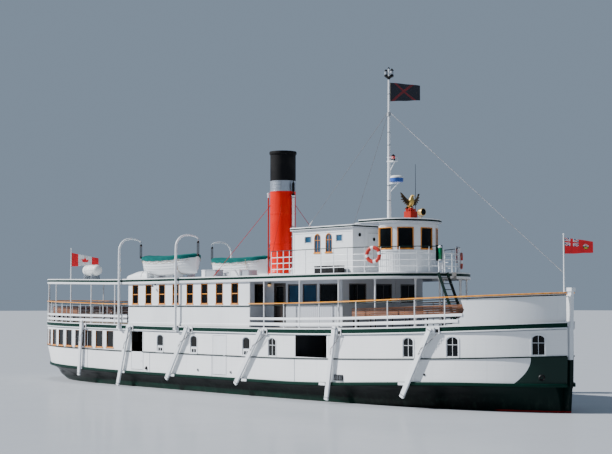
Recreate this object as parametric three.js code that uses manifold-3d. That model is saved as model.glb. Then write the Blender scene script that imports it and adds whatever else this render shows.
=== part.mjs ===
// Steam passenger ship for lakes: three decks, one funnel, twin screws.
// Millimetres. +X towards the bow, +Y to port, +Z up. The origin is on the waterline amidships.
import * as THREE from 'three';
import { mergeVertices } from 'three/addons/utils/BufferGeometryUtils.js';
import Module from 'manifold-3d';

const wasm = await Module();
wasm.setup();

// Driving dimensions
const GAP = 0.3;
const RUN_GAP = 12;
const BEAM_HALF = 3700;
const STERN_X = -12300;
const STERN_RUN = 7200;
const STERN_RAKE = 600;
const BOW_X = 8000;
const BOW_RUN = 11550;
const STEM_X = BOW_X + BOW_RUN;
const STEM_HALF = 110;
const DRAUGHT = 2100;
const WALL = 70;
const PANEL = 60;
const RIM_DEPTH = 290;
const SLAB = 100;
const ROOF_FRONT_X = 7550;
const ROOF_FRONT_RUN = 5500;
const TOP_RAIL = { half: 2950, run: 5200 };
const CABIN_AFT_X = -7320;
const CABIN_FWD_X = 3150;
const SALOON_HALF = 2600;
const SALOON_FWD_X = 8600;
const OFFICERS = { aft: 4110, fwd: 8330, half: 1700, top: 7920 };
const WHEELHOUSE = { aft: 9900, centre: 10150, run: 1280, half: 1550, top: 8090 };
const FUNNEL = { x: 1280, base: 5930, top: 12150, radius: 650, wall: 30 };
const MAST = { x: 9000, foot: 8260.3, top: 15000, stay: 13310, low: 105, high: 45 };
const DAVIT_X = [-7955, -2674];
const DAVIT_Y = 3830;
const DAVIT_R = 55;
const BOAT = { aft: -7840, fwd: -2650, y: 2350, half: 900, keel: 5990, gunwale: 6800 };
const SHAFT = { x: -14250, y: 1050, z: -1450 };
const RUDDER_X = -15950;
const WIND = Math.atan2(0.757, 0.654);

// Heights along the ship: a base value, a curved rise forward and a straight slope aft
function sheer(x, base, rise, from, power, slope, aftFrom) {
  const fwd = Math.max(0, (x - from) / (STEM_X - from)) ** power;
  return base + rise * fwd + slope * Math.max(0, aftFrom - x);
}
// Frames, where every line along the ship has its points; between them it is straight
const FRAMES = [-19440, -18900, -17800, -16200, -14300, -12300, -8700, -4000, 3000, 8000, 11000, 13000, 15000,
  16700, 18100, 19100, 19500];
function onFrames(line) {
  const heights = FRAMES.map(line);
  return (x) => {
    const i = Math.max(1, FRAMES.findIndex((place, k) => place >= x || k === FRAMES.length - 1));
    const t = (x - FRAMES[i - 1]) / (FRAMES[i] - FRAMES[i - 1]);
    return heights[i - 1] + (heights[i] - heights[i - 1]) * t;
  };
}
const deckZ = onFrames((x) => sheer(x, 3280, 410, 4000, 2, 0.0095, -4000));
const midZ = onFrames((x) => sheer(x, 1890, 400, 4000, 1.5, 0.012, -8700));
const railZ = onFrames((x) => sheer(x, 4440, 440, 3000, 1.8, 0.02, -8700));
const roofZ = onFrames((x) => sheer(x, 5755, 60, 3000, 1, 0.017, -8700));
const guardZ = onFrames((x) => sheer(x, 850, 0, 3000, 1, 0.016, -8700) + 330 * THREE.MathUtils.smoothstep(x, 5500, 16500));

// Plan curves of the port edge: s runs 0..1 round the stern, 1..2 along the side, 2..3 to the front
function sternCurve(s, half, run) {
  const a = s * Math.PI / 2;
  return [STERN_X - run * Math.cos(a), half * Math.sin(a) ** 0.9];
}
function shipCurve(s, half, sternRun, bowRun) {
  if (s <= 1) return sternCurve(s, half, sternRun);
  if (s <= 2) return [THREE.MathUtils.lerp(STERN_X, BOW_X, s - 1), half];
  const t = Math.sin((s - 2) * Math.PI / 2);
  return [BOW_X + bowRun * t, half * Math.max(0, 1 - t ** 3) ** 0.8];
}
const deckCurve = (s) => shipCurve(s, BEAM_HALF, STERN_RUN, BOW_RUN);
const guardCurve = (s) => shipCurve(s, BEAM_HALF - 30, STERN_RUN - STERN_RAKE, BOW_RUN - 60);
function roofCurve(s) {
  if (s <= 1) return sternCurve(s, BEAM_HALF, STERN_RUN);
  if (s <= 2) return [THREE.MathUtils.lerp(STERN_X, ROOF_FRONT_X, s - 1), BEAM_HALF];
  const a = (s - 2) * Math.PI / 2;
  return [ROOF_FRONT_X + ROOF_FRONT_RUN * Math.sin(a), BEAM_HALF * Math.cos(a)];
}
function edge(curve, s, out) {
  if (s === 0) return { x: curve(0)[0] - out, y: 0, nx: -1, ny: 0 };
  if (s === 3) return { x: curve(3)[0] + out, y: 0, nx: 1, ny: 0 };
  const a = curve(Math.max(0, s - 0.001));
  const b = curve(Math.min(3, s + 0.001));
  const length = Math.hypot(b[0] - a[0], b[1] - a[1]);
  const nx = -(b[1] - a[1]) / length;
  const ny = (b[0] - a[0]) / length;
  const [x, y] = curve(s);
  return { x: x + nx * out, y: y + ny * out, nx, ny };
}
// The place on a curve at a given x, forward of the stern's tip
function at(curve, x) {
  let low = 0;
  let high = 3;
  for (let i = 0; i < 40; i += 1) {
    const middle = (low + high) / 2;
    if (curve(middle)[0] < x) low = middle;
    else high = middle;
  }
  return (low + high) / 2;
}

// Solids
function orient(geometry) {
  const p = geometry.getAttribute('position');
  const index = geometry.index.array;
  const a = new THREE.Vector3();
  const b = new THREE.Vector3();
  const c = new THREE.Vector3();
  let volume = 0;
  for (let i = 0; i < index.length; i += 3) {
    a.fromBufferAttribute(p, index[i]);
    b.fromBufferAttribute(p, index[i + 1]);
    c.fromBufferAttribute(p, index[i + 2]);
    volume += a.dot(b.cross(c));
  }
  if (volume < 0) {
    for (let i = 0; i < index.length; i += 3) [index[i], index[i + 1]] = [index[i + 1], index[i]];
  }
  return geometry;
}
function solid(source) {
  const geometry = source.clone();
  geometry.deleteAttribute('normal');
  geometry.deleteAttribute('uv');
  const merged = orient(mergeVertices(geometry, 1e-3));
  return new wasm.Manifold(new wasm.Mesh({
    numProp: 3,
    vertProperties: new Float32Array(merged.getAttribute('position').array),
    triVerts: new Uint32Array(merged.index.array),
  }));
}
function mesh(name, shape, colour, roughness = 0.5, metalness = 0) {
  const data = shape.getMesh();
  const geometry = new THREE.BufferGeometry();
  geometry.setAttribute('position', new THREE.BufferAttribute(data.vertProperties, 3));
  geometry.setIndex(new THREE.BufferAttribute(data.triVerts, 1));
  geometry.computeVertexNormals();
  const material = new THREE.MeshStandardMaterial({ color: colour, roughness, metalness });
  const object = new THREE.Mesh(geometry, material);
  object.name = name;
  ship.add(object);
  return object;
}
// A body through rings of as many points each, closed at both ends
function loft(rings) {
  const count = rings[0].length;
  const index = [];
  for (let i = 0; i + 1 < rings.length; i += 1) {
    for (let j = 0; j < count; j += 1) {
      const k = (j + 1) % count;
      const a = i * count;
      index.push(a + j, a + k, a + count + k, a + j, a + count + k, a + count + j);
    }
  }
  const ends = [[rings[0], 0, true], [rings[rings.length - 1], (rings.length - 1) * count, false]];
  for (const [ring, start, flip] of ends) {
    const spanX = Math.max(...ring.map((p) => p[0])) - Math.min(...ring.map((p) => p[0]));
    const spanY = Math.max(...ring.map((p) => p[1])) - Math.min(...ring.map((p) => p[1]));
    const flat = ring.map((p) => new THREE.Vector2(spanX > spanY ? p[0] : p[1], p[2]));
    const clockwise = THREE.ShapeUtils.isClockWise(flat);
    for (const [a, b, c] of THREE.ShapeUtils.triangulateShape(flat, [])) {
      const same = ringTurn(flat, a, b, c) === !clockwise;
      const face = same ? [a, b, c] : [a, c, b];
      if (flip) face.reverse();
      index.push(...face.map((v) => start + v));
    }
  }
  const geometry = new THREE.BufferGeometry();
  geometry.setAttribute('position', new THREE.Float32BufferAttribute(rings.flat(2), 3));
  geometry.setIndex(index);
  return solid(geometry);
}
function ringTurn(points, a, b, c) {
  return THREE.ShapeUtils.area([points[a], points[b], points[c]]) > 0;
}
// Places on a curve from one x to another, with the frames and any extra x between them
function places(curve, from, to, extra = []) {
  const between = FRAMES.filter((x) => extra.every((other) => Math.abs(other - x) > 60));
  const inside = [...between, ...extra].filter((x) => x > from + 60 && x < to - 60);
  return [from, ...inside.sort((a, b) => a - b), to].map((x) => at(curve, x));
}
const steps = (from, to, count) => Array.from({ length: count + 1 }, (_, i) => from + (to - from) * i / count);
// Wall, rail or belt along a curve: path of [s, side], profile of [offset, height, its own curve]
function band(curve, path, profile) {
  return loft(path.map(([s, side]) => profile.map(([offset, height, own = curve]) => {
    const p = edge(own, s, offset);
    return [p.x, side * p.y, height(p.x)];
  })));
}
// Wall along the ship at one y, its foot and head following the decks
function lengthWall(x0, x1, y0, y1, low, high) {
  const xs = [x0, ...FRAMES.filter((x) => x > x0 && x < x1), x1];
  return loft(xs.map((x) => [[x, y0, low(x)], [x, y0, high(x)], [x, y1, high(x)], [x, y1, low(x)]]));
}
const box = (outer, inner, low, high) => [[outer, low], [outer, high], [inner, high], [inner, low]];
// Deck from side to side with a deeper rim, the profile from the middle of the underside outwards
function deck(curve, places, height, out, inner, depth) {
  const half = [[inner, SLAB], [inner, depth], [out, depth], [out, 0]];
  return loft(places.map((s) => {
    const side = half.map(([offset, drop]) => {
      const p = edge(curve, s, offset);
      return [p.x, p.y, height(p.x) - drop];
    });
    return [...side, ...side.map(([x, y, z]) => [x, -y, z]).reverse()];
  }));
}
function block(x0, x1, y0, y1, z0, z1) {
  const geometry = new THREE.BoxGeometry(x1 - x0, y1 - y0, z1 - z0);
  geometry.translate((x0 + x1) / 2, (y0 + y1) / 2, (z0 + z1) / 2);
  return solid(geometry);
}
function rod(from, to, low, high = low, sides = 12) {
  const a = new THREE.Vector3(...from);
  const b = new THREE.Vector3(...to);
  const geometry = new THREE.CylinderGeometry(high, low, a.distanceTo(b), sides);
  const turn = new THREE.Quaternion();
  turn.setFromUnitVectors(new THREE.Vector3(0, 1, 0), b.clone().sub(a).normalize());
  geometry.applyQuaternion(turn);
  geometry.translate((a.x + b.x) / 2, (a.y + b.y) / 2, (a.z + b.z) / 2);
  return solid(geometry);
}
const union = (...shapes) => shapes.reduce((sum, shape) => sum.add(shape));
const cut = (shape, ...tools) => tools.reduce((rest, tool) => rest.subtract(tool), shape);
// Window, arched or square, as a cutter through a wall: width, height and the rise of its arch
function windowShape(width, height, rise) {
  const shape = new THREE.Shape();
  shape.moveTo(-width / 2, 0);
  shape.lineTo(width / 2, 0);
  shape.lineTo(width / 2, height - rise);
  if (rise > 0) shape.quadraticCurveTo(width / 2, height, 0, height);
  else shape.lineTo(width / 2, height);
  if (rise > 0) shape.quadraticCurveTo(-width / 2, height, -width / 2, height - rise);
  else shape.lineTo(-width / 2, height);
  shape.closePath();
  return shape;
}
function cutter(x, y, z, nx, ny, width, height, rise = 0) {
  const geometry = new THREE.ExtrudeGeometry(windowShape(width, height, rise), {
    depth: 500, bevelEnabled: false, curveSegments: 3,
  });
  geometry.translate(0, 0, -250);
  const basis = new THREE.Matrix4().makeBasis(
    new THREE.Vector3(-ny, nx, 0), new THREE.Vector3(0, 0, 1), new THREE.Vector3(nx, ny, 0));
  geometry.applyMatrix4(basis);
  geometry.translate(x, y, z);
  return solid(geometry);
}
function sideCutter(curve, x, side, z, width, height, rise = 0) {
  const p = edge(curve, at(curve, x), -WALL / 2);
  return cutter(p.x, side * p.y, z, p.nx, side * p.ny, width, height, rise);
}
// Door in an opening: a panel with a pin along its hinge, from the sill to the lintel
function door(hinge, along, inward, width, thick, z0, z1) {
  const [hx, hy] = hinge;
  const panel = new THREE.BoxGeometry(width - 2 * RUN_GAP, thick, z1 - z0 - 2 * RUN_GAP);
  panel.translate(width / 2, -thick / 2 - 5, (z0 + z1) / 2);
  const pin = new THREE.CylinderGeometry(10, 10, z1 - z0 - 2 * GAP, 10);
  pin.rotateX(Math.PI / 2);
  pin.translate(RUN_GAP, 0, (z0 + z1) / 2);
  const basis = new THREE.Matrix4().makeBasis(
    new THREE.Vector3(along[0], along[1], 0), new THREE.Vector3(inward[0], inward[1], 0),
    new THREE.Vector3(0, 0, 1));
  const place = new THREE.Matrix4().makeTranslation(hx, hy, 0).multiply(basis);
  panel.applyMatrix4(place);
  pin.applyMatrix4(place);
  return union(solid(panel), solid(pin));
}

const ship = new THREE.Group();
const WHITE = 0xeef0f0;
const GREEN = 0x17352c;
const DARK = 0x101614;
const ORANGE = 0xc8791e;
const BROWN = 0x6e3a1e;
const SIDES = [['stbd', -1], ['port', 1]];
const tip = (list) => [...list.slice().reverse().map((s) => [s, -1]), ...list.slice(1).map((s) => [s, 1])];

// Hull: stations of x, keel, half-breadth and height of the turn, fullness
const HULL_STATIONS = [
  [-18800, 640, 330, 740, 0.8],
  [-17800, 270, 1600, 470, 0.8],
  [-16200, -240, 2250, 300, 0.85],
  [-14300, -800, 2720, 200, 1],
  [-12300, -1280, 3040, 80, 1.05],
  [-8700, -1880, 3250, 0, 0.95],
  [-4000, -DRAUGHT, 3260, 0, 0.75],
  [3000, -DRAUGHT, 3260, 0, 0.7],
  [8000, -DRAUGHT, 3160, 0, 0.85],
  [11000, -DRAUGHT, 2900, 0, 1.05],
  [13000, -DRAUGHT, 2620, 0, 1.25],
  [15000, -2090, 2120, 0, 1.45],
  [16700, -2040, 1460, 0, 1.6],
  [18100, -1880, 810, 0, 1.6],
  [19100, -1250, 260, 0, 1.4],
];
const KEEL_HALF = 110;
function hullSection([x, keel, half, turn, fullness]) {
  const inner = guardCurve(at(guardCurve, x))[1];
  const low = [0, 0.25, 0.45, 0.62, 0.78, 0.9, 1].map((f) => {
    const a = f * Math.PI / 2;
    return [KEEL_HALF + (half - KEEL_HALF) * Math.sin(a) ** fullness, turn + (keel - turn) * Math.cos(a) ** 0.9];
  });
  const top = guardZ(x);
  const side = [[half + 0.25 * (inner - half), turn + 0.5 * (top - 160 - turn)], [inner, top - 160], [inner, top]];
  const ring = [...low, ...side].map(([y, z]) => [x, y, z]);
  return [...ring, ...ring.map(([a, y, z]) => [a, -y, z]).reverse()];
}
const hullBody = loft(HULL_STATIONS.map(hullSection));
const stemShape = new THREE.Shape();
stemShape.moveTo(18900, -1700);
stemShape.lineTo(19080, -1500);
stemShape.quadraticCurveTo(19330, -900, 19350, 0);
stemShape.lineTo(19610, 5050);
stemShape.lineTo(19400, 5050);
stemShape.lineTo(19100, 1100);
stemShape.lineTo(18900, 1000);
stemShape.closePath();
function plate(shape, half) {
  const geometry = new THREE.ExtrudeGeometry(shape, { depth: 2 * half, bevelEnabled: false, curveSegments: 5 });
  geometry.rotateX(Math.PI / 2);
  geometry.translate(0, half, 0);
  return solid(geometry);
}
const skeg = block(-15620, -7000, -90, 90, -DRAUGHT, -420);
const sole = block(-16300, -15500, -70, 70, -DRAUGHT, -2030);
const trunk = rod([RUDDER_X, 0, -100], [RUDDER_X, 0, -390], 120);
const brackets = SIDES.flatMap(([, side]) => [
  rod([SHAFT.x + 500, side * SHAFT.y, SHAFT.z], [SHAFT.x + 170, side * SHAFT.y, SHAFT.z], 110),
  rod([SHAFT.x + 4300, side * 780, -1250], [SHAFT.x + 300, side * SHAFT.y, SHAFT.z], 55),
  block(SHAFT.x + 230, SHAFT.x + 430, side * SHAFT.y - 25, side * SHAFT.y + 25, SHAFT.z, -600),
]);
mesh('hull', union(hullBody, plate(stemShape, STEM_HALF), skeg, sole, trunk, ...brackets), DARK, 0.4);

// Main deck: walls, with their openings as [x, sill, width, height, arch]
const seat = (x) => (x > BOW_X ? 5 * GAP : GAP);
const wallFoot = (x) => guardZ(x) + seat(x);
const wallHead = (x) => deckZ(x) - RIM_DEPTH - seat(x);
const wallProfile = [
  [5, wallFoot, guardCurve],
  [-20, midZ],
  [-20, wallHead],
  [-20 - WALL, wallHead],
  [-20 - WALL, midZ],
  [5 - WALL, wallFoot, guardCurve],
];
const STERN_WALL_X = -12865;
const FORE_WALL_X = 5900;
const WALL_END_X = 19450;
const GUARD_END_X = 19400;
const GATE = { x: -6385, width: 1060, sill: 950, head: 2960, height: 950 };
const SIDE_DOOR = { x: 825, width: 1030, sill: 950, head: 2860 };
const AFT_WINDOWS = steps(-9050, -15590, 6).map((x) => [x, 2050, 700, 900, 0]);
const ARCHED = [-4250, -1300, 2950, 4900].map((x) => [x, 1960, 560, 860, 150]);
const BOW_WINDOWS = [13530, 15570, 18660].map((x) => [x, midZ(x) + 60, 540, 840, 160]);
const CARGO = [7710, 1990, 2240, 1010, 0];
const cutAll = (side, list) => list.map(([x, sill, ...size]) => sideCutter(deckCurve, x, side, sill, ...size));
for (const [label, side] of SIDES) {
  const path = places(deckCurve, STERN_WALL_X, FORE_WALL_X).map((s) => [s, side]);
  const openings = [
    ...AFT_WINDOWS.filter(([x]) => x > STERN_WALL_X), ...ARCHED,
    [GATE.x, GATE.sill, GATE.width, GATE.head - GATE.sill, 0],
    [SIDE_DOOR.x, SIDE_DOOR.sill, SIDE_DOOR.width, SIDE_DOOR.head - SIDE_DOOR.sill, 0],
  ];
  mesh(`main_wall_${label}`, cut(band(deckCurve, path, wallProfile), ...cutAll(side, openings)), WHITE);
}
const sternPath = tip([0, ...places(deckCurve, FRAMES[0], STERN_WALL_X - GAP)]);
const sternOpenings = AFT_WINDOWS.filter(([x]) => x < STERN_WALL_X);
const sternWall = cut(band(deckCurve, sternPath, wallProfile), ...cutAll(-1, sternOpenings), ...cutAll(1, sternOpenings));
mesh('main_wall_stern', sternWall, WHITE);
for (const [label, side] of SIDES) {
  const path = places(deckCurve, FORE_WALL_X + GAP, WALL_END_X).map((s) => [s, side]);
  const openings = cutAll(side, [CARGO, ...BOW_WINDOWS]);
  mesh(`fore_wall_${label}`, cut(band(deckCurve, path, wallProfile), ...openings), WHITE);
}

// Guard strake with its fender spars: x and z at the top, x and z at the foot
const SPARS = [
  [-11760, 3510, -12000, 430],
  [-7040, 3230, -8020, 50],
  [-1670, 3290, -3480, 560],
  [4270, 3220, 2290, 560],
  [9410, 3400, 8870, 140],
  [14700, 3400, 13300, 470],
];
const guardPlaces = places(guardCurve, -18800, GUARD_END_X);
function spar([x1, z1, x0, z0], side) {
  const y1 = edge(deckCurve, at(deckCurve, x1), 130).y;
  const y0 = edge(deckCurve, at(deckCurve, x0), 130).y;
  const a = new THREE.Vector3(x0, side * y0, z0);
  const b = new THREE.Vector3(x1, side * y1, z1);
  const geometry = new THREE.BoxGeometry(240, 90, a.distanceTo(b));
  const up = b.clone().sub(a).normalize();
  const out = new THREE.Vector3(0, side, 0);
  const along = new THREE.Vector3().crossVectors(out, up).normalize();
  out.crossVectors(up, along);
  geometry.applyMatrix4(new THREE.Matrix4().makeBasis(along, out, up));
  geometry.translate((x0 + x1) / 2, side * (y0 + y1) / 2, (z0 + z1) / 2);
  const f = (guardZ(x0) - 70 - z0) / (z1 - z0);
  const padX = x0 + f * (x1 - x0);
  const p = edge(deckCurve, at(deckCurve, padX), 60);
  const pad = block(padX - 170, padX + 170, side * p.y - 40, side * p.y + 40, guardZ(x0) - 135, guardZ(x0) - 5);
  return union(solid(geometry), pad);
}
for (const [label, side] of SIDES) {
  const strake = band(guardCurve, guardPlaces.map((s) => [s, side]), box(
    90, GAP, (x) => guardZ(x) - 140, guardZ));
  mesh(`guard_${label}`, union(strake, ...SPARS.map((row) => spar(row, side))), GREEN, 0.5);
}

// Promenade deck with its belt, and sockets for the davits
const deckPlaces = places(deckCurve, FRAMES[0], WALL_END_X);
const stemNotch = block(19250, STEM_X, -STEM_HALF - 5, STEM_HALF + 5, 3000, 4500);
const promenade = cut(deck(deckCurve, deckPlaces, deckZ, 50, -100, RIM_DEPTH), stemNotch);
const sockets = SIDES.flatMap(([, side]) => DAVIT_X.map((x) => {
  const inner = BEAM_HALF + 20;
  const outer = DAVIT_Y + 90;
  return block(x - 100, x + 100, Math.min(side * inner, side * outer), Math.max(side * inner, side * outer), 3080, 3200);
}));
mesh('promenade_deck', union(promenade, ...sockets), GREEN, 0.6);

// Promenade cabin: eight windows a side, a wall at each end
const CABIN_PITCH = 1234;
const cabinWindows = steps(-6650, -6650 + 7 * CABIN_PITCH, 7).map((x) => [x, 4420, 520, 980, 0]);
const wallTop = (x) => roofZ(x) - SLAB - GAP;
for (const [label, side] of SIDES) {
  const path = places(deckCurve, CABIN_AFT_X, CABIN_FWD_X).map((s) => [s, side]);
  const wall = band(deckCurve, path, box(-65, -65 - PANEL, (x) => deckZ(x) + GAP, wallTop));
  mesh(`cabin_side_${label}`, cut(wall, ...cutAll(side, cabinWindows)), WHITE);
}
const cabinInner = BEAM_HALF - 65 - PANEL - GAP;
function crossWall(x, half, z0, z1) {
  return block(x, x + PANEL, -half, half, z0, z1);
}
const doorway = (x, y, z, width, height) => cutter(x, y, z, 1, 0, width, height);
mesh('cabin_aft_wall', cut(
  crossWall(CABIN_AFT_X, cabinInner, deckZ(CABIN_AFT_X) + 2, wallTop(CABIN_AFT_X) - 8),
  doorway(CABIN_AFT_X + 30, -1200, deckZ(CABIN_AFT_X) + 100, 900, 1950),
  doorway(CABIN_AFT_X + 30, 1200, deckZ(CABIN_AFT_X) + 100, 900, 1950)), WHITE);
mesh('cabin_fwd_wall', cut(
  crossWall(CABIN_FWD_X - PANEL - GAP, cabinInner, deckZ(CABIN_FWD_X) + 2, wallTop(CABIN_FWD_X) - 8),
  ...[-3030, 3030].map((y) => doorway(CABIN_FWD_X - PANEL / 2, y, 4420, 560, 920))), WHITE);

// Forward saloon: windows as [x, sill, width, height]
const SALOON_DOOR = { x: 3800, width: 760, head: 5340 };
const SALOON_WINDOWS = [[5200, 780], [6350, 930], [7700, 1250]];
for (const [label, side] of SIDES) {
  const low = deckZ(4500) + 3;
  const foot = (x) => deckZ(x) + GAP;
  const y = side * (SALOON_HALF - PANEL / 2);
  const wall = lengthWall(CABIN_FWD_X + GAP, SALOON_FWD_X, y - PANEL / 2, y + PANEL / 2, foot, wallTop);
  const openings = SALOON_WINDOWS.map(([x, width]) => cutter(x, y, 4420, 0, side, width, 880));
  const way = cutter(SALOON_DOOR.x + SALOON_DOOR.width / 2, y, low + 100, 0, side, SALOON_DOOR.width, SALOON_DOOR.head - low - 100);
  mesh(`saloon_side_${label}`, cut(wall, ...openings, way), 0xd8dade);
  const hingeY = side * (SALOON_HALF - PANEL);
  mesh(`saloon_door_${label}`, door([SALOON_DOOR.x, hingeY], [1, 0], [0, -side],
    SALOON_DOOR.width, PANEL, low + 100, SALOON_DOOR.head), BROWN);
}
const saloonHalf = SALOON_HALF - PANEL - GAP;
mesh('saloon_front', cut(
  crossWall(SALOON_FWD_X - PANEL, saloonHalf, deckZ(SALOON_FWD_X) + GAP, wallTop(SALOON_FWD_X - PANEL)),
  ...[-1650, 0, 1650].map((y) => doorway(SALOON_FWD_X - 30, y, 4450, 1000, 850))), 0xd8dade);

// Rails of the promenade deck
const postTop = (x) => roofZ(x) - RIM_DEPTH - 3 * GAP;
function post(curve, s, side, out, r, low, high) {
  const p = edge(curve, s, out);
  return rod([p.x, side * p.y, low(p.x) + 6 * GAP], [p.x, side * p.y, high(p.x)], r, r, 6);
}
const handrail = (path, curve = deckCurve) => band(curve, path, box(45, -45, (x) => railZ(x) - 60, railZ));
const slat = (path, low, high) => band(deckCurve, path, box(12, -12, (x) => deckZ(x) + low, (x) => deckZ(x) + high));
const AFT_POSTS = [-8570, -10980, -13200, -15300, -17100, -18600];
const AFT_STANCHIONS = [-9750, -12100, -14300, -16200, -17900, -19150];
const aftRailPath = tip([0, ...places(deckCurve, FRAMES[0], CABIN_AFT_X - 20, [...AFT_POSTS, ...AFT_STANCHIONS])]);
const aftPosts = SIDES.flatMap(([, side]) => AFT_POSTS.map((x) => post(
  deckCurve, at(deckCurve, x), side, -8, 34, deckZ, postTop)));
const aftStanchions = SIDES.flatMap(([, side]) => AFT_STANCHIONS.map((x) => post(
  deckCurve, at(deckCurve, x), side, -8, 28, deckZ, (p) => railZ(p) - 30)));
mesh('aft_rail', union(handrail(aftRailPath), slat(aftRailPath, 110, 240), slat(aftRailPath, 370, 480),
  ...aftPosts, ...aftStanchions), WHITE);

const BULWARK_X = 16150;
const BULWARK_SWEEP = 750;
const RAIL_END_X = 19430;
const FORE_STANCHIONS = [3500, 5770, 8260, 10640, 12470, 13870, 15260];
const SIDE_POSTS = [4320, 6900];
const SWEEP_PLACES = [BULWARK_X - BULWARK_SWEEP, 15620, 15820, 15950, 16070];
const railPlaces = [...FORE_STANCHIONS, ...SWEEP_PLACES];
const foreRailS = places(deckCurve, CABIN_FWD_X + 20, RAIL_END_X, railPlaces);
const slatS = places(deckCurve, CABIN_FWD_X + 20, BULWARK_X - 60, railPlaces);
for (const [label, side] of SIDES) {
  const path = foreRailS.map((s) => [s, side]);
  const low = slatS.map((s) => [s, side]);
  const stanchions = FORE_STANCHIONS.map((x) => post(
    deckCurve, at(deckCurve, x), side, -8, 28, deckZ, (p) => railZ(p) - 30));
  const posts = SIDE_POSTS.map((x) => post(deckCurve, at(deckCurve, x), side, -8, 34, deckZ, postTop));
  mesh(`fore_rail_${label}`, union(handrail(path), slat(low, 110, 240), slat(low, 370, 480), ...stanchions, ...posts), WHITE);
}
const bulwarkS = places(deckCurve, BULWARK_X - BULWARK_SWEEP, RAIL_END_X, [...SWEEP_PLACES, BULWARK_X]);
// Share of its full height, sweeping up from the deck at its aft end
function bulwarkShare(x) {
  const t = THREE.MathUtils.clamp((x - BULWARK_X + BULWARK_SWEEP) / BULWARK_SWEEP, 0, 1);
  return 1 - 0.97 * Math.sqrt(1 - t * t);
}
for (const [label, side] of SIDES) {
  const low = (x) => deckZ(x) + GAP;
  const high = (x) => railZ(x) - 60 - GAP;
  const wall = band(deckCurve, bulwarkS.map((s) => [s, side]), box(
    -15, -75, low, (x) => low(x) + (high(x) - low(x)) * bulwarkShare(x)));
  mesh(`bulwark_${label}`, wall, WHITE);
}

// Porch under the front of the roof: a curved beam on posts
const ROOF_FRONT = [2.1, 2.2, 2.32, 2.43, 2.56, 2.69, 2.79, 2.88, 2.95];
const PORCH_POSTS = [2.2, 2.43, 2.69, 2.88];
const frontPath = (half) => [...half.map((s) => [s, -1]), [3, 1], ...half.slice().reverse().map((s) => [s, 1])];
const porchPath = frontPath(ROOF_FRONT);
const porchBeam = band(roofCurve, porchPath, box(-100, -180, (x) => roofZ(x) - SLAB - 160, (x) => roofZ(x) - SLAB - GAP));
const porchPosts = SIDES.flatMap(([, side]) => PORCH_POSTS.map((s) => {
  const p = edge(roofCurve, s, -140);
  return rod([p.x, side * p.y, deckZ(p.x) + 8], [p.x, side * p.y, roofZ(p.x) - SLAB - 100], 40, 40, 8);
}));
mesh('porch_frame', union(porchBeam, ...porchPosts), WHITE);

// Benches beside the rails
function bench(path) {
  const seat = band(deckCurve, path, box(-330, -760, (x) => deckZ(x) + 380, (x) => deckZ(x) + 430));
  const back = band(deckCurve, path, box(-290, -335, (x) => deckZ(x) + 385, (x) => deckZ(x) + 860));
  const legs = path.filter((_, i) => i % 2 === 0).map(([s, side]) => {
    const p = edge(deckCurve, s, -540);
    const foot = Math.max(deckZ(p.x - 30), deckZ(p.x + 30)) + GAP;
    return block(p.x - 30, p.x + 30, side * p.y - 180, side * p.y + 180, foot, foot + 395);
  });
  return union(seat, back, ...legs);
}
for (const [label, side] of SIDES) {
  mesh(`fore_bench_${label}`, bench(places(deckCurve, 10100, 16300).map((s) => [s, side])), BROWN);
}
mesh('aft_bench', bench(tip([0, ...places(deckCurve, -18900, -12800)])), BROWN);

// Hurricane deck with its coaming, lockers and vents
const roofPlaces = [...places(roofCurve, FRAMES[0], ROOF_FRONT_X), ...ROOF_FRONT];
const LOCKERS = [
  [-11300, -9300, -650, 650, 480],
  [-1350, -650, -1300, -700, 420],
  [-550, 0, -1200, -650, 380],
  [6260, 7940, -2250, -1850, 400],
];
const lockers = LOCKERS.map(([x0, x1, y0, y1, height]) => block(x0, x1, y0, y1, roofZ(x0) - 60, roofZ(x0) + height));
const coaming = block(FUNNEL.x - 900, FUNNEL.x + 900, -900, 900, 5700, FUNNEL.base);
const roofSlab = deck(roofCurve, roofPlaces, roofZ, 40, -60, RIM_DEPTH);
mesh('hurricane_deck', union(roofSlab, coaming, ...lockers), GREEN, 0.6);

// Officers' cabin: four walls in one ring, windows as [x, sill, width, height, arch]
const officersLow = roofZ(OFFICERS.fwd) + GAP;
const OFFICERS_WINDOWS = [[5190, 7300, 470, 310, 0], [5870, 6830, 420, 880, 200], [6680, 6830, 420, 880, 200], [7400, 7310, 430, 320, 0]];
const OFFICERS_DOOR = { y: -350, width: 760, head: 7700 };
const officersOuter = block(OFFICERS.aft, OFFICERS.fwd, -OFFICERS.half, OFFICERS.half, officersLow, OFFICERS.top);
const officersInner = block(OFFICERS.aft + PANEL, OFFICERS.fwd - PANEL, PANEL - OFFICERS.half, OFFICERS.half - PANEL, officersLow - 50, OFFICERS.top + 50);
const officersCuts = SIDES.flatMap(([, side]) => OFFICERS_WINDOWS.map(([x, sill, ...size]) => cutter(
  x, side * (OFFICERS.half - 30), sill, 0, side, ...size)));
const officersDoorway = cutter(OFFICERS.fwd - 30, OFFICERS_DOOR.y, officersLow + 100, 1, 0, OFFICERS_DOOR.width, OFFICERS_DOOR.head - officersLow - 100);
mesh('officers_cabin', cut(officersOuter, officersInner, ...officersCuts, officersDoorway), WHITE);
mesh('officers_door', door([OFFICERS.fwd - PANEL, OFFICERS_DOOR.y - OFFICERS_DOOR.width / 2], [0, 1], [-1, 0],
  OFFICERS_DOOR.width, PANEL, officersLow + 100, OFFICERS_DOOR.head), WHITE);
mesh('officers_roof', block(OFFICERS.aft - 200, OFFICERS.fwd + 220, -OFFICERS.half - 130, OFFICERS.half + 130, OFFICERS.top + GAP, 8070), WHITE);

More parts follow.
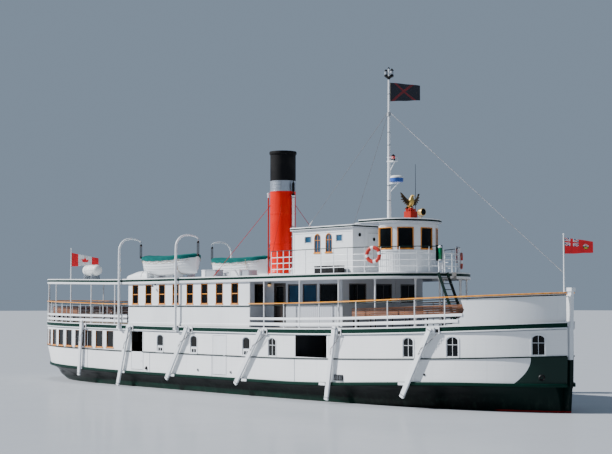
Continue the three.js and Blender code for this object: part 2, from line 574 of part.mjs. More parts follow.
// Wheelhouse: straight aft wall, round front; windows as angle and width
function dShape(aft, half, run) {
  const shape = new THREE.Shape();
  shape.moveTo(aft, -half);
  shape.lineTo(WHEELHOUSE.centre, -half);
  shape.absellipse(WHEELHOUSE.centre, 0, run, half, -Math.PI / 2, Math.PI / 2, false);
  shape.lineTo(aft, half);
  shape.closePath();
  return shape;
}
function slab(shape, z0, z1) {
  const geometry = new THREE.ExtrudeGeometry(shape, { depth: z1 - z0, bevelEnabled: false, curveSegments: 9 });
  geometry.translate(0, 0, z0);
  return solid(geometry);
}
const wheelLow = roofZ(WHEELHOUSE.centre + WHEELHOUSE.run) + GAP;
const wheelRing = cut(
  slab(dShape(WHEELHOUSE.aft, WHEELHOUSE.half, WHEELHOUSE.run), wheelLow, WHEELHOUSE.top),
  slab(dShape(WHEELHOUSE.aft + PANEL, WHEELHOUSE.half - PANEL, WHEELHOUSE.run - PANEL), wheelLow - 50, WHEELHOUSE.top + 50));
const wheelCuts = [-84, -42, 0, 42, 84].map((degrees) => {
  const a = THREE.MathUtils.degToRad(degrees);
  const x = WHEELHOUSE.centre + WHEELHOUSE.run * Math.cos(a);
  const y = WHEELHOUSE.half * Math.sin(a);
  const n = Math.hypot(Math.cos(a) / WHEELHOUSE.run, Math.sin(a) / WHEELHOUSE.half);
  return cutter(x, y, 6890, Math.cos(a) / WHEELHOUSE.run / n, Math.sin(a) / WHEELHOUSE.half / n, 720, 940);
});
const wheelDoorway = doorway(WHEELHOUSE.aft + 30, 700, wheelLow + 100, 760, 1850);
mesh('wheelhouse', cut(wheelRing, ...wheelCuts, wheelDoorway), WHITE);
mesh('wheelhouse_door', door([WHEELHOUSE.aft + PANEL, 700 - 380], [0, 1], [1, 0], 760, PANEL, wheelLow + 100, wheelLow + 1950), WHITE);
const searchlight = union(
  rod([11050, 0, 8240], [11050, 0, 8480], 40), rod([10900, 0, 8560], [11210, 0, 8560], 150, 170, 16));
mesh('wheelhouse_roof', union(
  slab(dShape(8750, WHEELHOUSE.half + 180, WHEELHOUSE.run + 180), WHEELHOUSE.top + GAP, 8260), searchlight), WHITE);

// Hurricane deck rail, on its own curve inside the roof's edge
function topRailCurve(s) {
  if (s <= 2) return [THREE.MathUtils.lerp(STERN_X, ROOF_FRONT_X, s - 1), TOP_RAIL.half];
  const a = (s - 2) * Math.PI / 2;
  return [ROOF_FRONT_X + TOP_RAIL.run * Math.sin(a), TOP_RAIL.half * Math.cos(a)];
}
const rails = [0.28, 0.56, 0.84, 1.15];
const topRailS = [...[3950, 5300, 6460, 7530].map((x) => at(topRailCurve, x)), ...ROOF_FRONT];
const topPath = frontPath(topRailS);
const railBars = rails.map((h) => band(topRailCurve, topPath, box(15, -15, (x) => roofZ(x) + 1000 * h - 15, (x) => roofZ(x) + 1000 * h + 15)));
const topPosts = SIDES.flatMap(([, side]) => topRailS.map((s) => {
  const p = edge(topRailCurve, s, 0);
  return rod([p.x, side * p.y, roofZ(p.x) + 2 * GAP], [p.x, side * p.y, roofZ(p.x) + 1160], 24, 24, 4);
}));
mesh('hurricane_rail', union(...railBars, ...topPosts), WHITE);

// Funnel with its steam pipe
const funnelProfile = [
  [FUNNEL.radius + 120, FUNNEL.base + GAP], [FUNNEL.radius + 120, FUNNEL.base + 60],
  [FUNNEL.radius, FUNNEL.base + 330], [FUNNEL.radius, FUNNEL.top],
  [FUNNEL.radius - FUNNEL.wall, FUNNEL.top], [FUNNEL.radius - FUNNEL.wall, FUNNEL.base + GAP],
].map(([r, z]) => new THREE.Vector2(r, z));
const funnelRing = new THREE.LatheGeometry([...funnelProfile, funnelProfile[0]], 28);
funnelRing.rotateX(Math.PI / 2);
funnelRing.translate(FUNNEL.x, 0, 0);
const pipe = rod([FUNNEL.x + 790, 20, FUNNEL.base + 400], [FUNNEL.x + 790, 20, 10750], 70);
const clips = [6700, 8300, 9780].map((z) => block(FUNNEL.x + 600, FUNNEL.x + 800, -20, 60, z, z + 60));
mesh('funnel', union(solid(funnelRing), pipe, ...clips), 0xb02a1c, 0.4);
mesh('boiler_casing', block(-1800, 3000, -1250, 1250, 850 + GAP, 2950), 0x555a5c);

// Mast with its shelf, radar and lantern
const mastPole = rod([MAST.x, 0, MAST.foot], [MAST.x, 0, MAST.top], MAST.low, MAST.high, 20);
const shelf = block(MAST.x, MAST.x + 420, -150, 150, 11000, 11050);
const shelfLamp = rod([MAST.x + 280, 0, 11040], [MAST.x + 280, 0, 11330], 90);
const radarArm = block(MAST.x, MAST.x + 700, -60, 60, 9980, 10040);
const radarDome = rod([MAST.x + 500, 0, 10030], [MAST.x + 500, 0, 10340], 310, 270, 20);
const lanternTop = rod([MAST.x, 0, MAST.top - 40], [MAST.x, 0, 15480], 110, 90);
mesh('mast', union(mastPole, shelf, shelfLamp, radarArm, radarDome, lanternTop), WHITE, 0.4);
const mastR = (z) => MAST.low + (MAST.high - MAST.low) * (z - MAST.foot) / (MAST.top - MAST.foot);
const collarOuter = rod([MAST.x, 0, MAST.stay - 160], [MAST.x, 0, MAST.stay + 40], mastR(MAST.stay) + 50);
const collarBore = rod([MAST.x, 0, MAST.stay - 600], [MAST.x, 0, MAST.stay + 60], mastR(MAST.stay - 600) + 1.5);
const STAY_ENDS = [[19085, 0, 5680], [4900, -1450, 8077], [4900, 1450, 8077]];
const stayRods = STAY_ENDS.map(([x, y, z]) => rod([x, y, z], [MAST.x, 0, MAST.stay], 10, 10, 6));
mesh('stays', cut(union(collarOuter, ...stayRods), collarBore), 0x888888);

// Figure and searchlight on the wheelhouse roof
const figureBase = block(10150, 10650, -250, 250, 8260 + GAP, 8800);
const figureBody = new THREE.SphereGeometry(1, 14, 10);
figureBody.scale(190, 150, 300);
figureBody.translate(10400, 0, 9050);
const wings = SIDES.map(([, side]) => {
  const wing = new THREE.SphereGeometry(1, 10, 8);
  wing.scale(60, 140, 380);
  wing.rotateX(side * -0.85);
  wing.translate(10400, side * 310, 9200);
  return solid(wing);
});
mesh('figure', union(figureBase, solid(figureBody), ...wings), 0xb8862b);

// Boats on their chocks
const boatStations = [
  [0, 0.05, 0.3], [0.04, 0.32, 0.16], [0.14, 0.68, 0.06], [0.3, 0.92, 0.01], [0.5, 1, 0],
  [0.7, 0.93, 0.01], [0.86, 0.7, 0.06], [0.96, 0.34, 0.15], [1, 0.05, 0.28],
];
for (const [label, side] of SIDES) {
  const rings = boatStations.map(([f, wide, lift]) => {
    const x = THREE.MathUtils.lerp(BOAT.aft, BOAT.fwd, f);
    const half = BOAT.half * wide;
    const keel = BOAT.keel + 800 * lift;
    const top = BOAT.gunwale + 150 * (2 * f - 1) ** 2;
    const ring = [[0, keel], [0.55, keel + 0.12 * (top - keel)], [0.9, keel + 0.45 * (top - keel)], [1, top], [0.5, top + 120 * wide]];
    const right = ring.map(([y, z]) => [x, side * BOAT.y + half * y, z]);
    const left = ring.slice(1).map(([y, z]) => [x, side * BOAT.y - half * y, z]).reverse();
    return [...right, ...left];
  });
  const chocks = [-6600, -3900].map((x) => block(x - 60, x + 60, side * BOAT.y - 650, side * BOAT.y + 650, roofZ(x) + GAP, 6200));
  mesh(`lifeboat_${label}`, union(loft(rings), ...chocks), WHITE, 0.4);
}

// Life raft in its canister
const raft = rod([-17650, 0, 6470], [-16050, 0, 6470], 330, 330, 16);
mesh('raft_canister', union(raft, ...[-17300, -16500].map((x) => block(x - 60, x + 60, -330, 330, roofZ(x) + 1.5, 6350))), WHITE);

// Davits: post, arched arm and hanging block
for (const [label, side] of SIDES) {
  DAVIT_X.forEach((x, i) => {
    const y = side * DAVIT_Y;
    const points = [[0, 3200 + GAP], [0, 5400], [0, 7100], [-60, 7550], [-330, 7850], [-760, 7950], [-1180, 7900], [-1400, 7800]];
    const curve = new THREE.CatmullRomCurve3(points.map(([dy, z]) => new THREE.Vector3(x, y + side * dy, z)), false, 'catmullrom', 0.5);
    const circle = new THREE.Shape();
    circle.absarc(0, 0, DAVIT_R, 0, Math.PI * 2, false);
    const tube = new THREE.ExtrudeGeometry(circle, { steps: 26, curveSegments: 4, bevelEnabled: false, extrudePath: curve });
    const fall = rod([x, y - side * 1400, 7120], [x, y - side * 1400, 7810], 30, 30, 8);
    mesh(`davit_${i === 0 ? 'aft' : 'fwd'}_${label}`, union(solid(tube), fall), WHITE, 0.4);
  });
}

// Doors in the main deck's sides
for (const [label, side] of SIDES) {
  const outer = BEAM_HALF - 20;
  const hingeY = side * (outer - WALL);
  mesh(`gangway_gate_${label}`, door([GATE.x - GATE.width / 2, hingeY], [1, 0], [0, -side],
    GATE.width, WALL, GATE.sill, GATE.sill + GATE.height), WHITE);
  mesh(`side_door_${label}`, door([SIDE_DOOR.x - SIDE_DOOR.width / 2, hingeY], [1, 0], [0, -side],
    SIDE_DOOR.width, WALL, SIDE_DOOR.sill, SIDE_DOOR.head), WHITE);
}

// Staffs and flags
mesh('jackstaff', rod([19140, 0, deckZ(19140) + 2], [19140, 0, 7260], 38, 23, 20), WHITE);
mesh('stern_staff', rod([-19350, 0, roofZ(-19385) + GAP], [-19350, 0, 7910], 35, 21, 20), WHITE);
const FLAGS = [
  ['stern_flag', -19350, 6750, 7620, 1700, 29.4],
  ['mast_flag', MAST.x, 13850, 14760, 1420, 55.6],
  ['bow_flag', 19140, 6420, 7110, 1180, 26.9],
];
for (const [name, x, z0, z1, length, gap] of FLAGS) {
  const geometry = new THREE.BoxGeometry(length, 24, z1 - z0);
  geometry.translate(length / 2 + gap, 0, (z0 + z1) / 2);
  geometry.rotateZ(WIND);
  geometry.translate(x, 0, 0);
  mesh(name, solid(geometry), 0xb03030, 0.8);
}

// Ladder from the foredeck
const LADDER = { foot: 14140, head: 13095, y: -750, half: 280 };
const ladderLow = deckZ(LADDER.foot) + 40;
const ladderHigh = roofZ(LADDER.head) - 30;
const ladderRails = [LADDER.y - LADDER.half, LADDER.y + LADDER.half];
const ladderSides = ladderRails.map((y) => rod([LADDER.foot, y, ladderLow], [LADDER.head, y, ladderHigh], 35, 35, 6));
const rungs = steps(0.1, 0.9, 7).map((f) => {
  const x = THREE.MathUtils.lerp(LADDER.foot, LADDER.head, f);
  const z = THREE.MathUtils.lerp(ladderLow, ladderHigh, f);
  return block(x - 90, x + 90, ladderRails[0], ladderRails[1], z - 15, z + 15);
});
const ladderFoot = deckZ(LADDER.foot + 80) + GAP;
const ladderFeet = ladderRails.map((y) => block(
  LADDER.foot - 70, LADDER.foot + 80, y - 40, y + 40, ladderFoot, ladderFoot + 90));
mesh('foredeck_ladder', union(...ladderSides, ...ladderFeet, ...rungs), GREEN);

// Rudder and propellers
const rudderShape = new THREE.Shape();
rudderShape.moveTo(RUDDER_X + 120, -1950);
rudderShape.lineTo(RUDDER_X - 850, -1900);
rudderShape.lineTo(RUDDER_X - 900, -600);
rudderShape.lineTo(RUDDER_X + 120, -560);
rudderShape.closePath();
mesh('rudder', union(plate(rudderShape, 50), rod([RUDDER_X, 0, -2030 + GAP], [RUDDER_X, 0, -390 - GAP], 60)), DARK);
for (const [label, side] of SIDES) {
  const hub = rod([SHAFT.x - 150, side * SHAFT.y, SHAFT.z], [SHAFT.x + 170 - GAP, side * SHAFT.y, SHAFT.z], 70, 95, 16);
  const blades = [0, 1, 2, 3].map((i) => {
    const blade = new THREE.CylinderGeometry(1, 1, 1, 14);
    blade.scale(150, 30, 215);
    blade.translate(0, 0, 285);
    blade.rotateZ(side * 0.6);
    blade.rotateX(i * Math.PI / 2);
    blade.translate(SHAFT.x, side * SHAFT.y, SHAFT.z);
    return solid(blade);
  });
  mesh(`propeller_${label}`, union(hub, ...blades), 0x9a7a3a, 0.3, 0.8);
}

export default ship;
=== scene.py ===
"""Lake passenger steamship: the visible pieces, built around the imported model.

Metres, +X towards the bow, +Y to port, +Z up, with the origin on the waterline amidships.
"""

import logging
import math
import random
from dataclasses import dataclass
from enum import Enum
from typing import Callable, Iterable, Sequence

import bmesh
import bpy
from mathutils import Matrix, Vector


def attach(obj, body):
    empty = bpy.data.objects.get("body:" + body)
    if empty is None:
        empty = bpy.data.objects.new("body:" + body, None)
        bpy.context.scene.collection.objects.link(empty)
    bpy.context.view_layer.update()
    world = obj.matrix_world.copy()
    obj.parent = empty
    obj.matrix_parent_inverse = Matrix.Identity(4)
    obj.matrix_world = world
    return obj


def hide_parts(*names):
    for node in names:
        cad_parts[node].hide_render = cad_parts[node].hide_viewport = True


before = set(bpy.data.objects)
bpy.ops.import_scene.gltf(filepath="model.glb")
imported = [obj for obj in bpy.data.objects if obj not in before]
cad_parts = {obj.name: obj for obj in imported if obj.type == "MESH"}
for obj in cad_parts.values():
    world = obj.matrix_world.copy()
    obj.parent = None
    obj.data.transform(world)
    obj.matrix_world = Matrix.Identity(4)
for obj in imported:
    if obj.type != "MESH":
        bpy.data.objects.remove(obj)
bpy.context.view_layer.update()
LOG = logging.getLogger("steamship")

Colour = tuple[float, float, float]
Height = Callable[[float], float]


# Shader sockets as Python values
class Value:
    """A number, colour or vector from a shader socket, usable in Python expressions."""

    def __init__(self, tree: "Tree", socket: bpy.types.NodeSocket) -> None:
        """Keeps the socket and the tree it belongs to."""
        self.tree = tree
        self.socket = socket

    def _math(self, operation: str, *terms: "Value | float") -> "Value":
        """Adds one Math node and returns its result."""
        return self.tree.node("ShaderNodeMath", {"operation": operation}, dict(enumerate(terms)))

    def __add__(self, other: "Value | float") -> "Value":
        """Sum."""
        return self._math("ADD", self, other)

    def __radd__(self, other: float) -> "Value":
        """Sum with a plain number first."""
        return self._math("ADD", other, self)

    def __sub__(self, other: "Value | float") -> "Value":
        """Difference."""
        return self._math("SUBTRACT", self, other)

    def __rsub__(self, other: float) -> "Value":
        """Difference from a plain number."""
        return self._math("SUBTRACT", other, self)

    def __mul__(self, other: "Value | float") -> "Value":
        """Product."""
        return self._math("MULTIPLY", self, other)

    def __rmul__(self, other: float) -> "Value":
        """Product with a plain number first."""
        return self._math("MULTIPLY", other, self)

    def __truediv__(self, other: "Value | float") -> "Value":
        """Quotient."""
        return self._math("DIVIDE", self, other)

    def __gt__(self, other: "Value | float") -> "Value":
        """1 where this is the greater, else 0."""
        return self._math("GREATER_THAN", self, other)

    def __lt__(self, other: "Value | float") -> "Value":
        """1 where this is the smaller, else 0."""
        return self._math("LESS_THAN", self, other)

    def __abs__(self) -> "Value":
        """Distance from zero."""
        return self._math("ABSOLUTE", self)

    def fract(self) -> "Value":
        """The part after the decimal point."""
        return self._math("FRACT", self)

    def off(self) -> "Value":
        """Distance from the middle between two whole numbers, 0 to 0.5."""
        return abs(self.fract() - 0.5)

    def most(self, other: "Value | float") -> "Value":
        """The greater of the two."""
        return self._math("MAXIMUM", self, other)

    def least(self, other: "Value | float") -> "Value":
        """The smaller of the two."""
        return self._math("MINIMUM", self, other)

    def ramp(self, low: float, high: float) -> "Value":
        """Rises smoothly from 0 at low to 1 at high; falls where low is the greater."""
        inputs = {"Value": self, "From Min": low, "From Max": high}
        return self.tree.node("ShaderNodeMapRange", {"interpolation_type": "SMOOTHSTEP"}, inputs)


class Tree:
    """The node tree of one material, with the places a pattern is read from."""

    def __init__(self, name: str) -> None:
        """Makes a material with its surface shader and output.

        Args:
            name: the material's name.
        """
        self.material = bpy.data.materials.new(name)
        self.material.use_nodes = True
        self.nodes = self.material.node_tree.nodes
        self.links = self.material.node_tree.links
        self.nodes.clear()
        self.shader = self.nodes.new("ShaderNodeBsdfPrincipled")
        output = self.nodes.new("ShaderNodeOutputMaterial")
        self.links.new(self.shader.outputs[0], output.inputs["Surface"])
        self.place = self.node("ShaderNodeTexCoord", output="Object")
        self.uv = self.node("ShaderNodeTexCoord", output="UV")

    def node(self, kind: str, settings: dict | None = None, inputs: dict | None = None,
             output: str | int = 0) -> Value:
        """Adds one node.

        Args:
            kind: the node's type.
            settings: its properties, set first.
            inputs: values or links of its sockets, by name or number.
            output: which of its results is wanted.

        Returns:
            The result as a value.
        """
        made = self.nodes.new(kind)
        for key, value in (settings or {}).items():
            setattr(made, key, value)
        for key, value in (inputs or {}).items():
            if isinstance(value, Value):
                self.links.new(value.socket, made.inputs[key])
            else:
                made.inputs[key].default_value = value
        return Value(self, made.outputs[output])

    def axis(self, name: str, source: Value | None = None) -> Value:
        """One coordinate of a place: X, Y or Z."""
        return self.node("ShaderNodeSeparateXYZ", inputs={0: source or self.place}, output=name)

    def stretched(self, scale: Sequence[float]) -> Value:
        """The place with each coordinate multiplied by its own scale."""
        return self.node("ShaderNodeVectorMath", {"operation": "MULTIPLY"}, {0: self.place, 1: tuple(scale)})

    def noise(self, scale: float, detail: float = 3.0, stretch: Sequence[float] = (1, 1, 1)) -> Value:
        """Cloudy pattern around 0.5 with its size given as a scale per metre."""
        inputs = {"Vector": self.stretched(stretch), "Scale": scale, "Detail": detail}
        return self.node("ShaderNodeTexNoise", inputs=inputs)

    def mix(self, share: Value | float, low: "Value | Colour", high: "Value | Colour") -> Value:
        """Colour between two colours, the second where share is 1."""
        ends = [(*end, 1.0) if isinstance(end, tuple) else end for end in (low, high)]
        return self.node("ShaderNodeMix", {"data_type": "RGBA"}, {0: share, 6: ends[0], 7: ends[1]}, 2)

    def bump(self, height: Value, strength: float, distance: float) -> Value:
        """Surface direction with small relief."""
        inputs = {"Height": height, "Strength": strength, "Distance": distance}
        return self.node("ShaderNodeBump", inputs=inputs, output="Normal")

    def dress(self, **sockets: "Value | float | Colour") -> bpy.types.Material:
        """Sets or links the surface shader's sockets.

        Args:
            sockets: what each socket gets, by its name with _ for a space.

        Returns:
            The finished material.
        """
        for key, value in sockets.items():
            socket = self.shader.inputs[key.replace("_", " ")]
            if isinstance(value, Value):
                self.links.new(value.socket, socket)
            else:
                socket.default_value = (*value, 1.0) if isinstance(value, tuple) else value
        return self.material


# Finishes
@dataclass(frozen=True)
class Finish:
    """Base of every finish: a name and a material made once."""

    name: str

    def material(self) -> bpy.types.Material:
        """The material of this finish, made the first time it is asked for."""
        return bpy.data.materials.get(self.name) or self.make(Tree(self.name))

    def make(self, tree: Tree) -> bpy.types.Material:
        """Builds the nodes; each finish has its own."""
        raise NotImplementedError


class Boards(Enum):
    """How the boards under a coat of paint run."""

    NONE = "none"
    LEVEL = "level"


@dataclass(frozen=True)
class Paint(Finish):
    """Gloss paint, with brush marks, dulled patches and faint streaks under the rain."""

    colour: Colour = (0.8, 0.8, 0.8)
    shade: Colour = (0.6, 0.6, 0.6)
    roughness: float = 0.32
    streaks: float = 0.35
    boards: Boards = Boards.NONE
    pitch: float = 0.16
    coat: float = 0.12
    specular: float = 0.4

    def make(self, tree: Tree) -> bpy.types.Material:
        """Builds the coat from broad patches, upright streaks and brush marks.

        Args:
            tree: the material's nodes.

        Returns:
            The material.
        """
        patches = tree.noise(0.45, 4.0)
        runs = tree.noise(5.0, 5.0, (1, 1, 0.09)).ramp(0.52, 0.8)
        specks = tree.noise(38.0, 2.0).ramp(0.66, 0.8)
        worn = (patches.ramp(0.35, 0.75) * 0.35 + runs * self.streaks + specks * 0.12).least(1.0)
        brush = tree.noise(55.0, 2.0, (0.25, 0.25, 1.6)) * 0.12
        if self.boards is Boards.LEVEL:
            seam = (tree.axis("Z") / self.pitch).off().ramp(0.468, 0.496)
            worn = (worn + seam * 0.45).least(1.0)
            brush = brush - seam
        return tree.dress(
            Base_Color=self.over(tree, tree.mix(worn, self.colour, self.shade)),
            Roughness=self.roughness + patches * 0.16 + runs * 0.1,
            Coat_Weight=self.coat, Coat_Roughness=0.12, Specular_IOR_Level=self.specular,
            Normal=tree.bump(brush, 0.35, 0.004))

    def over(self, tree: Tree, ground: Value) -> Value:
        """What is painted over the ground colour; nothing on plain coats."""
        return ground


@dataclass(frozen=True)
class SidePaint(Paint):
    """White side with a green patch at the bow, its after edge sweeping aft towards the foot."""

    patch: Colour = (0.004, 0.022, 0.016)

    def over(self, tree: Tree, ground: Value) -> Value:
        """Adds the patch below the moulding.

        Args:
            tree: the material's nodes.
            ground: the coat so far.

        Returns:
            The coat with the patch.
        """
        height = tree.axis("Z")
        fall = ((2.19 - height) / 0.96).most(0.0)
        inside = (tree.axis("X") > 18.41 - fall * fall * 0.5) * (height < 2.262)
        return tree.mix(inside, ground, self.patch)


@dataclass(frozen=True)
class HullCoat(Finish):
    """Black-green hull: near-black topsides painted as shade under the overhanging guard, a brighter scuffed
    green band above the waterline where that painted shade ends, boot line at the bow, red bottom.
    """

    # Near black: the hull's dark green with painted shade under the overhanging guard.
    topsides: Colour = (0.0025, 0.0045, 0.0045)
    bow: Colour = (0.003, 0.012, 0.010)
    band: Colour = (0.003, 0.028, 0.018)
    boot: Colour = (0.30, 0.012, 0.010)
    bottom: Colour = (0.13, 0.028, 0.018)
    band_top: float = 0.27

    def make(self, tree: Tree) -> bpy.types.Material:
        """Builds the coat by height and by place along the hull.

        Args:
            tree: the material's nodes.

        Returns:
            The material.
        """
        height = tree.axis("Z") + tree.noise(1.3, 5.0) * 0.05 - 0.025
        along = tree.axis("X")
        at_bow = along.ramp(15.5, 18.0)
        topsides = tree.mix(at_bow, self.topsides, self.bow)
        # Below the band's top and aft of about x 10: the brighter green where the painted shade under the
        # guard ends, broken up by scuffs.
        lit_band = height.ramp(self.band_top + 0.03, self.band_top - 0.03) * (1 - along.ramp(9.0, 12.0))
        scuffed = tree.noise(2.2, 6.0, (0.35, 1, 2.2)).ramp(0.45, 0.68)
        sides = tree.mix(lit_band * (0.45 + scuffed * 0.55), topsides, self.band)
        scum = tree.noise(6.0, 4.0, (1, 1, 0.3)).ramp(0.45, 0.75) * height.ramp(0.9, 0.1) * 0.4
        sides = tree.mix(scum, sides, (0.02, 0.04, 0.03))
        booted = height.ramp(0.075, 0.06) * along.ramp(16.6, 16.9)
        painted = tree.mix(booted, sides, self.boot)
        below = tree.mix(tree.noise(1.2, 6.0).ramp(0.35, 0.7), self.bottom, (0.075, 0.04, 0.03))
        under = tree.axis("Z").ramp(0.012, 0.0)
        plates = (along / 2.4).off().ramp(0.494, 0.499)
        laps = (tree.axis("Z") / 0.55).off().ramp(0.47, 0.5)
        relief = tree.noise(7.0, 5.0) * 0.35 + plates * 0.5 + laps * 0.4
        return tree.dress(
            Base_Color=tree.mix(under, painted, below),
            Roughness=0.3 + scuffed * 0.18 + under * 0.3,
            Specular_IOR_Level=0.07,
            Normal=tree.bump(relief, 0.35, 0.008))


@dataclass(frozen=True)
class FunnelCoat(Finish):
    """Funnel enamel by height: red, bare silver band, sooty black top."""

    silver_from: float = 10.10
    black_from: float = 10.64
    red: Colour = (0.66, 0.006, 0.002)
    silver: Colour = (0.42, 0.46, 0.52)
    black: Colour = (0.004, 0.004, 0.005)

    def make(self, tree: Tree) -> bpy.types.Material:
        """Builds the three coats with heat patches, runs of soot and rolled plate seams.

        Args:
            tree: the material's nodes.

        Returns:
            The material.
        """
        height = tree.axis("Z")
        patches = tree.noise(1.1, 4.0)
        runs = tree.noise(7.0, 4.0, (1, 1, 0.06)).ramp(0.5, 0.78)
        faded = tree.mix(patches.ramp(0.35, 0.75) * 0.5, self.red, (0.74, 0.035, 0.015))
        red = tree.mix(runs * 0.35, faded, (0.34, 0.008, 0.004))
        upper = height > self.silver_from
        top = height > self.black_from
        sooty = tree.mix(patches.ramp(0.4, 0.7), self.black, (0.014, 0.013, 0.013))
        dulled = tree.mix(runs * 0.5, self.silver, (0.28, 0.28, 0.29))
        seam = (height / 1.52).off().ramp(0.490, 0.497)
        return tree.dress(
            Base_Color=tree.mix(top, tree.mix(upper, red, dulled), sooty),
            Roughness=0.3 + top * 0.3 + patches * 0.12,
            Metallic=(upper - top) * 0.75,
            Specular_IOR_Level=0.12,
            Normal=tree.bump(tree.noise(9.0, 3.0) * 0.25 + seam, 0.35, 0.006))


class Grain(Enum):
    """The way wood grain runs, as how little the pattern changes along each axis."""

    ALONG = (0.06, 1.0, 1.0)
    ACROSS = (1.0, 0.06, 1.0)
    UPRIGHT = (1.0, 1.0, 0.06)


@dataclass(frozen=True)
class Timber(Finish):
    """Wood with grain, pores and a clear coat worn in places."""

    light: Colour = (0.6, 0.3, 0.08)
    dark: Colour = (0.35, 0.13, 0.03)
    grain: Grain = Grain.ALONG
    coat: float = 0.6
    roughness: float = 0.3

    def make(self, tree: Tree) -> bpy.types.Material:
        """Builds the grain from stretched noise in two sizes.

        Args:
            tree: the material's nodes.

        Returns:
            The material.
        """
        rings = tree.noise(9.0, 5.0, self.grain.value).ramp(0.35, 0.68)
        pores = tree.noise(70.0, 3.0, self.grain.value).ramp(0.5, 0.72)
        worn = tree.noise(1.4, 4.0).ramp(0.5, 0.8)
        body = tree.mix(rings, self.light, self.dark)
        return tree.dress(
            Base_Color=tree.mix(pores * 0.45, body, self.dark),
            Roughness=self.roughness + worn * 0.25 + pores * 0.1,
            Coat_Weight=self.coat * (1 - worn * 0.6), Coat_Roughness=0.1,
            Normal=tree.bump(pores * 0.4 + rings * 0.25, 0.3, 0.003))


@dataclass(frozen=True)
class Planking(Finish):
    """Deck laid in narrow planks along the ship, with caulked seams and butts."""

    plank: Colour = (0.34, 0.27, 0.19)
    worn: Colour = (0.20, 0.17, 0.135)
    caulk: Colour = (0.02, 0.02, 0.02)
    width: float = 0.11

    def make(self, tree: Tree) -> bpy.types.Material:
        """Builds planks that differ in tone, with dark seams between them.

        Args:
            tree: the material's nodes.

        Returns:
            The material.
        """
        across = tree.axis("Y") / self.width
        rows = across - across.fract()
        inputs = {"W": rows * 7.31, "Scale": 1.0, "Detail": 0.0}
        tone = tree.node("ShaderNodeTexNoise", {"noise_dimensions": "1D"}, inputs)
        seam = across.off().ramp(0.44, 0.485)
        butt = ((tree.axis("X") + rows * 1.37) / 3.2).off().ramp(0.494, 0.498)
        grain = tree.noise(26.0, 4.0, Grain.ALONG.value)
        tread = tree.noise(0.9, 4.0)
        wood = tree.mix(tone * 0.5 + grain * 0.3 + tread * 0.2, self.plank, self.worn)
        joint = seam.most(butt)
        return tree.dress(
            Base_Color=tree.mix(joint, wood, self.caulk),
            Roughness=0.5 + tread * 0.25,
            Normal=tree.bump(grain * 0.25 - joint, 0.4, 0.004))


@dataclass(frozen=True)
class Cloth(Finish):
    """Woven cloth: a plain weave, faded folds and soft sheen."""

    colour: Colour = (0.02, 0.3, 0.25)
    faded: Colour = (0.08, 0.42, 0.36)
    weave: float = 340.0

    def make(self, tree: Tree) -> bpy.types.Material:
        """Builds the weave from two crossed fine waves.

        Args:
            tree: the material's nodes.

        Returns:
            The material.
        """
        warp = (tree.axis("X") * self.weave).off()
        weft = (tree.axis("Z") * self.weave + tree.axis("Y") * self.weave).off()
        thread = warp.most(weft)
        patches = tree.noise(2.4, 5.0)
        return tree.dress(
            Base_Color=tree.mix(patches.ramp(0.4, 0.7) * 0.6 + thread * 0.2, self.colour, self.faded),
            Roughness=0.72 + patches * 0.15,
            Specular_IOR_Level=0.1,
            Normal=tree.bump(thread * 0.5 + tree.noise(14.0, 4.0) * 0.6, 0.4, 0.006))


@dataclass(frozen=True)
class Glass(Finish):
    """Window glass: a near-black tint as painted shade of the dim room behind, soft cloudy painted
    reflections, slight waviness and patches of dust.
    """

    # Near black as painted shade of the room behind; a blue tint stands for painted sky reflection.
    tint: Colour = (0.002, 0.0023, 0.0026)
    # Lighter colour of the painted cloudy reflections.
    cast: Colour = (0.006, 0.008, 0.010)
    opacity: float = 0.94

    def make(self, tree: Tree) -> bpy.types.Material:
        """Builds the pane with soft cloudy reflections of its own.

        Args:
            tree: the material's nodes.

        Returns:
            The material.
        """
        haze = tree.noise(0.9, 2.0, (1, 1, 0.6))
        dust = tree.noise(16.0, 4.0).ramp(0.5, 0.85)
        return tree.dress(
            Base_Color=tree.mix(haze.ramp(0.38, 0.66), self.tint, self.cast),
            Roughness=0.04 + dust * 0.08,
            Alpha=self.opacity, Specular_IOR_Level=0.14,
            Normal=tree.bump(tree.noise(1.7, 2.0), 0.05, 0.02))


@dataclass(frozen=True)
class Metal(Finish):
    """Bare or plated metal with handled patches and pitting."""

    colour: Colour = (0.5, 0.5, 0.5)
    stain: Colour = (0.25, 0.22, 0.2)
    roughness: float = 0.35
    stained: float = 0.3

    def make(self, tree: Tree) -> bpy.types.Material:
        """Builds the stains and the pits.

        Args:
            tree: the material's nodes.

        Returns:
            The material.
        """
        patches = tree.noise(4.0, 5.0).ramp(0.42, 0.72)
        pits = tree.noise(60.0, 3.0)
        return tree.dress(
            Base_Color=tree.mix(patches * self.stained, self.colour, self.stain),
            Roughness=self.roughness + patches * 0.25,
            Metallic=0.95 - patches * 0.35,
            Normal=tree.bump(pits, 0.2, 0.003))


@dataclass(frozen=True)
class Moulded(Finish):
    """Moulded plastic, rubber or rope: a dull body with scuffs and a fine pattern."""

    colour: Colour = (0.8, 0.8, 0.78)
    scuff: Colour = (0.5, 0.5, 0.48)
    roughness: float = 0.45
    texture: float = 30.0
    glow: float = 0.0

    def make(self, tree: Tree) -> bpy.types.Material:
        """Builds the scuffs and the pattern; a lamp's lens glows a little.

        Args:
            tree: the material's nodes.

        Returns:
            The material.
        """
        scuffs = tree.noise(6.0, 5.0).ramp(0.5, 0.75)
        return tree.dress(
            Base_Color=tree.mix(scuffs * 0.5, self.colour, self.scuff),
            Roughness=self.roughness + scuffs * 0.2,
            Emission_Color=self.colour, Emission_Strength=self.glow,
            Normal=tree.bump(tree.noise(self.texture, 3.0), 0.3, 0.004))


class Banner(Enum):
    """Designs of the three flags."""

    LEAF = "leaf"
    DARK = "dark"
    CANTON = "canton"


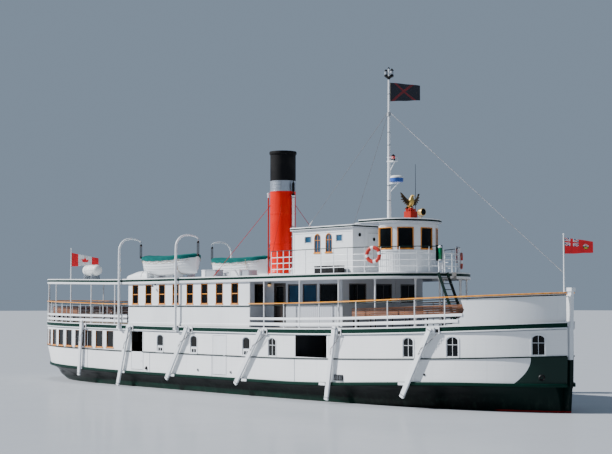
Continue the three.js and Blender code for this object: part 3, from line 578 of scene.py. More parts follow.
@dataclass(frozen=True)
class FlagCloth(Finish):
    """Flag bunting with its design laid out on the cloth's own flat map."""

    banner: Banner = Banner.LEAF
    field: Colour = (0.85, 0.006, 0.016)
    pale: Colour = (0.80, 0.80, 0.80)
    blue: Colour = (0.012, 0.02, 0.16)

    def make(self, tree: Tree) -> bpy.types.Material:
        """Builds the design, then the weave and creases over it, the creases darkened as painted shade.

        Args:
            tree: the material's nodes.

        Returns:
            The material.
        """
        across, up = tree.axis("X", tree.uv), tree.axis("Y", tree.uv)
        design = {Banner.LEAF: self.leaf, Banner.DARK: self.dark, Banner.CANTON: self.canton}[self.banner]
        weave = (across * 240.0).off().most((up * 130.0).off())
        creases = tree.noise(3.5, 4.0)
        return tree.dress(
            # Painted shade: the design is darkened towards near black in the creases.
            Base_Color=tree.mix(creases.ramp(0.55, 0.3) * 0.2, design(tree, across, up),
                                (0.02, 0.012, 0.012)),
            Roughness=0.7 + weave * 0.15,
            Sheen_Weight=0.25, Sheen_Roughness=0.5,
            Normal=tree.bump(weave * 0.4 + creases, 0.35, 0.005))

    def leaf(self, tree: Tree, across: Value, up: Value) -> Value:
        """Two coloured ends and a lobed leaf on the pale middle.

        Args:
            tree: the material's nodes.
            across: share of the cloth's length.
            up: share of its height.

        Returns:
            The colour.
        """
        dx, dy = abs(across - 0.5) * 2.0, up - 0.42
        leaf = (dx > 0.5).most((dx < 0.016) * (dy < 0) * (dy > -0.3))
        for degrees, reach, half in ((0, 0.44, 0.15), (38, 0.30, 0.07), (58, 0.42, 0.12), (84, 0.30, 0.07),
                                     (108, 0.27, 0.09)):
            sine, cosine = math.sin(math.radians(degrees)), math.cos(math.radians(degrees))
            along = dx * sine + dy * cosine
            leaf = leaf.most((abs(dx * cosine - dy * sine) < (1 - along / reach) * half) * (along > 0))
        return tree.mix(leaf, self.pale, self.field)

    def dark(self, tree: Tree, across: Value, up: Value) -> Value:
        """Two broken diagonal bands on a dark field.

        Args:
            tree: the material's nodes.
            across: share of the cloth's length.
            up: share of its height.

        Returns:
            The colour.
        """
        one = abs(across * 1.5 - up - 0.12) < 0.09
        other = abs(across * 1.5 + up - 1.25) < 0.07
        return tree.mix(one.most(other), (0.010, 0.012, 0.022), (0.17, 0.012, 0.018))

    def canton(self, tree: Tree, across: Value, up: Value) -> Value:
        """A quartered canton of crossed stripes and a plain badge in the fly.

        Args:
            tree: the material's nodes.
            across: share of the cloth's length.
            up: share of its height.

        Returns:
            The colour.
        """
        inside = (across < 0.5) * (up > 0.5)
        cx, cy = abs(across - 0.25) * 4.0, abs(up - 0.75) * 4.0
        slant = abs(cx - cy)
        ground = tree.mix(slant < 0.30, self.blue, self.pale)
        ground = tree.mix(slant < 0.10, ground, self.field)
        ground = tree.mix((cx < 0.34).most(cy < 0.34), ground, self.pale)
        ground = tree.mix((cx < 0.19).most(cy < 0.19), ground, self.field)
        bx, by = abs(across - 0.75), abs(up - 0.5)
        shield = (bx + by * by * 1.7) < 0.105
        chief = shield * (up > 0.53)
        badge = tree.mix(shield, self.field, (0.004, 0.07, 0.025))
        badge = tree.mix((bx < 0.055) * (abs(up - 0.4) < 0.06), badge, (0.75, 0.52, 0.03))
        badge = tree.mix(chief, badge, self.pale)
        badge = tree.mix(chief * (bx < 0.014).most(abs(up - 0.63) < 0.025), badge, self.field)
        return tree.mix(inside, badge, ground)


WHITE = Paint("white_gloss", (0.80, 0.82, 0.84), (0.60, 0.62, 0.65))
WHITE_BOARDS = SidePaint("white_boards", (0.84, 0.85, 0.86), (0.68, 0.70, 0.72), boards=Boards.LEVEL,
                         pitch=0.21, coat=0.0, specular=0.25)
# White paint darkened and blued as painted shade, for the saloon walls, end walls, soffits, beams and deck
# undersides that lie under the roofs.
SHADE_PAINTED_WHITE = Paint("white_painted_shade", (0.50, 0.53, 0.58), (0.38, 0.40, 0.45), roughness=0.5, streaks=0.15)
ROOF_WHITE = Paint("roof_canvas", (0.74, 0.76, 0.77), (0.50, 0.51, 0.50), roughness=0.6, streaks=0.1)
GREEN = Paint("green_gloss", (0.001, 0.020, 0.013), (0.003, 0.030, 0.022), streaks=0.5, coat=0.0,
              specular=0.1)
DARK_GREEN = Paint("line_green", (0.002, 0.012, 0.010), (0.005, 0.02, 0.017), coat=0.0, specular=0.1)
BLACK = Paint("black_gloss", (0.004, 0.004, 0.005), (0.015, 0.015, 0.015), roughness=0.4, coat=0.0,
              specular=0.2)
GREY = Paint("grey_paint", (0.30, 0.33, 0.37), (0.18, 0.2, 0.22), roughness=0.5)
SIGNAL_RED = Paint("signal_red", (0.42, 0.016, 0.006), (0.22, 0.012, 0.006), coat=0.0, specular=0.25)
# Dark brown lining for the walls' inner skins and reveals, standing in as painted shade for the unlit inside
# of the ship.
SHADE_LINING = Paint("lining_painted_shade", (0.10, 0.08, 0.06), (0.05, 0.045, 0.035), roughness=0.7, streaks=0.1, specular=0.1)
HULL = HullCoat("hull_coat")
FUNNEL_RED = FunnelCoat("funnel_coat")
VARNISH = Timber("varnished_rail", (0.86, 0.36, 0.025), (0.60, 0.20, 0.015), coat=0.4)
SASH_WOOD = Timber("varnished_sash", (0.78, 0.30, 0.025), (0.5, 0.16, 0.015), Grain.UPRIGHT, coat=0.4)
BENCH_WOOD = Timber("bench_slats", (0.24, 0.085, 0.03), (0.12, 0.04, 0.016), coat=0.25, roughness=0.45)
DOOR_WOOD = Timber("door_wood", (0.022, 0.011, 0.007), (0.010, 0.006, 0.004), Grain.UPRIGHT, coat=0.1)
DECK = Planking("laid_deck")
TEAL = Cloth("teal_canvas", (0.0, 0.085, 0.080), (0.004, 0.13, 0.12))
# Near-black glass: painted shade of the unlit rooms behind the windows.
PANE = Glass("window_glass")
# Glass whose blue tint is a painted sky reflection.
SKY_REFLECTION_PANE = Glass("glass_painted_sky_reflection", (0.012, 0.045, 0.09), (0.04, 0.11, 0.19), 0.97)
STEEL = Metal("galvanised_steel", (0.48, 0.49, 0.50), (0.3, 0.29, 0.28))
WIRE = Metal("dark_wire", (0.20, 0.20, 0.21), (0.12, 0.07, 0.05), 0.5, 0.6)
BRASS = Metal("polished_brass", (0.78, 0.52, 0.18), (0.4, 0.26, 0.1), 0.22)
GILT = Metal("gilded_wood", (0.62, 0.42, 0.12), (0.22, 0.13, 0.04), 0.34, 0.8)
DARK_GILT = Metal("darkened_bronze", (0.10, 0.065, 0.03), (0.035, 0.028, 0.018), 0.5, 0.9)
BRONZE = Metal("cast_bronze", (0.50, 0.34, 0.14), (0.2, 0.24, 0.16), 0.35, 0.5)
TARRED = Moulded("tarred_rope", (0.025, 0.02, 0.016), (0.012, 0.01, 0.01))
ROPE = Moulded("manila_rope", (0.46, 0.37, 0.24), (0.3, 0.24, 0.16), 0.85, 120.0)
CANISTER = Moulded("raft_shell", (0.76, 0.77, 0.75), (0.5, 0.5, 0.47))
RING_ORANGE = Moulded("ring_orange", (0.44, 0.012, 0.003), (0.38, 0.02, 0.006))
RADAR_BLUE = Moulded("radar_blue", (0.02, 0.08, 0.36), (0.03, 0.08, 0.25))
LAMP_WARM = Moulded("warm_lens", (0.95, 0.55, 0.2), (0.8, 0.45, 0.2), 0.15, 20.0, 0.8)
LAMP_GREEN = Moulded("green_lens", (0.0, 0.16, 0.06), (0.0, 0.1, 0.04), 0.15, 20.0, 0.2)
LAMP_RED = Moulded("red_lens", (0.5, 0.01, 0.01), (0.3, 0.01, 0.01), 0.15, 20.0, 0.2)
STERN_CLOTH = FlagCloth("stern_bunting", Banner.LEAF)
MAST_CLOTH = FlagCloth("mast_bunting", Banner.DARK)
BOW_CLOTH = FlagCloth("bow_bunting", Banner.CANTON)


# The ship's lines
def bell(low: float, high: float, value: float) -> float:
    """Smooth step from 0 at low to 1 at high."""
    t = min(1.0, max(0.0, (value - low) / (high - low)))
    return t * t * (3 - 2 * t)


def steps(start: float, end: float, count: int) -> list[float]:
    """Evenly spaced values from start to end, count of them after the first."""
    return [start + (end - start) * i / count for i in range(count + 1)]


def circle(count: int) -> list[float]:
    """Angles of evenly spaced points round a circle."""
    return steps(0, 2 * math.pi, count)[:-1]


def through(rows: Sequence[Sequence[float]], x: float, tame: bool) -> list[float]:
    """Values at x on smooth curves through rows of an x and the values there.

    Args:
        rows: the rows, in order.
        x: where the values are wanted.
        tame: whether a curve turns only at the rows.

    Returns:
        The values there.
    """
    i = max(1, next((k for k, row in enumerate(rows) if row[0] >= x), len(rows) - 1))
    a, b = rows[i - 1], rows[i]
    before, after = rows[max(0, i - 2)], rows[min(len(rows) - 1, i + 1)]
    t = (x - a[0]) / (b[0] - a[0])
    made = []
    for c in range(1, len(a)):
        rise = b[c] - a[c]
        m0 = (b[c] - before[c]) / (b[0] - before[0]) * (b[0] - a[0])
        m1 = (after[c] - a[c]) / (after[0] - a[0]) * (b[0] - a[0])
        if tame:
            m0, m1 = (min(abs(m), 3 * abs(rise)) * (1 if rise > 0 else -1) if m * rise > 0 else 0.0
                      for m in (m0, m1))
        made.append(a[c] + m0 * t + (3 * rise - 2 * m0 - m1) * t * t + (m0 + m1 - 2 * rise) * t ** 3)
    return made


@dataclass(frozen=True)
class Lines:
    """Plan curves of the port edge and heights of the decks.

    A place s on a curve runs 0..1 round the stern, 1..2 along the side and 2..3 to the bow.
    """

    beam: float = 3.7
    stern_x: float = -12.3
    stern_run: float = 7.2
    rake: float = 0.6
    bow_x: float = 8.0
    bow_run: float = 11.55
    roof_x: float = 7.55
    roof_run: float = 5.5
    walk_half: float = 2.95
    walk_run: float = 5.2

    def sheer(self, x: float, base: float, rise: float, start: float, power: float, slope: float,
              aft: float) -> float:
        """Height of a line that curves up forward of start and slopes up aft of aft."""
        stem = self.bow_x + self.bow_run
        return base + rise * max(0.0, (x - start) / (stem - start)) ** power + slope * max(0.0, aft - x)

    def deck(self, x: float) -> float:
        """Top of the promenade deck."""
        return self.sheer(x, 3.28, 0.41, 4.0, 2.0, 0.0095, -4.0)

    def mid(self, x: float) -> float:
        """Moulding half way up the main deck's wall."""
        return self.sheer(x, 1.89, 0.40, 4.0, 1.5, 0.012, -8.7)

    def rail(self, x: float) -> float:
        """Top of the handrail."""
        return self.sheer(x, 4.44, 0.44, 3.0, 1.8, 0.02, -8.7)

    def roof(self, x: float) -> float:
        """Top of the hurricane deck."""
        return self.sheer(x, 5.755, 0.06, 3.0, 1.0, 0.017, -8.7)

    def guard(self, x: float) -> float:
        """Top of the guard strake."""
        return self.sheer(x, 0.85, 0.0, 3.0, 1.0, 0.016, -8.7) + 0.33 * bell(5.5, 16.5, x)

    def stern(self, s: float, half: float, run: float) -> tuple[float, float]:
        """Point of a stern curve."""
        a = s * math.pi / 2
        return self.stern_x - run * math.cos(a), half * math.sin(a) ** 0.9

    def ship(self, s: float, half: float, stern_run: float, bow_run: float) -> tuple[float, float]:
        """Point of a curve from the stern's tip to the stem.

        Args:
            s: place from the stern's tip at 0 to the stem at 3.
            half: half-breadth amidships.
            stern_run: length of the bent after part.
            bow_run: length of the bent fore part.

        Returns:
            Its x and y.
        """
        if s <= 1:
            return self.stern(s, half, stern_run)
        if s <= 2:
            return self.stern_x + (self.bow_x - self.stern_x) * (s - 1), half
        t = math.sin((s - 2) * math.pi / 2)
        return self.bow_x + bow_run * t, half * max(0.0, 1 - t ** 3) ** 0.8

    def side(self, s: float) -> tuple[float, float]:
        """Edge of the promenade deck."""
        return self.ship(s, self.beam, self.stern_run, self.bow_run)

    def foot(self, s: float) -> tuple[float, float]:
        """Foot of the main deck's wall, on the guard."""
        return self.ship(s, self.beam - 0.03, self.stern_run - self.rake, self.bow_run - 0.06)

    def top(self, s: float) -> tuple[float, float]:
        """Edge of the hurricane deck.

        Args:
            s: place from the stern's tip at 0 to the stem at 3.

        Returns:
            Its x and y.
        """
        if s <= 1:
            return self.stern(s, self.beam, self.stern_run)
        if s <= 2:
            return self.stern_x + (self.roof_x - self.stern_x) * (s - 1), self.beam
        a = (s - 2) * math.pi / 2
        return self.roof_x + self.roof_run * math.sin(a), self.beam * math.cos(a)

    def walk(self, s: float) -> tuple[float, float]:
        """Line of the rail on the hurricane deck.

        Args:
            s: place from the stern's tip at 0 to the stem at 3.

        Returns:
            Its x and y.
        """
        if s <= 2:
            return self.stern_x + (self.roof_x - self.stern_x) * (s - 1), self.walk_half
        a = (s - 2) * math.pi / 2
        return self.roof_x + self.walk_run * math.sin(a), self.walk_half * math.cos(a)


LINES = Lines()
Curve = Callable[[float], tuple[float, float]]


class Side(Enum):
    """Starboard or port, with the sign of y."""

    STBD = -1
    PORT = 1

    @property
    def label(self) -> str:
        """The side's part of a piece's name."""
        return self.name.lower()


@dataclass(frozen=True)
class Mark:
    """A place on a curve's edge, with the outward direction there."""

    x: float
    y: float
    nx: float
    ny: float


def edge(curve: Curve, s: float, out: float = 0.0, side: int = 1) -> Mark:
    """Place on a curve moved outwards.

    Args:
        curve: plan curve of the port edge.
        s: place on it.
        out: distance outwards.
        side: 1 to port, -1 to starboard.

    Returns:
        The place, with its direction outwards.
    """
    if s <= 0:
        return Mark(curve(0)[0] - out, 0.0, -1.0, 0.0)
    if s >= 3:
        return Mark(curve(3)[0] + out, 0.0, 1.0, 0.0)
    a, b = curve(max(0.0, s - 0.001)), curve(min(3.0, s + 0.001))
    length = math.hypot(b[0] - a[0], b[1] - a[1])
    nx, ny = -(b[1] - a[1]) / length, (b[0] - a[0]) / length
    x, y = curve(s)
    return Mark(x + nx * out, side * (y + ny * out), nx, side * ny)


def at(curve: Curve, x: float) -> float:
    """The place s on a curve at a given x.

    Args:
        curve: plan curve.
        x: the x.

    Returns:
        The place.
    """
    low, high = 0.0, 3.0
    for _ in range(36):
        middle = (low + high) / 2
        low, high = (middle, high) if curve(middle)[0] < x else (low, middle)
    return (low + high) / 2


def run(curve: Curve, start: float, end: float, tip: bool = False) -> list[float]:
    """Places on a curve from one x to another, close together where it bends.

    Args:
        curve: plan curve.
        start: aft x.
        end: forward x.
        tip: whether the first place is moved to the stern's tip.

    Returns:
        The places, in order.
    """
    s0, s1 = at(curve, start), at(curve, end)
    usual = steps(0, 1, 26) + steps(1, 2, 20)[1:] + steps(2, 3, 34)[1:]
    return [0.0 if tip else s0, *(s for s in usual if s0 + 0.012 < s < s1 - 0.012), s1]


def round_tip(places: Sequence[float], bow: bool = False) -> list[tuple[float, int]]:
    """Places and sides of a path from one side round the stern, or round the bow, to the other.

    Args:
        places: places on one side, in order.
        bow: whether the path goes round the bow.

    Returns:
        Places and sides, in order.
    """
    if bow:
        return [(s, -1) for s in places] + [(3.0, 1)] + [(s, 1) for s in reversed(places)]
    return [(s, -1) for s in reversed(places)] + [(s, 1) for s in places[1:]]


# Meshes
def turned(place: Sequence[float], along: Sequence[float], up: Sequence[float] = (0, 0, 1)) -> Matrix:
    """Frame at a place: first axis along, second up, third out to the viewer.

    Args:
        place: its origin.
        along: the first axis.
        up: what the second axis lies nearest to.

    Returns:
        The frame.
    """
    x = Vector(along).normalized()
    z = x.cross(Vector(up)).normalized()
    y = z.cross(x)
    made = Matrix((x, y, z)).transposed().to_4x4()
    made.translation = Vector(place)
    return made


def upright(place: Sequence[float], along: Sequence[float], out: Sequence[float]) -> Matrix:
    """Frame on an upright face: first axis along it, second up, third outwards.

    Args:
        place: its origin.
        along: the first axis seen from above.
        out: the third axis seen from above.

    Returns:
        The frame.
    """
    made = Matrix(((along[0], 0, out[0]), (along[1], 0, out[1]), (0, 1, 0))).to_4x4()
    made.translation = Vector(place)
    return made


def above(line: Height, rise: float) -> Height:
    """A line moved up by a distance."""
    return lambda x: line(x) + rise


def over(line: Height, profile: Sequence[tuple[float, float]]) -> list[tuple[float, Height]]:
    """Corners of a moulding from their offsets and their rises above a line."""
    return [(out, above(line, rise)) for out, rise in profile]


class Shell:
    """Faces of one piece, each with its finish, gathered before the mesh is made."""

    def __init__(self) -> None:
        """Starts empty."""
        self.points: list[Vector] = []
        self.faces: list[tuple[list[int], Finish]] = []

    def add(self, points: Sequence, faces: Iterable[Sequence[int]], finish: Finish) -> None:
        """Adds points and the faces between them.

        Args:
            points: the corners.
            faces: numbers of each face's corners.
            finish: their finish.
        """
        start = len(self.points)
        self.points += [Vector(p) for p in points]
        self.faces += [([start + i for i in face], finish) for face in faces]

    def weld(self, quads: Iterable[tuple[Sequence, Finish]]) -> None:
        """Adds faces given by their corners, joined where corners meet.

        Args:
            quads: corners and finish of each face.
        """
        seen: dict[tuple, int] = {}
        for corners, finish in quads:
            face = []
            for corner in corners:
                key = tuple(round(c, 5) for c in corner)
                if key not in seen:
                    seen[key] = len(self.points)
                    self.points.append(Vector(corner))
                if not face or face[-1] != seen[key]:
                    face.append(seen[key])
            if face[0] == face[-1]:
                face.pop()
            if len(face) > 2:
                self.faces.append((face, finish))

    def loft(self, rings: Sequence[Sequence], finish: Finish | Sequence[Finish], caps: bool = True,
             loop: bool = False) -> None:
        """Skins rings of as many points each, the last of which joins the first.

        Args:
            rings: the rings, in order.
            finish: one finish, or one for each stretch of a ring.
            caps: whether the first and last rings are filled.
            loop: whether the last ring joins the first.
        """
        n = len(rings[0])
        start = len(self.points)
        self.points += [Vector(p) for ring in rings for p in ring]
        finishes = [finish] * n if isinstance(finish, Finish) else list(finish)
        for i in range(len(rings) - (0 if loop else 1)):
            low, high = start + i * n, start + (i + 1) % len(rings) * n
            for j in range(n):
                k = (j + 1) % n
                self.faces.append(([low + j, low + k, high + k, high + j], finishes[j]))
        if caps and not loop:
            self.faces.append(([start + j for j in range(n)], finishes[0]))
            last = start + (len(rings) - 1) * n
            self.faces.append(([last + j for j in range(n)], finishes[0]))

    def stack(self, plan: Callable[[float], list], levels: Sequence[tuple]) -> None:
        """Adds a body of level outlines, one over the other.

        Args:
            plan: the outline grown by a distance.
            levels: growth, height and, above the first, the finish of the stretch below.
        """
        rings = [[(x, y, z) for x, y in plan(grow)] for grow, z, _ in levels]
        n = len(rings[0])
        self.add(rings[0], [range(n)], levels[0][2])
        for i, (_, _, finish) in enumerate(levels[1:]):
            self.add([*rings[i], *rings[i + 1]], [(j, (j + 1) % n, n + (j + 1) % n, n + j) for j in range(n)],
                     finish)
        self.add(rings[-1], [range(n)], levels[-1][2])

    def block(self, low: Sequence[float], high: Sequence[float], finish: Finish,
              frame_: Matrix | None = None) -> None:
        """Adds a rectangular block between two corners, in its own frame if one is given.

        Args:
            low: one corner.
            high: the opposite corner.
            finish: its finish.
            frame_: frame of the corners.
        """
        (x0, y0, z0), (x1, y1, z1) = low, high
        rings = [[(x, y0, z0), (x, y1, z0), (x, y1, z1), (x, y0, z1)] for x in (x0, x1)]
        if frame_ is not None:
            rings = [[frame_ @ Vector(p) for p in ring] for ring in rings]
        self.loft(rings, finish)

    def tube(self, path: Sequence, radius: float | Sequence[float], finish: Finish, sides: int = 8,
             loop: bool = False) -> None:
        """Adds a round bar along a path, its radius one number or one for each point.

        Args:
            path: points of its middle line.
            radius: one radius, or one for each point.
            finish: its finish.
            sides: number of its sides.
            loop: whether it runs back to its start.
        """
        points = [Vector(p) for p in path]
        n = len(points)
        radii = [radius] * n if isinstance(radius, (int, float)) else list(radius)
        rings = []
        across = None
        for i, p in enumerate(points):
            before = points[i - 1] if i or loop else p
            after = points[(i + 1) % n] if i + 1 < n or loop else p
            ahead = (after - before).normalized()
            if across is None:
                across = ahead.orthogonal().normalized()
            across = (across - ahead * across.dot(ahead)).normalized()
            other = ahead.cross(across)
            rings.append([p + (across * math.cos(a) + other * math.sin(a)) * radii[i] for a in circle(sides)])
        self.loft(rings, finish, loop=loop)

    def rod(self, a: Sequence[float], b: Sequence[float], radius: float, finish: Finish,
            sides: int = 10, end_radius: float | None = None) -> None:
        """Adds a straight round bar, tapered where it has an end radius."""
        self.tube([a, b], [radius, radius if end_radius is None else end_radius], finish, sides)

    def turn(self, centre: Sequence[float], profile: Sequence[tuple[float, float]],
             finish: Finish | Sequence[Finish], sides: int = 32, axis: Sequence[float] = (0, 0, 1)) -> None:
        """Adds a turned form: a closed profile of radius and distance along the axis.

        Args:
            centre: origin of the profile.
            profile: radius and distance along the axis.
            finish: its finish.
            sides: number of its sides.
            axis: direction of the axis.
        """
        way = Vector(axis).normalized()
        across = way.orthogonal().normalized()
        other = way.cross(across)
        rings = []
        for a in circle(sides):
            out = across * math.cos(a) + other * math.sin(a)
            rings.append([Vector(centre) + out * r + way * d for r, d in profile])
        self.loft(rings, finish, loop=True)

    def plate(self, frame_: Matrix, outline: Sequence[tuple[float, float]], back: float, front: float,
              finish: Finish) -> None:
        """Adds a flat plate of an outline, from one depth to another in a frame."""
        rings = [[frame_ @ Vector((x, y, d)) for x, y in outline] for d in (back, front)]
        self.loft(rings, finish)

    def surround(self, frame_: Matrix, outer: Sequence, inner: Sequence, back: float, front: float,
                 finish: Finish) -> None:
        """Adds a flat ring between two outlines, from one depth to another in a frame.

        Args:
            frame_: frame of the outlines.
            outer: its outer outline.
            inner: its inner outline.
            back: depth of its back.
            front: depth of its front.
            finish: its finish.
        """
        rings = [[frame_ @ Vector((*line[i], d)) for line, d in (
            (outer, back), (outer, front), (inner, front), (inner, back))] for i in range(len(outer))]
        self.loft(rings, finish, loop=True)

    def band(self, path: Sequence[tuple[float, int]], profile: Sequence[tuple],
             finish: Finish | Sequence[Finish], curve: Curve = LINES.side) -> None:
        """Adds a moulding, wall or rail along a curve.

        Args:
            path: places and sides along it.
            profile: offset outwards, height and, where it has one, its own curve, for each corner.
            finish: one finish, or one for each stretch of the profile.
            curve: the plan curve.
        """
        rings = []
        for s, side in path:
            ring = []
            for offset, height, *own in profile:
                p = edge(own[0] if own else curve, s, offset, side)
                ring.append((p.x, p.y, height(p.x)))
            rings.append(ring)
        self.loft(rings, finish)

    def pipe(self, path: Sequence[tuple[float, int]], radius: float, line: Height, rise: float,
             finish: Finish, curve: Curve = LINES.side) -> None:
        """Adds a round rail along a curve.

        Args:
            path: places and sides along it.
            radius: the rail's radius.
            line: height line that it follows.
            rise: height of its middle above the line.
            finish: its finish.
            curve: the plan curve.
        """
        corners = [(radius * math.cos(a), rise + radius * math.sin(a)) for a in circle(8)]
        self.band(path, over(line, corners), finish, curve)

    def piece(self, name: str, body: str = "ship", replaces: Sequence[str] = (),
              bevel: float = 0.0, sharp: float = 32.0) -> bpy.types.Object:
        """Makes the piece and lets it ride on its body.

        Args:
            name: the piece's name.
            body: the body it rides on.
            replaces: the nodes it stands for.
            bevel: width of its rounded edges, or 0.
            sharp: angle above which an edge stays sharp.

        Returns:
            The piece.
        """
        mesh = bpy.data.meshes.new(name)
        mesh.from_pydata(self.points, [], [face for face, _ in self.faces])
        finishes = list(dict.fromkeys(finish for _, finish in self.faces))
        for finish in finishes:
            mesh.materials.append(finish.material())
        order = {finish: i for i, finish in enumerate(finishes)}
        mesh.polygons.foreach_set("material_index", [order[finish] for _, finish in self.faces])
        work = bmesh.new()
        work.from_mesh(mesh)
        bmesh.ops.recalc_face_normals(work, faces=work.faces)
        work.to_mesh(mesh)
        work.free()
        mesh.polygons.foreach_set("use_smooth", [True] * len(mesh.polygons))
        mesh.set_sharp_from_angle(angle=math.radians(sharp))
        made = bpy.data.objects.new(name, mesh)
        bpy.context.scene.collection.objects.link(made)
        if bevel:
            rounded = made.modifiers.new("rounded edges", "BEVEL")
            rounded.width = bevel
            rounded.segments = 2
            rounded.limit_method = "ANGLE"
            rounded.angle_limit = math.radians(40)
            rounded.harden_normals = True
        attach(made, body)
        if replaces:
            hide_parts(*replaces)
        LOG.info("%s: %d faces", name, len(self.faces))
        return made


# Walls with windows
@dataclass(frozen=True)
class Opening:
    """An opening in a wall: its middle along the ship, sill, width, height and arch."""

    x: float
    sill: float
    width: float
    height: float
    rise: float = 0.0


def outline(width: float, height: float, rise: float, grow: float = 0.0) -> list[tuple[float, float]]:
    """Outline of a window with its sill's middle at the origin, grown outwards or inwards.

    Args:
        width: its width.
        height: its height.
        rise: rise of its arched head.
        grow: distance outwards.

    Returns:
        Its corners.
    """
    half, low, top = width / 2 + grow, -grow, height + grow
    if rise <= 0:
        return [(-half, low), (half, low), (half, top), (-half, top)]
    arch = [(half * math.cos(a), top - rise + rise * math.sin(a)) for a in steps(0, math.pi, 10)]
    return [(-half, low), (half, low), *arch]


@dataclass(frozen=True)
class Sash:
    """How a window is fitted: casing on the wall, sash in the opening, bars, sill and pane."""

    sash: Finish
    casing: Finish | None = WHITE
    casing_width: float = 0.055
    proud: float = 0.014
    sash_width: float = 0.038
    upright: tuple[float, ...] = ()
    level: tuple[float, ...] = ()
    sill: Finish | None = None
    pane: Finish | None = PANE
    bar: float = 0.02

    def fit(self, shell: Shell, frame_: Matrix, width: float, height: float, rise: float = 0.0) -> None:
        """Builds the window in a frame whose origin is the sill's middle on the wall's face.

        Args:
            shell: where the faces go.
            frame_: frame on the wall.
            width: width of the opening.
            height: its height.
            rise: rise of its arched head.
        """
        hole = outline(width, height, rise)
        if self.casing:
            shell.surround(frame_, outline(width, height, rise, self.casing_width), hole, -0.004, self.proud,
                           self.casing)
        inner = outline(width, height, max(0.0, rise - self.sash_width * 0.4), -self.sash_width)
        shell.surround(frame_, outline(width, height, rise, 0.004), inner, -0.05, -0.012, self.sash)
        for share in self.upright:
            x = width * (share - 0.5)
            shell.block((x - self.bar, 0.01, -0.046), (x + self.bar, height - 0.02, -0.016), self.sash,
                        frame_)
        for share in self.level:
            y = height * share
            shell.block((-width / 2, y - self.bar, -0.043), (width / 2, y + self.bar, -0.01), self.sash,
                        frame_)
        if self.sill:
            reach = width / 2 + 0.05
            shell.block((-reach, -0.055, -0.05), (reach, 0.006, self.proud + 0.022), self.sill, frame_)
        if self.pane:
            shell.plate(frame_, outline(width, height, rise, -0.006), -0.036, -0.032, self.pane)


class Wall:
    """A wall given by a place function of length, height and depth into it, with openings."""

    def __init__(self, place: Callable[[float, float, float], Vector], foot: Height, head: Height,
                 rows: Sequence[Height] = ()) -> None:
        """Keeps the wall's form.

        Args:
            place: point of the wall from u along it, z and depth inwards.
            foot: height of its foot at u.
            head: height of its head at u.
            rows: heights between them where it bends.
        """
        self.place = place
        self.foot = foot
        self.head = head
        self.rows = rows

    @staticmethod
    def arch(hole: tuple, u: float) -> float:
        """Height of an opening's head at u.

        Args:
            hole: start, end, sill, head and arch of the opening.
            u: place along the wall.

        Returns:
            The height.
        """
        start, end, _, head, rise = hole
        t = min(1.0, abs(2 * (u - start) / (end - start) - 1))
        return head - rise + rise * math.sqrt(1 - t * t)

    def build(self, shell: Shell, columns: Sequence[float], holes: Sequence[tuple], thick: float,
              out: Finish, inside: Finish, ends: bool = True) -> None:
        """Builds both skins, the reveals and the edges.

        Args:
            shell: where the faces go.
            columns: places along the wall.
            holes: start, end, sill, head and arch of each opening, in the wall's own places.
            thick: the wall's thickness.
            out: outer finish.
            inside: finish of its inner skin and reveals.
            ends: whether its two ends are closed.
        """
        places = set(columns)
        for u0, u1, _, _, rise in holes:
            places = {u for u in places if not u0 - 1e-4 < u < u1 + 1e-4}
            places.update(steps(u0, u1, 10 if rise else 2))
        line = sorted(places)
        quads: list[tuple[list, Finish]] = []

        def quad(u0: float, u1: float, z0: tuple, z1: tuple, depth: float, finish: Finish) -> None:
            """One face of a skin.

            Args:
                u0: its start along the wall.
                u1: its end.
                z0: heights of its lower corners.
                z1: heights of its upper corners.
                depth: its depth into the wall.
                finish: its finish.
            """
            corners = [self.place(u0, z0[0], depth), self.place(u1, z0[1], depth),
                       self.place(u1, z1[1], depth), self.place(u0, z1[0], depth)]
            quads.append((corners, finish))

        def reveal(ua: float, za: float, ub: float, zb: float, finish: Finish) -> None:
            """One face through the wall's thickness.

            Args:
                ua: place of its first edge along the wall.
                za: height of that edge.
                ub: place of its second edge.
                zb: height of that edge.
                finish: its finish.
            """
            corners = [self.place(ua, za, 0), self.place(ub, zb, 0), self.place(ub, zb, thick),
                       self.place(ua, za, thick)]
            quads.append((corners, finish))

        for u0, u1 in zip(line, line[1:]):
            middle = (u0 + u1) / 2
            hole = next((h for h in holes if h[0] < middle < h[1]), None)
            levels = [(self.foot(u0), self.foot(u1)), *((row(u0), row(u1)) for row in self.rows)]
            levels.append((self.head(u0), self.head(u1)))
            sill = top = None
            if hole:
                z0, z1 = hole[2:4]
                sill, top = (z0, z0), (self.arch(hole, u0), self.arch(hole, u1))
                levels = [z for z in levels if not z0 + 0.001 < sum(z) / 2 < z1 - 0.001]
                levels += [sill, top]
                reveal(u0, z0, u1, z0, inside)
                reveal(u0, top[0], u1, top[1], inside)
            levels.sort(key=sum)
            for low, high in zip(levels, levels[1:]):
                if hole and sum(low) >= sum(sill) - 1e-6 and sum(high) <= sum(top) + 1e-6:
                    continue
                quad(u0, u1, low, high, 0.0, out)
                quad(u0, u1, low, high, thick, inside)
            for z in (self.foot, self.head):
                reveal(u0, z(u0), u1, z(u1), out)
        for u0, u1, z0, z1, rise in holes:
            reveal(u0, z0, u0, z1 - rise, inside)
            reveal(u1, z0, u1, z1 - rise, inside)
        for u in (line[0], line[-1]) if ends else ():
            levels = [self.foot(u), *(row(u) for row in self.rows), self.head(u)]
            for low, high in zip(levels, levels[1:]):
                reveal(u, low, u, high, out)
        shell.weld(quads)


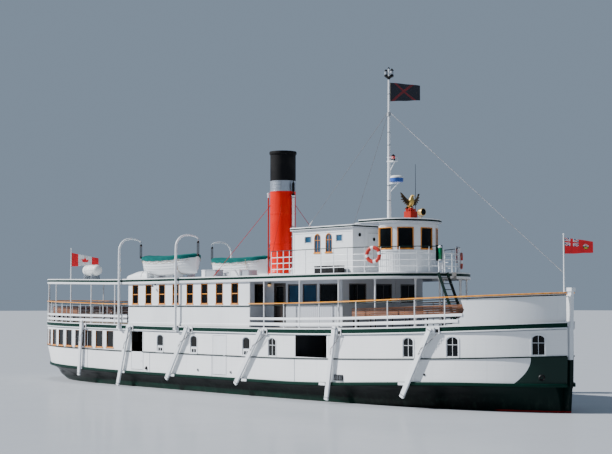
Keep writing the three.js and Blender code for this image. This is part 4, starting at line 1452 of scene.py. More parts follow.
class Plan:
    """A wall's outline seen from above, as places along its length."""

    def __init__(self, corners: Sequence[tuple[float, float]]) -> None:
        """Keeps the corners, in order with the outside on the right.

        Args:
            corners: corners of the outer face, the last of which joins the first.
        """
        self.corners = [Vector(c) for c in (*corners, corners[0])]
        ways = [(b - a).normalized() for a, b in zip(self.corners, self.corners[1:])]
        self.outs = [Vector((w.y, -w.x)) for w in ways]
        self.mitres = []
        for i in range(len(self.corners)):
            before, after = self.outs[i - 1], self.outs[i % len(self.outs)]
            middle = (before + after).normalized()
            self.mitres.append(middle / max(0.3, middle.dot(after)))
        self.marks = [0.0]
        for a, b in zip(self.corners, self.corners[1:]):
            self.marks.append(self.marks[-1] + (b - a).length)

    def _part(self, length: float) -> tuple[int, float]:
        """Stretch and share of it at a length.

        Args:
            length: length along the outline.

        Returns:
            Number of its edge and the share of that edge.
        """
        i = max(1, next((k for k, mark in enumerate(self.marks) if mark >= length - 1e-9),
                        len(self.marks) - 1))
        return i - 1, (length - self.marks[i - 1]) / (self.marks[i] - self.marks[i - 1])

    def point(self, length: float, depth: float = 0.0) -> Vector:
        """Place at a length along the outline, moved inwards by a depth.

        Args:
            length: length along the outline.
            depth: distance inwards.

        Returns:
            The place.
        """
        i, t = self._part(length)
        a = self.corners[i] - self.mitres[i] * depth
        b = self.corners[i + 1] - self.mitres[i + 1] * depth
        return a.lerp(b, t)

    def place(self, u: float, z: float, depth: float) -> Vector:
        """Point of a wall on this outline."""
        p = self.point(u, depth)
        return Vector((p.x, p.y, z))

    def nearest(self, x: float, y: float) -> float:
        """Length along the outline nearest to a point."""
        goal = Vector((x, y))
        return min(steps(0, self.marks[-1], 2000), key=lambda u: (self.point(u) - goal).length)

    def frame(self, length: float, z: float) -> Matrix:
        """Frame on the outer face: first axis along it, second up, third outwards.

        Args:
            length: length along the outline.
            z: height of its origin.

        Returns:
            The frame.
        """
        i, _ = self._part(length)
        out, p = self.outs[i], self.point(length)
        return upright((p.x, p.y, z), (-out.y, out.x), out)


def span(curve: Curve, x: float, width: float) -> tuple[float, float]:
    """Places on a curve on both sides of x, a chord of width apart.

    Args:
        curve: plan curve.
        x: x of the middle.
        width: length of the chord.

    Returns:
        Both places.
    """
    s = at(curve, x)
    a, b = curve(s - 0.002), curve(s + 0.002)
    rate = math.hypot(b[0] - a[0], b[1] - a[1]) / 0.004
    return s - width / 2 / rate, s + width / 2 / rate


def on_curve(curve: Curve, x: float, out: float, side: int, z: float) -> Matrix:
    """Frame on a curve's edge: first axis forward, second up, third outwards."""
    p = edge(curve, at(curve, x), out, side)
    return upright((p.x, p.y, z), (p.ny * side, -p.nx * side), (p.nx, p.ny))


def casing(shell: Shell, frame_: Matrix, size: tuple[float, float], wide: float, low: float,
           depths: tuple[float, float], finish: Finish) -> None:
    """Adds the casing round a doorway.

    Args:
        shell: where the faces go.
        frame_: frame at the middle of the sill.
        size: width and height of the doorway.
        wide: width of the casing.
        low: height of the casing's foot.
        depths: its back and its front.
        finish: its finish.
    """
    grown = [(x, max(y, low)) for x, y in outline(*size, 0, wide)]
    shell.surround(frame_, grown, outline(*size, 0), *depths, finish)


# Sub-assemblies
@dataclass
class Hull:
    """Underwater body and topsides, with stem, skeg and shaft brackets."""

    draught: float = 2.1
    keel_half: float = 0.11
    stations: tuple = (
        (-18.8, 0.64, 0.33, 0.74, 0.8), (-17.8, 0.27, 1.6, 0.47, 0.8), (-16.2, -0.24, 2.25, 0.3, 0.85),
        (-14.3, -0.8, 2.72, 0.2, 1.0), (-12.3, -1.28, 3.04, 0.08, 1.05), (-8.7, -1.88, 3.25, 0.0, 0.95),
        (-4.0, -2.1, 3.26, 0.0, 0.75), (3.0, -2.1, 3.26, 0.0, 0.7), (8.0, -2.1, 3.16, 0.0, 0.85),
        (11.0, -2.1, 2.9, 0.0, 1.05), (13.0, -2.1, 2.62, 0.0, 1.25), (15.0, -2.09, 2.12, 0.0, 1.45),
        (16.7, -2.04, 1.46, 0.0, 1.6), (18.1, -1.88, 0.81, 0.0, 1.6), (19.1, -1.25, 0.26, 0.0, 1.4))
    shaft_x: float = -14.25
    shaft_y: float = 1.05
    shaft_z: float = -1.45

    def ring(self, x: float) -> list[tuple[float, float, float]]:
        """One section, from the keel up to port and down to starboard.

        Args:
            x: where the section lies.

        Returns:
            Its points.
        """
        keel, half, turn, full = through(self.stations, x, True)
        inner = LINES.foot(at(LINES.foot, x))[1]
        half = min(half, inner - 0.005)
        low = []
        for f in (0, 0.12, 0.25, 0.36, 0.46, 0.56, 0.66, 0.76, 0.86, 0.94, 1):
            a = f * math.pi / 2
            low.append((self.keel_half + (half - self.keel_half) * math.sin(a) ** full,
                        turn + (keel - turn) * max(0.0, math.cos(a)) ** 0.9))
        top = LINES.guard(x) - 0.004
        low += [(half + 0.12 * (inner - half), turn + 0.3 * (top - 0.16 - turn)),
                (half + 0.42 * (inner - half), turn + 0.66 * (top - 0.16 - turn)),
                (inner - 0.004, top - 0.16), (inner - 0.004, top)]
        port = [(x, y, z) for y, z in low]
        return port + [(x, -y, z) for _, y, z in reversed(port)]

    def build(self) -> None:
        """Builds the hull piece."""
        shell = Shell()
        xs = sorted({*steps(-18.8, -12.3, 18), *steps(-12.3, 8.0, 22), *steps(8.0, 19.1, 26)})
        shell.loft([self.ring(x) for x in xs], HULL)
        self.stem(shell)
        shell.block((-15.62, -0.085, -self.draught), (-7.0, 0.085, -0.42), HULL)
        shell.block((-16.3, -0.065, -self.draught), (-15.5, 0.065, -2.032), HULL)
        shell.rod((-15.95, 0, -0.1), (-15.95, 0, -0.39), 0.12, HULL, 24)
        boss = [(0.04, 0), (0.098, 0), (0.11, 0.03), (0.11, 0.3), (0.06, 0.34), (0.04, 0.34)]
        for side in (-1, 1):
            x, y, z = self.shaft_x, side * self.shaft_y, self.shaft_z
            shell.turn((x + 0.17, y, z), boss, HULL, 20, (1, 0, 0))
            shell.rod((x + 4.3, side * 0.78, -1.25), (x + 0.3, y, z), 0.055, BRONZE, 16)
            shell.block((x + 0.23, y - 0.025, z), (x + 0.43, y + 0.025, -0.6), HULL)
        shell.piece("hull_body", replaces=("hull",), sharp=28)

    def stem(self, shell: Shell) -> None:
        """Adds the stem bar: green up to the mid moulding, white above.

        Args:
            shell: where the faces go.
        """
        front = [(19.08, -1.5), (19.22, -1.15), (19.3, -0.75), (19.34, -0.35), (19.36, 0.0), (19.45, 1.1)]
        low = [(18.9, -1.7), *front, (19.49, 2.14), (19.16, 2.14), (19.1, 1.0), (18.9, 1.0)]
        high = [(19.16, 2.14), (19.49, 2.14), (19.56, 5.0), (19.40, 5.0)]
        for line, finish in ((low, HULL), (high, WHITE)):
            shell.loft([[(x, y, z) for x, z in line] for y in (-0.09, 0.09)], finish)
        shell.block((19.36, -0.13, 4.90), (19.61, 0.13, 5.05), WHITE)


AFT_WINDOWS = [Opening(x, 2.05, 0.7, 0.9) for x in steps(-9.05, -15.59, 6)]
TAFFRAIL_WINDOWS = [Opening(x, 2.05, 0.6, 0.88) for x in (-16.62, -17.55, -18.32)]
ARCHED = [Opening(x, 1.96, 0.56, 0.86, 0.15) for x in (-4.25, -1.3, 2.95, 4.9)]
BOW_WINDOWS = [Opening(x, LINES.mid(x) + 0.06, 0.54, 0.84, 0.16) for x in (13.53, 15.57, 18.66)]
CARGO = Opening(7.71, 1.99, 2.24, 1.01)
GATE = Opening(-6.385, 0.95, 1.06, 2.01)
SIDE_DOOR = Opening(0.825, 0.95, 1.03, 1.91)


@dataclass
class MainDeckWalls:
    """White side walls of the main deck, their windows, mouldings and seams."""

    thick: float = 0.07
    belt: float = 0.29
    stern_joint: float = -12.865
    fore_joint: float = 5.9
    end: float = 19.45
    seams: tuple[float, ...] = (-11.35, -5.2, 0.22, 6.52, 8.9)
    mid_bead: tuple = ((-0.03, -0.03), (0.012, -0.028), (0.024, -0.005), (0.012, 0.022), (-0.03, 0.026))
    deck_bead: tuple = ((-0.03, -0.325), (0.006, -0.325), (0.012, -0.305), (-0.03, -0.303))

    def foot(self, x: float) -> float:
        """Height of the wall's foot, just over the guard."""
        return LINES.guard(x) + (0.0015 if x > 8 else 0.0005)

    def head(self, x: float) -> float:
        """Height of its head, just under the belt."""
        return LINES.deck(x) - self.belt - (0.0015 if x > 8 else 0.0005)

    def place(self, side: int) -> Callable[[float, float, float], Vector]:
        """Point function of one side's wall; below the moulding it falls back to the foot's own curve.

        Args:
            side: 1 to port, -1 to starboard.

        Returns:
            The function.
        """
        def point(s: float, z: float, depth: float) -> Vector:
            """Point at place s, height z and depth into the wall.

            Args:
                s: place along the side.
                z: height.
                depth: depth into the wall.

            Returns:
                The point.
            """
            top = edge(LINES.side, s, -0.02 - depth, side)
            mid = LINES.mid(top.x)
            if z >= mid:
                return Vector((top.x, top.y, z))
            low = edge(LINES.foot, s, 0.005 - depth, side)
            t = (mid - z) / (mid - self.foot(top.x))
            return Vector((top.x + (low.x - top.x) * t, top.y + (low.y - top.y) * t, z))
        return point

    def build(self) -> None:
        """Builds the walls and what is fixed to them."""
        near = [*AFT_WINDOWS[:4], *ARCHED, GATE, SIDE_DOOR]
        for side in Side:
            for part, start, end, openings in (
                    ("main_wall", self.stern_joint, self.fore_joint, near),
                    ("fore_wall", self.fore_joint + 0.0005, self.end, [CARGO, *BOW_WINDOWS])):
                shell = Shell()
                self.wall(shell, side.value, run(LINES.side, start, end), openings)
                shell.piece(f"{part}_{side.label}_boards", replaces=(f"{part}_{side.label}",))
        shell = Shell()
        columns = run(LINES.side, -19.5, self.stern_joint - 0.0005, tip=True)
        for side in Side:
            self.wall(shell, side.value, columns, [*AFT_WINDOWS[4:], *TAFFRAIL_WINDOWS])
        shell.piece("stern_wall_boards", replaces=("main_wall_stern",))
        for side in Side:
            self.windows(side)
            self.mouldings(side)

    def wall(self, shell: Shell, side: int, columns: Sequence[float], openings: Sequence[Opening]) -> None:
        """Adds a stretch of wall with its openings.

        Args:
            shell: where the faces go.
            side: 1 to port, -1 to starboard.
            columns: places of its columns.
            openings: its openings.
        """
        holes = [(*span(LINES.side, o.x, o.width), o.sill, o.sill + o.height, o.rise) for o in openings]
        foot, head, bend = (lambda s, line=line: line(edge(LINES.side, s).x)
                            for line in (self.foot, self.head, LINES.mid))
        # The inner skin and the reveals take the dark lining of painted inside shade.
        Wall(self.place(side), foot, head, [bend]).build(shell, columns, holes, self.thick, WHITE_BOARDS, SHADE_LINING)

    def windows(self, side: Side) -> None:
        """Fits sashes, panes and casings on one side.

        Args:
            side: port or starboard.
        """
        shell = Shell()
        lounge = Sash(SASH_WOOD, WHITE, 0.03, 0.01, 0.02, sill=SASH_WOOD)
        arched = Sash(WHITE, WHITE, 0.045, 0.014, 0.03, upright=(0.5,), level=(0.6,), bar=0.009)
        half_shut = Sash(GREY, WHITE, 0.05, 0.014, 0.035, level=(0.34,), bar=0.022, sill=WHITE)
        for style, openings in ((lounge, [*AFT_WINDOWS, *TAFFRAIL_WINDOWS]), (half_shut, ARCHED[:3]),
                                (arched, [ARCHED[3], *BOW_WINDOWS])):
            for o in openings:
                frame_ = on_curve(LINES.side, o.x, -0.02, side.value, o.sill)
                style.fit(shell, frame_, o.width, o.height, o.rise)
                if style is half_shut:
                    shell.surround(frame_, outline(0.5, 0.28, 0), outline(0.38, 0.19, 0), -0.03, -0.008,
                                   WHITE)
                    shell.block((-0.014, 0.0, -0.03), (0.014, 0.28, -0.006), WHITE, frame_)
        shell.piece(f"main_windows_{side.label}", sharp=20)

    def mouldings(self, side: Side) -> None:
        """Adds the green moulding, door and cargo trims, seams, scuppers and the recess box.

        Args:
            side: port or starboard.
        """
        shell = Shell()
        s = side.value
        for start, end in ((-19.5, -6.92), (-5.85, 19.43)):
            path = [(p, s) for p in run(LINES.side, start, end, tip=start < -19)]
            shell.band(path, over(LINES.mid, self.mid_bead), DARK_GREEN)
            shell.band(path, over(LINES.deck, self.deck_bead), GREY)
        for o, wide in ((CARGO, 0.06), (GATE, 0.05), (SIDE_DOOR, 0.045)):
            casing(shell, on_curve(LINES.side, o.x, -0.02, s, o.sill), (o.width, o.height), wide,
                   -0.002 if o.sill < 1 else -wide, (-0.012, 0.014), WHITE)
        for x in self.seams:
            y = abs(edge(LINES.side, at(LINES.side, x), 0.0, s).y)
            strips = [((LINES.guard(x) + 0.01, y - 0.027), (LINES.mid(x) - 0.03, y - 0.02))]
            if x == self.seams[0]:
                strips.append(((LINES.mid(x) + 0.03, y - 0.02), (LINES.deck(x) - 0.3, y - 0.02)))
            for strip in strips:
                shell.loft([[(x + dx, s * (w + out), z) for dx, out in (
                    (-0.02, -0.02), (-0.02, 0.006), (0.02, 0.006), (0.02, -0.02))] for z, w in strip], GREY)
        self.fittings(shell, side)
        shell.piece(f"main_mouldings_{side.label}", sharp=25)

    def fittings(self, shell: Shell, side: Side) -> None:
        """Adds scuppers with hoods, the black recess box and small eyes along one side.

        Args:
            shell: where the faces go.
            side: port or starboard.
        """
        s = side.value
        for x, z in ((-0.93, 1.12), (1.75, 1.1)):
            place = (x, self.place(s)(at(LINES.side, x), z, 0.0).y - s * 0.03, z)
            # Each scupper is a steel ring round a black disc, the disc painted shade for the scupper's open
            # mouth.
            for profile, finish in (
                    (((0.035, 0), (0.07, 0), (0.07, 0.06), (0.045, 0.062), (0.035, 0.02)), STEEL),
                    (((0, 0), (0.036, 0), (0.036, 0.035), (0, 0.035)), BLACK)):
                shell.turn(place, profile, finish, 16, (0, s, 0))
        x0, x1, z0, z1 = 9.25, 9.80, 1.03, 1.28
        y = abs(self.place(s)(at(LINES.side, 9.5), 1.15, 0.0).y)
        shell.block((x0, s * (y - 0.05), z0), (x1, s * (y + 0.05), z1), BLACK)
        for x in steps(x0 + 0.06, x1 - 0.06, 4):
            shell.block((x - 0.006, s * (y + 0.05), z0 + 0.02), (x + 0.006, s * (y + 0.058), z1 - 0.02), GREY)
        y = self.place(s)(at(LINES.side, 14.3), 1.45, 0.0).y - s * 0.02
        shell.turn((14.3, y, 1.45), [(0, 0), (0.05, 0), (0.05, 0.035), (0, 0.04)], BLACK, 16, (0, s, 0))
        hawse = on_curve(LINES.side, 18.75, -0.1, s, 1.42)
        lip = [(0.05, 0), (0.13, 0), (0.14, 0.06), (0.1, 0.11), (0.05, 0.08)]
        shell.turn(hawse.translation, lip, BLACK, 20, hawse.col[2].xyz)
        hood = on_curve(LINES.side, -5.5, -0.06, s, 0.98)
        arch = [(0.11 * math.cos(a), 0.18 * math.sin(a)) for a in steps(0, math.pi, 8)]
        shell.loft([[hood @ Vector((x * k, y * k, d)) for x, y in arch]
                    for d, k in ((0.0, 1.0), (0.06, 0.95), (0.1, 0.7))], BLACK)


@dataclass
class Guards:
    """Guard strake with its fender spars, brackets, chains and pads."""

    link: float = 0.085
    spars: tuple = (
        (-11.76, 3.51, -12.0, 0.43, 0.0), (-7.04, 3.23, -8.02, 0.05, 0.15), (-1.67, 3.29, -3.48, 0.56, 0.3),
        (4.27, 3.22, 2.29, 0.56, 0.45), (9.41, 3.4, 8.87, 0.14, -0.45), (14.7, 3.4, 13.3, 0.47, -0.3))

    def build(self) -> None:
        """Builds both sides."""
        for side in Side:
            shell = Shell()
            path = [(p, side.value) for p in run(LINES.foot, -18.8, 19.38)]
            profile = [(0.0005, -0.14), (0.078, -0.14), (0.09, -0.125), (0.09, -0.018), (0.076, 0),
                       (0.0005, 0)]
            shell.band(path, over(LINES.guard, profile), GREEN, LINES.foot)
            for spar in self.spars:
                self.spar(shell, side.value, *spar)
            shell.piece(f"guard_strake_{side.label}", replaces=(f"guard_{side.label}",),
                        sharp=40)

    def spar(self, shell: Shell, side: int, x1: float, z1: float, x0: float, z0: float, pad: float) -> None:
        """Adds one spar from its head (x1, z1) to its foot (x0, z0), with pad, bracket board and chain.

        Args:
            shell: where the faces go.
            side: 1 to port, -1 to starboard.
            x1: x of its head.
            z1: height of its head.
            x0: x of its foot.
            z0: height of its foot.
            pad: how far forward the pad lies.
        """
        a, b = (Vector((x, edge(LINES.side, at(LINES.side, x), 0.13, side).y, z))
                for x, z in ((x0, z0), (x1, z1)))
        frame_ = turned(a, b - a, (0, side, 0))
        length = (b - a).length
        corners = [(-0.115, -0.045), (-0.12, -0.03), (-0.12, 0.03), (-0.105, 0.045), (0.105, 0.045),
                   (0.12, 0.03), (0.12, -0.03), (0.115, -0.045)]
        shell.loft([[frame_ @ Vector((d, v * k, u * k)) for u, v in corners]
                    for d, k in ((0.0, 0.86), (0.02, 1.0), (length - 0.02, 1.0), (length, 0.86))], WHITE)
        for d in (0.12, length - 0.1):
            shell.loft([[frame_ @ Vector((e, v * 1.07, u * 1.045)) for u, v in corners]
                        for e in (d - 0.025, d + 0.025)], STEEL)
        share = (LINES.guard(x0) - 0.07 - z0) / (z1 - z0)
        x = x0 + share * (x1 - x0) + pad
        p = on_curve(LINES.foot, x, 0.09, side, LINES.guard(x))
        shell.block((-0.2, -0.13, -0.03), (0.2, -0.012, 0.035), WHITE, p)
        board = on_curve(LINES.side, x1 + 0.06, 0.05, side, LINES.deck(x1) - 0.32)
        shell.block((-0.31, 0.0, -0.004), (0.31, 0.31, 0.03), WHITE, board)
        shell.block((-0.09, 0.05, 0.03), (0.09, 0.26, 0.075), WHITE, board)
        # Black plates on the bracket board: painted shade standing for its dark chain holes.
        for d in (-0.2, 0.2):
            shell.block((d - 0.07, 0.05, 0.03), (d + 0.07, 0.2, 0.036), BLACK, board)
        for start, share in (((-0.2, 0.05, 0.05), 0.62), ((0.22, 0.03, 0.05), 0.70)):
            self.chain(shell, board @ Vector(start), frame_ @ Vector((length * share, 0.062, 0.0)))

    def chain(self, shell: Shell, start: Vector, end: Vector) -> None:
        """Adds a sagging chain of oval links between two points.

        Args:
            shell: where the faces go.
            start: its first end.
            end: its last end.
        """
        count = max(3, round((end - start).length / self.link))
        for i in range(count):
            t0, t1 = i / count, (i + 1) / count
            a = start.lerp(end, t0) - Vector((0, 0, 0.22 * t0 * (1 - t0)))
            b = start.lerp(end, t1) - Vector((0, 0, 0.22 * t1 * (1 - t1)))
            way = (b - a).normalized()
            across = way.cross(Vector((0, 0, 1))).normalized()
            if i % 2:
                across = way.cross(across)
            middle, reach = (a + b) / 2, (b - a).length * 0.62
            oval = [middle + way * reach * math.cos(t) + across * 0.024 * math.sin(t) for t in circle(8)]
            shell.tube(oval, 0.008, WIRE, 5, loop=True)


@dataclass
class PromenadeDeck:
    """The deck above the walls: planks, white lip, green belt, white bead and the davit sockets."""

    edges: tuple = ((0.05, 0.0), (0.05, -0.05), (0.034, -0.056), (0.034, -0.235), (0.046, -0.242),
                    (0.046, -0.285), (0.0, -0.288), (-0.1, -0.288), (-0.1, -0.1))
    sockets: tuple[float, float] = (-7.955, -2.674)

    def half(self, s: float, inner: float) -> list[tuple[float, float, float]]:
        """Port half of a section, no nearer to the middle than inner."""
        marks = [(edge(LINES.side, s, out), drop) for out, drop in self.edges]
        return [(p.x, max(p.y, inner), LINES.deck(p.x) + drop) for p, drop in marks]

    def build(self) -> None:
        """Builds the deck."""
        shell = Shell()
        # The rim's inner face and the deckhead below take the white with painted shade.
        rim = [WHITE, WHITE, GREEN, WHITE, WHITE, WHITE, WHITE, SHADE_PAINTED_WHITE]
        rings = [self.half(s, 0.001) for s in run(LINES.side, -19.5, 19.25, tip=True)]
        shell.loft([ring + [(x, -y, z) for x, y, z in reversed(ring)] for ring in rings],
                   [*rim, SHADE_PAINTED_WHITE, *reversed(rim), DECK])
        tips = [self.half(s, 0.116) for s in run(LINES.side, 19.2502, 19.44)]
        for side in (-1, 1):
            shell.loft([[(x, side * y, z) for x, y, z in (
                *ring, (ring[-1][0], 0.115, ring[-1][2]), (ring[0][0], 0.115, ring[0][2]))] for ring in tips],
                       [*rim, SHADE_PAINTED_WHITE, SHADE_PAINTED_WHITE, DECK])
            for x in self.sockets:
                shell.block((x - 0.1, side * 3.72, 3.08), (x + 0.1, side * 3.92, 3.2), WHITE)
                shell.block((x - 0.16, side * 3.72, 3.0), (x + 0.16, side * 3.75, 3.26), WHITE)
        shell.piece("promenade_planks", replaces=("promenade_deck",), sharp=35)


@dataclass
class Cabin:
    """Passenger cabin amidships on the promenade deck."""

    aft: float = -7.32
    fwd: float = 3.15
    half: float = LINES.beam - 0.065
    thick: float = 0.06
    first: float = -6.65
    pitch: float = 1.234
    count: int = 8
    sill: float = 4.42
    doorway_y: float = 1.2

    def build(self) -> None:
        """Builds both sides and both end walls."""
        for side in Side:
            self.side_wall(side)
            self.windows(side)
        self.end_wall("cabin_aft_boards", "cabin_aft_wall", self.aft, (-self.doorway_y, self.doorway_y))
        self.end_wall("cabin_fwd_boards", "cabin_fwd_wall", self.fwd - self.thick - 0.0003, ())

    def side_wall(self, side: Side) -> None:
        """Builds one side with its window openings.

        Args:
            side: port or starboard.
        """
        shell = Shell()
        wall = Wall(lambda u, z, d: Vector((u, side.value * (self.half - d), z)), above(LINES.deck, 0.0005),
                    above(LINES.roof, -0.1005))
        holes = [(x - 0.26, x + 0.26, self.sill, self.sill + 0.98, 0.0) for x in self.places()]
        wall.build(shell, steps(self.aft, self.fwd, 18), holes, self.thick, WHITE, SHADE_LINING)
        shell.piece(f"cabin_boards_{side.label}", replaces=(f"cabin_side_{side.label}",))

    def places(self) -> list[float]:
        """Middles of the windows along the side."""
        return [self.first + self.pitch * i for i in range(self.count)]

    def windows(self, side: Side) -> None:
        """Fits the two-light windows, the mouldings along the side and the lamp.

        Args:
            side: port or starboard.
        """
        shell = Shell()
        s, y = side.value, self.half
        sash = Sash(SASH_WOOD, SASH_WOOD, 0.014, 0.016, 0.024, level=(0.5,), sill=SASH_WOOD, bar=0.02)
        for x in self.places():
            sash.fit(shell, upright((x, s * y, self.sill), (1, 0), (0, s)), 0.52, 0.98)
        for profile, finish in (
                (((-0.01, 4.325), (0.024, 4.33), (0.03, 4.345), (0.024, 4.36), (-0.01, 4.365)), WHITE),
                (((-0.01, 4.262), (0.03, 4.267), (0.034, 4.3), (-0.01, 4.305)), DARK_GREEN),
                (((-0.01, 3.30), (0.02, 3.30), (0.024, 3.42), (0.012, 3.44), (-0.01, 3.44)), WHITE),
                (((-0.01, 5.50), (0.018, 5.505), (0.026, 5.53), (0.026, 5.6), (-0.01, 5.61)), WHITE)):
            shell.loft([[(x, s * (y + d), z) for d, z in profile] for x in (self.aft, self.fwd)], finish)
        self.lamp(shell, Vector((self.first + self.pitch * 1.5, s * y, 5.42)), s)
        shell.piece(f"cabin_windows_{side.label}", sharp=25)

    @staticmethod
    def lamp(shell: Shell, place: Vector, s: int) -> None:
        """Adds a swan-neck lamp with a bell shade over a window gap.

        Args:
            shell: where the faces go.
            place: where its neck leaves the wall.
            s: 1 to port, -1 to starboard.
        """
        shell.turn(place, [(0, 0), (0.04, 0), (0.04, 0.012), (0.02, 0.024), (0, 0.024)], BLACK, 16, (0, s, 0))
        shell.tube([place + Vector((0, s * y, z)) for y, z in (
            (0.01, 0.0), (0.06, 0.012), (0.11, 0.035), (0.15, 0.03), (0.17, -0.01), (0.17, -0.05))], 0.012,
            BLACK)
        shell.turn(place + Vector((0, s * 0.17, -0.045)), [
            (0.012, 0.0), (0.03, -0.012), (0.075, -0.07), (0.078, -0.078), (0.07, -0.07), (0.025, -0.018),
            (0.012, -0.012)], BLACK, 20)
        shell.turn(place + Vector((0, s * 0.17, -0.1)), [
            (0, -0.025), (0.02, -0.018), (0.026, 0.0), (0.018, 0.025), (0, 0.03)], LAMP_WARM, 14)

    def end_wall(self, name: str, node: str, x: float, doors: Sequence[float]) -> None:
        """Builds an end wall, with doorways or with windows.

        Args:
            name: name of the piece.
            node: model node that it stands for.
            x: x of its outer face.
            doors: middles of its doorways.
        """
        shell = Shell()
        half, deck = self.half - self.thick - 0.0003, LINES.deck(x)
        wall = Wall(lambda u, z, d: Vector((x + d, u, z)), lambda u: deck + 0.002,
                    lambda u: LINES.roof(x) - 0.108)
        holes = [(y - 0.45, y + 0.45, deck + 0.1, deck + 2.05, 0.0) for y in doors]
        lights = () if doors else (-3.03, 3.03)
        holes += [(y - 0.28, y + 0.28, 4.42, 5.34, 0.0) for y in lights]
        # End walls under the roof: white with painted shade, outside and in.
        wall.build(shell, steps(-half, half, 8), holes, self.thick, SHADE_PAINTED_WHITE, SHADE_PAINTED_WHITE)
        pane = Sash(DOOR_WOOD, DOOR_WOOD, 0.02, 0.01, 0.03, upright=(0.36,), bar=0.012)
        for y in lights:
            pane.fit(shell, upright((x + self.thick, y, 4.42), (0, 1), (1, 0)), 0.56, 0.92)
        for y in doors:
            casing(shell, turned((x, y, deck + 0.1), (0, 1, 0)), (0.9, 1.95), 0.06, 0.0, (-0.014, 0.006),
                   DOOR_WOOD)
            shell.block((x - 0.014, y - 0.5, deck + 0.07), (x + 0.05, y + 0.5, deck + 0.1), BRASS)
        shell.piece(name, replaces=(node,))


@dataclass
class Saloon:
    """Narrower forward saloon with big windows, side doors and an open front."""

    aft: float = 3.1503
    fwd: float = 8.6
    half: float = 2.6
    thick: float = 0.06
    sill: float = 4.42
    tall: float = 0.88
    windows: tuple = ((5.2, 0.78), (6.35, 0.93), (7.7, 1.25))
    door_x: float = 3.8
    door_wide: float = 0.76
    door_head: float = 5.34

    def build(self) -> None:
        """Builds sides, doors and front."""
        low = LINES.deck(4.5) + 0.103
        for side in Side:
            self.side_wall(side, low)
            door = Door(self.door_wide, self.thick, self.door_head - low, DOOR_WOOD, glazed=True)
            door.build(f"saloon_door_leaf_{side.label}", f"saloon_door_{side.label}", "varnished_wood",
                       (self.door_x, side.value * (self.half - self.thick), low), (1, 0, 0),
                       (0, -side.value, 0))
        self.front()

    def side_wall(self, side: Side, low: float) -> None:
        """Builds one side wall with windows, doorway, battens and lamp.

        Args:
            side: starboard or port.
            low: height of the door's sill.
        """
        shell = Shell()
        s, y, door_end = side.value, self.half, self.door_x + self.door_wide
        wall = Wall(lambda u, z, d: Vector((u, s * (y - d), z)), above(LINES.deck, 0.0005),
                    above(LINES.roof, -0.1005))
        holes = [(x - w / 2, x + w / 2, self.sill, self.sill + self.tall, 0.0) for x, w in self.windows]
        holes.append((self.door_x, door_end, low, self.door_head, 0.0))
        # The saloon's walls, sills, battens and mouldings are white with painted shade from the roof above.
        wall.build(shell, steps(self.aft, self.fwd, 10), holes, self.thick, SHADE_PAINTED_WHITE, SHADE_PAINTED_WHITE)
        for x, w in self.windows:
            # The two after windows get the glass with painted sky reflection, the forward one the near-black
            # glass with painted room shade.
            light = Sash(DOOR_WOOD, DOOR_WOOD, 0.03, 0.012, 0.03, sill=SHADE_PAINTED_WHITE,
                         pane=SKY_REFLECTION_PANE if x < 7 else PANE)
            light.fit(shell, upright((x, s * y, self.sill), (1, 0), (0, s)), w, self.tall)
        for x in steps(self.aft + 0.1, self.fwd - 0.1, 36):
            if not self.door_x - 0.07 < x < door_end + 0.07:
                shell.block((x - 0.006, s * (y - 0.002), 3.44), (x + 0.006, s * (y + 0.007), 4.3),
                            SHADE_PAINTED_WHITE)
        casing(shell, upright((self.door_x + self.door_wide / 2, s * y, low), (1, 0), (0, s)),
               (self.door_wide, self.door_head - low), 0.05, 0.0, (-0.004, 0.014), DOOR_WOOD)
        place = (3.47, s * (y + 0.09), 5.37)
        shell.turn(place, [(0, -0.13), (0.05, -0.115), (0.068, -0.06), (0.05, -0.01), (0, 0.0)], LAMP_WARM,
                   16)
        shell.turn(place, [(0, 0.05), (0.05, 0.04), (0.085, -0.005), (0.085, -0.02), (0, -0.012)], BLACK, 16)
        shell.rod((3.47, s * (y - 0.002), 5.4), (3.47, s * (y + 0.09), 5.4), 0.02, BLACK, 8)
        for z, tall, out in ((4.3, 0.035, 0.018), (3.32, 0.12, 0.014), (5.46, 0.07, 0.016)):
            for x0, x1 in ((self.aft, self.door_x - 0.06), (door_end + 0.06, self.fwd)):
                if z < 5.4 or x0 > self.door_x:
                    shell.block((x0, s * (y - 0.002), z), (x1, s * (y + out), z + tall), SHADE_PAINTED_WHITE)
        shell.piece(f"saloon_boards_{side.label}", replaces=(f"saloon_side_{side.label}",))

    def front(self) -> None:
        """Builds the front wall: three wide lights with slim frames."""
        shell = Shell()
        x = self.fwd - self.thick
        half = self.half - self.thick - 0.0003
        low, high = LINES.deck(self.fwd) + 0.0005, LINES.roof(x) - 0.1005
        wall = Wall(lambda u, z, d: Vector((self.fwd - d, u, z)), lambda u: low, lambda u: high)
        middles = (-1.65, 0.0, 1.65)
        holes = [(y - 0.5, y + 0.5, 4.45, 5.3, 0.0) for y in middles]
        # The front wall and its posts and rail are white with painted shade.
        wall.build(shell, steps(-half, half, 8), holes, self.thick, SHADE_PAINTED_WHITE, SHADE_PAINTED_WHITE)
        dark = Sash(DOOR_WOOD, DOOR_WOOD, 0.03, 0.014, 0.03, upright=(0.5,), sill=SHADE_PAINTED_WHITE)
        for y in middles:
            dark.fit(shell, upright((self.fwd, y, 4.45), (0, 1), (1, 0)), 1.0, 0.85)
        for y in (-0.82, 0.82):
            shell.block((self.fwd - 0.002, y - 0.05, low), (self.fwd + 0.014, y + 0.05, high), SHADE_PAINTED_WHITE)
        shell.block((self.fwd - 0.002, -half, 4.27), (self.fwd + 0.02, half, 4.32), SHADE_PAINTED_WHITE)
        shell.piece("saloon_front_boards", replaces=("saloon_front",))


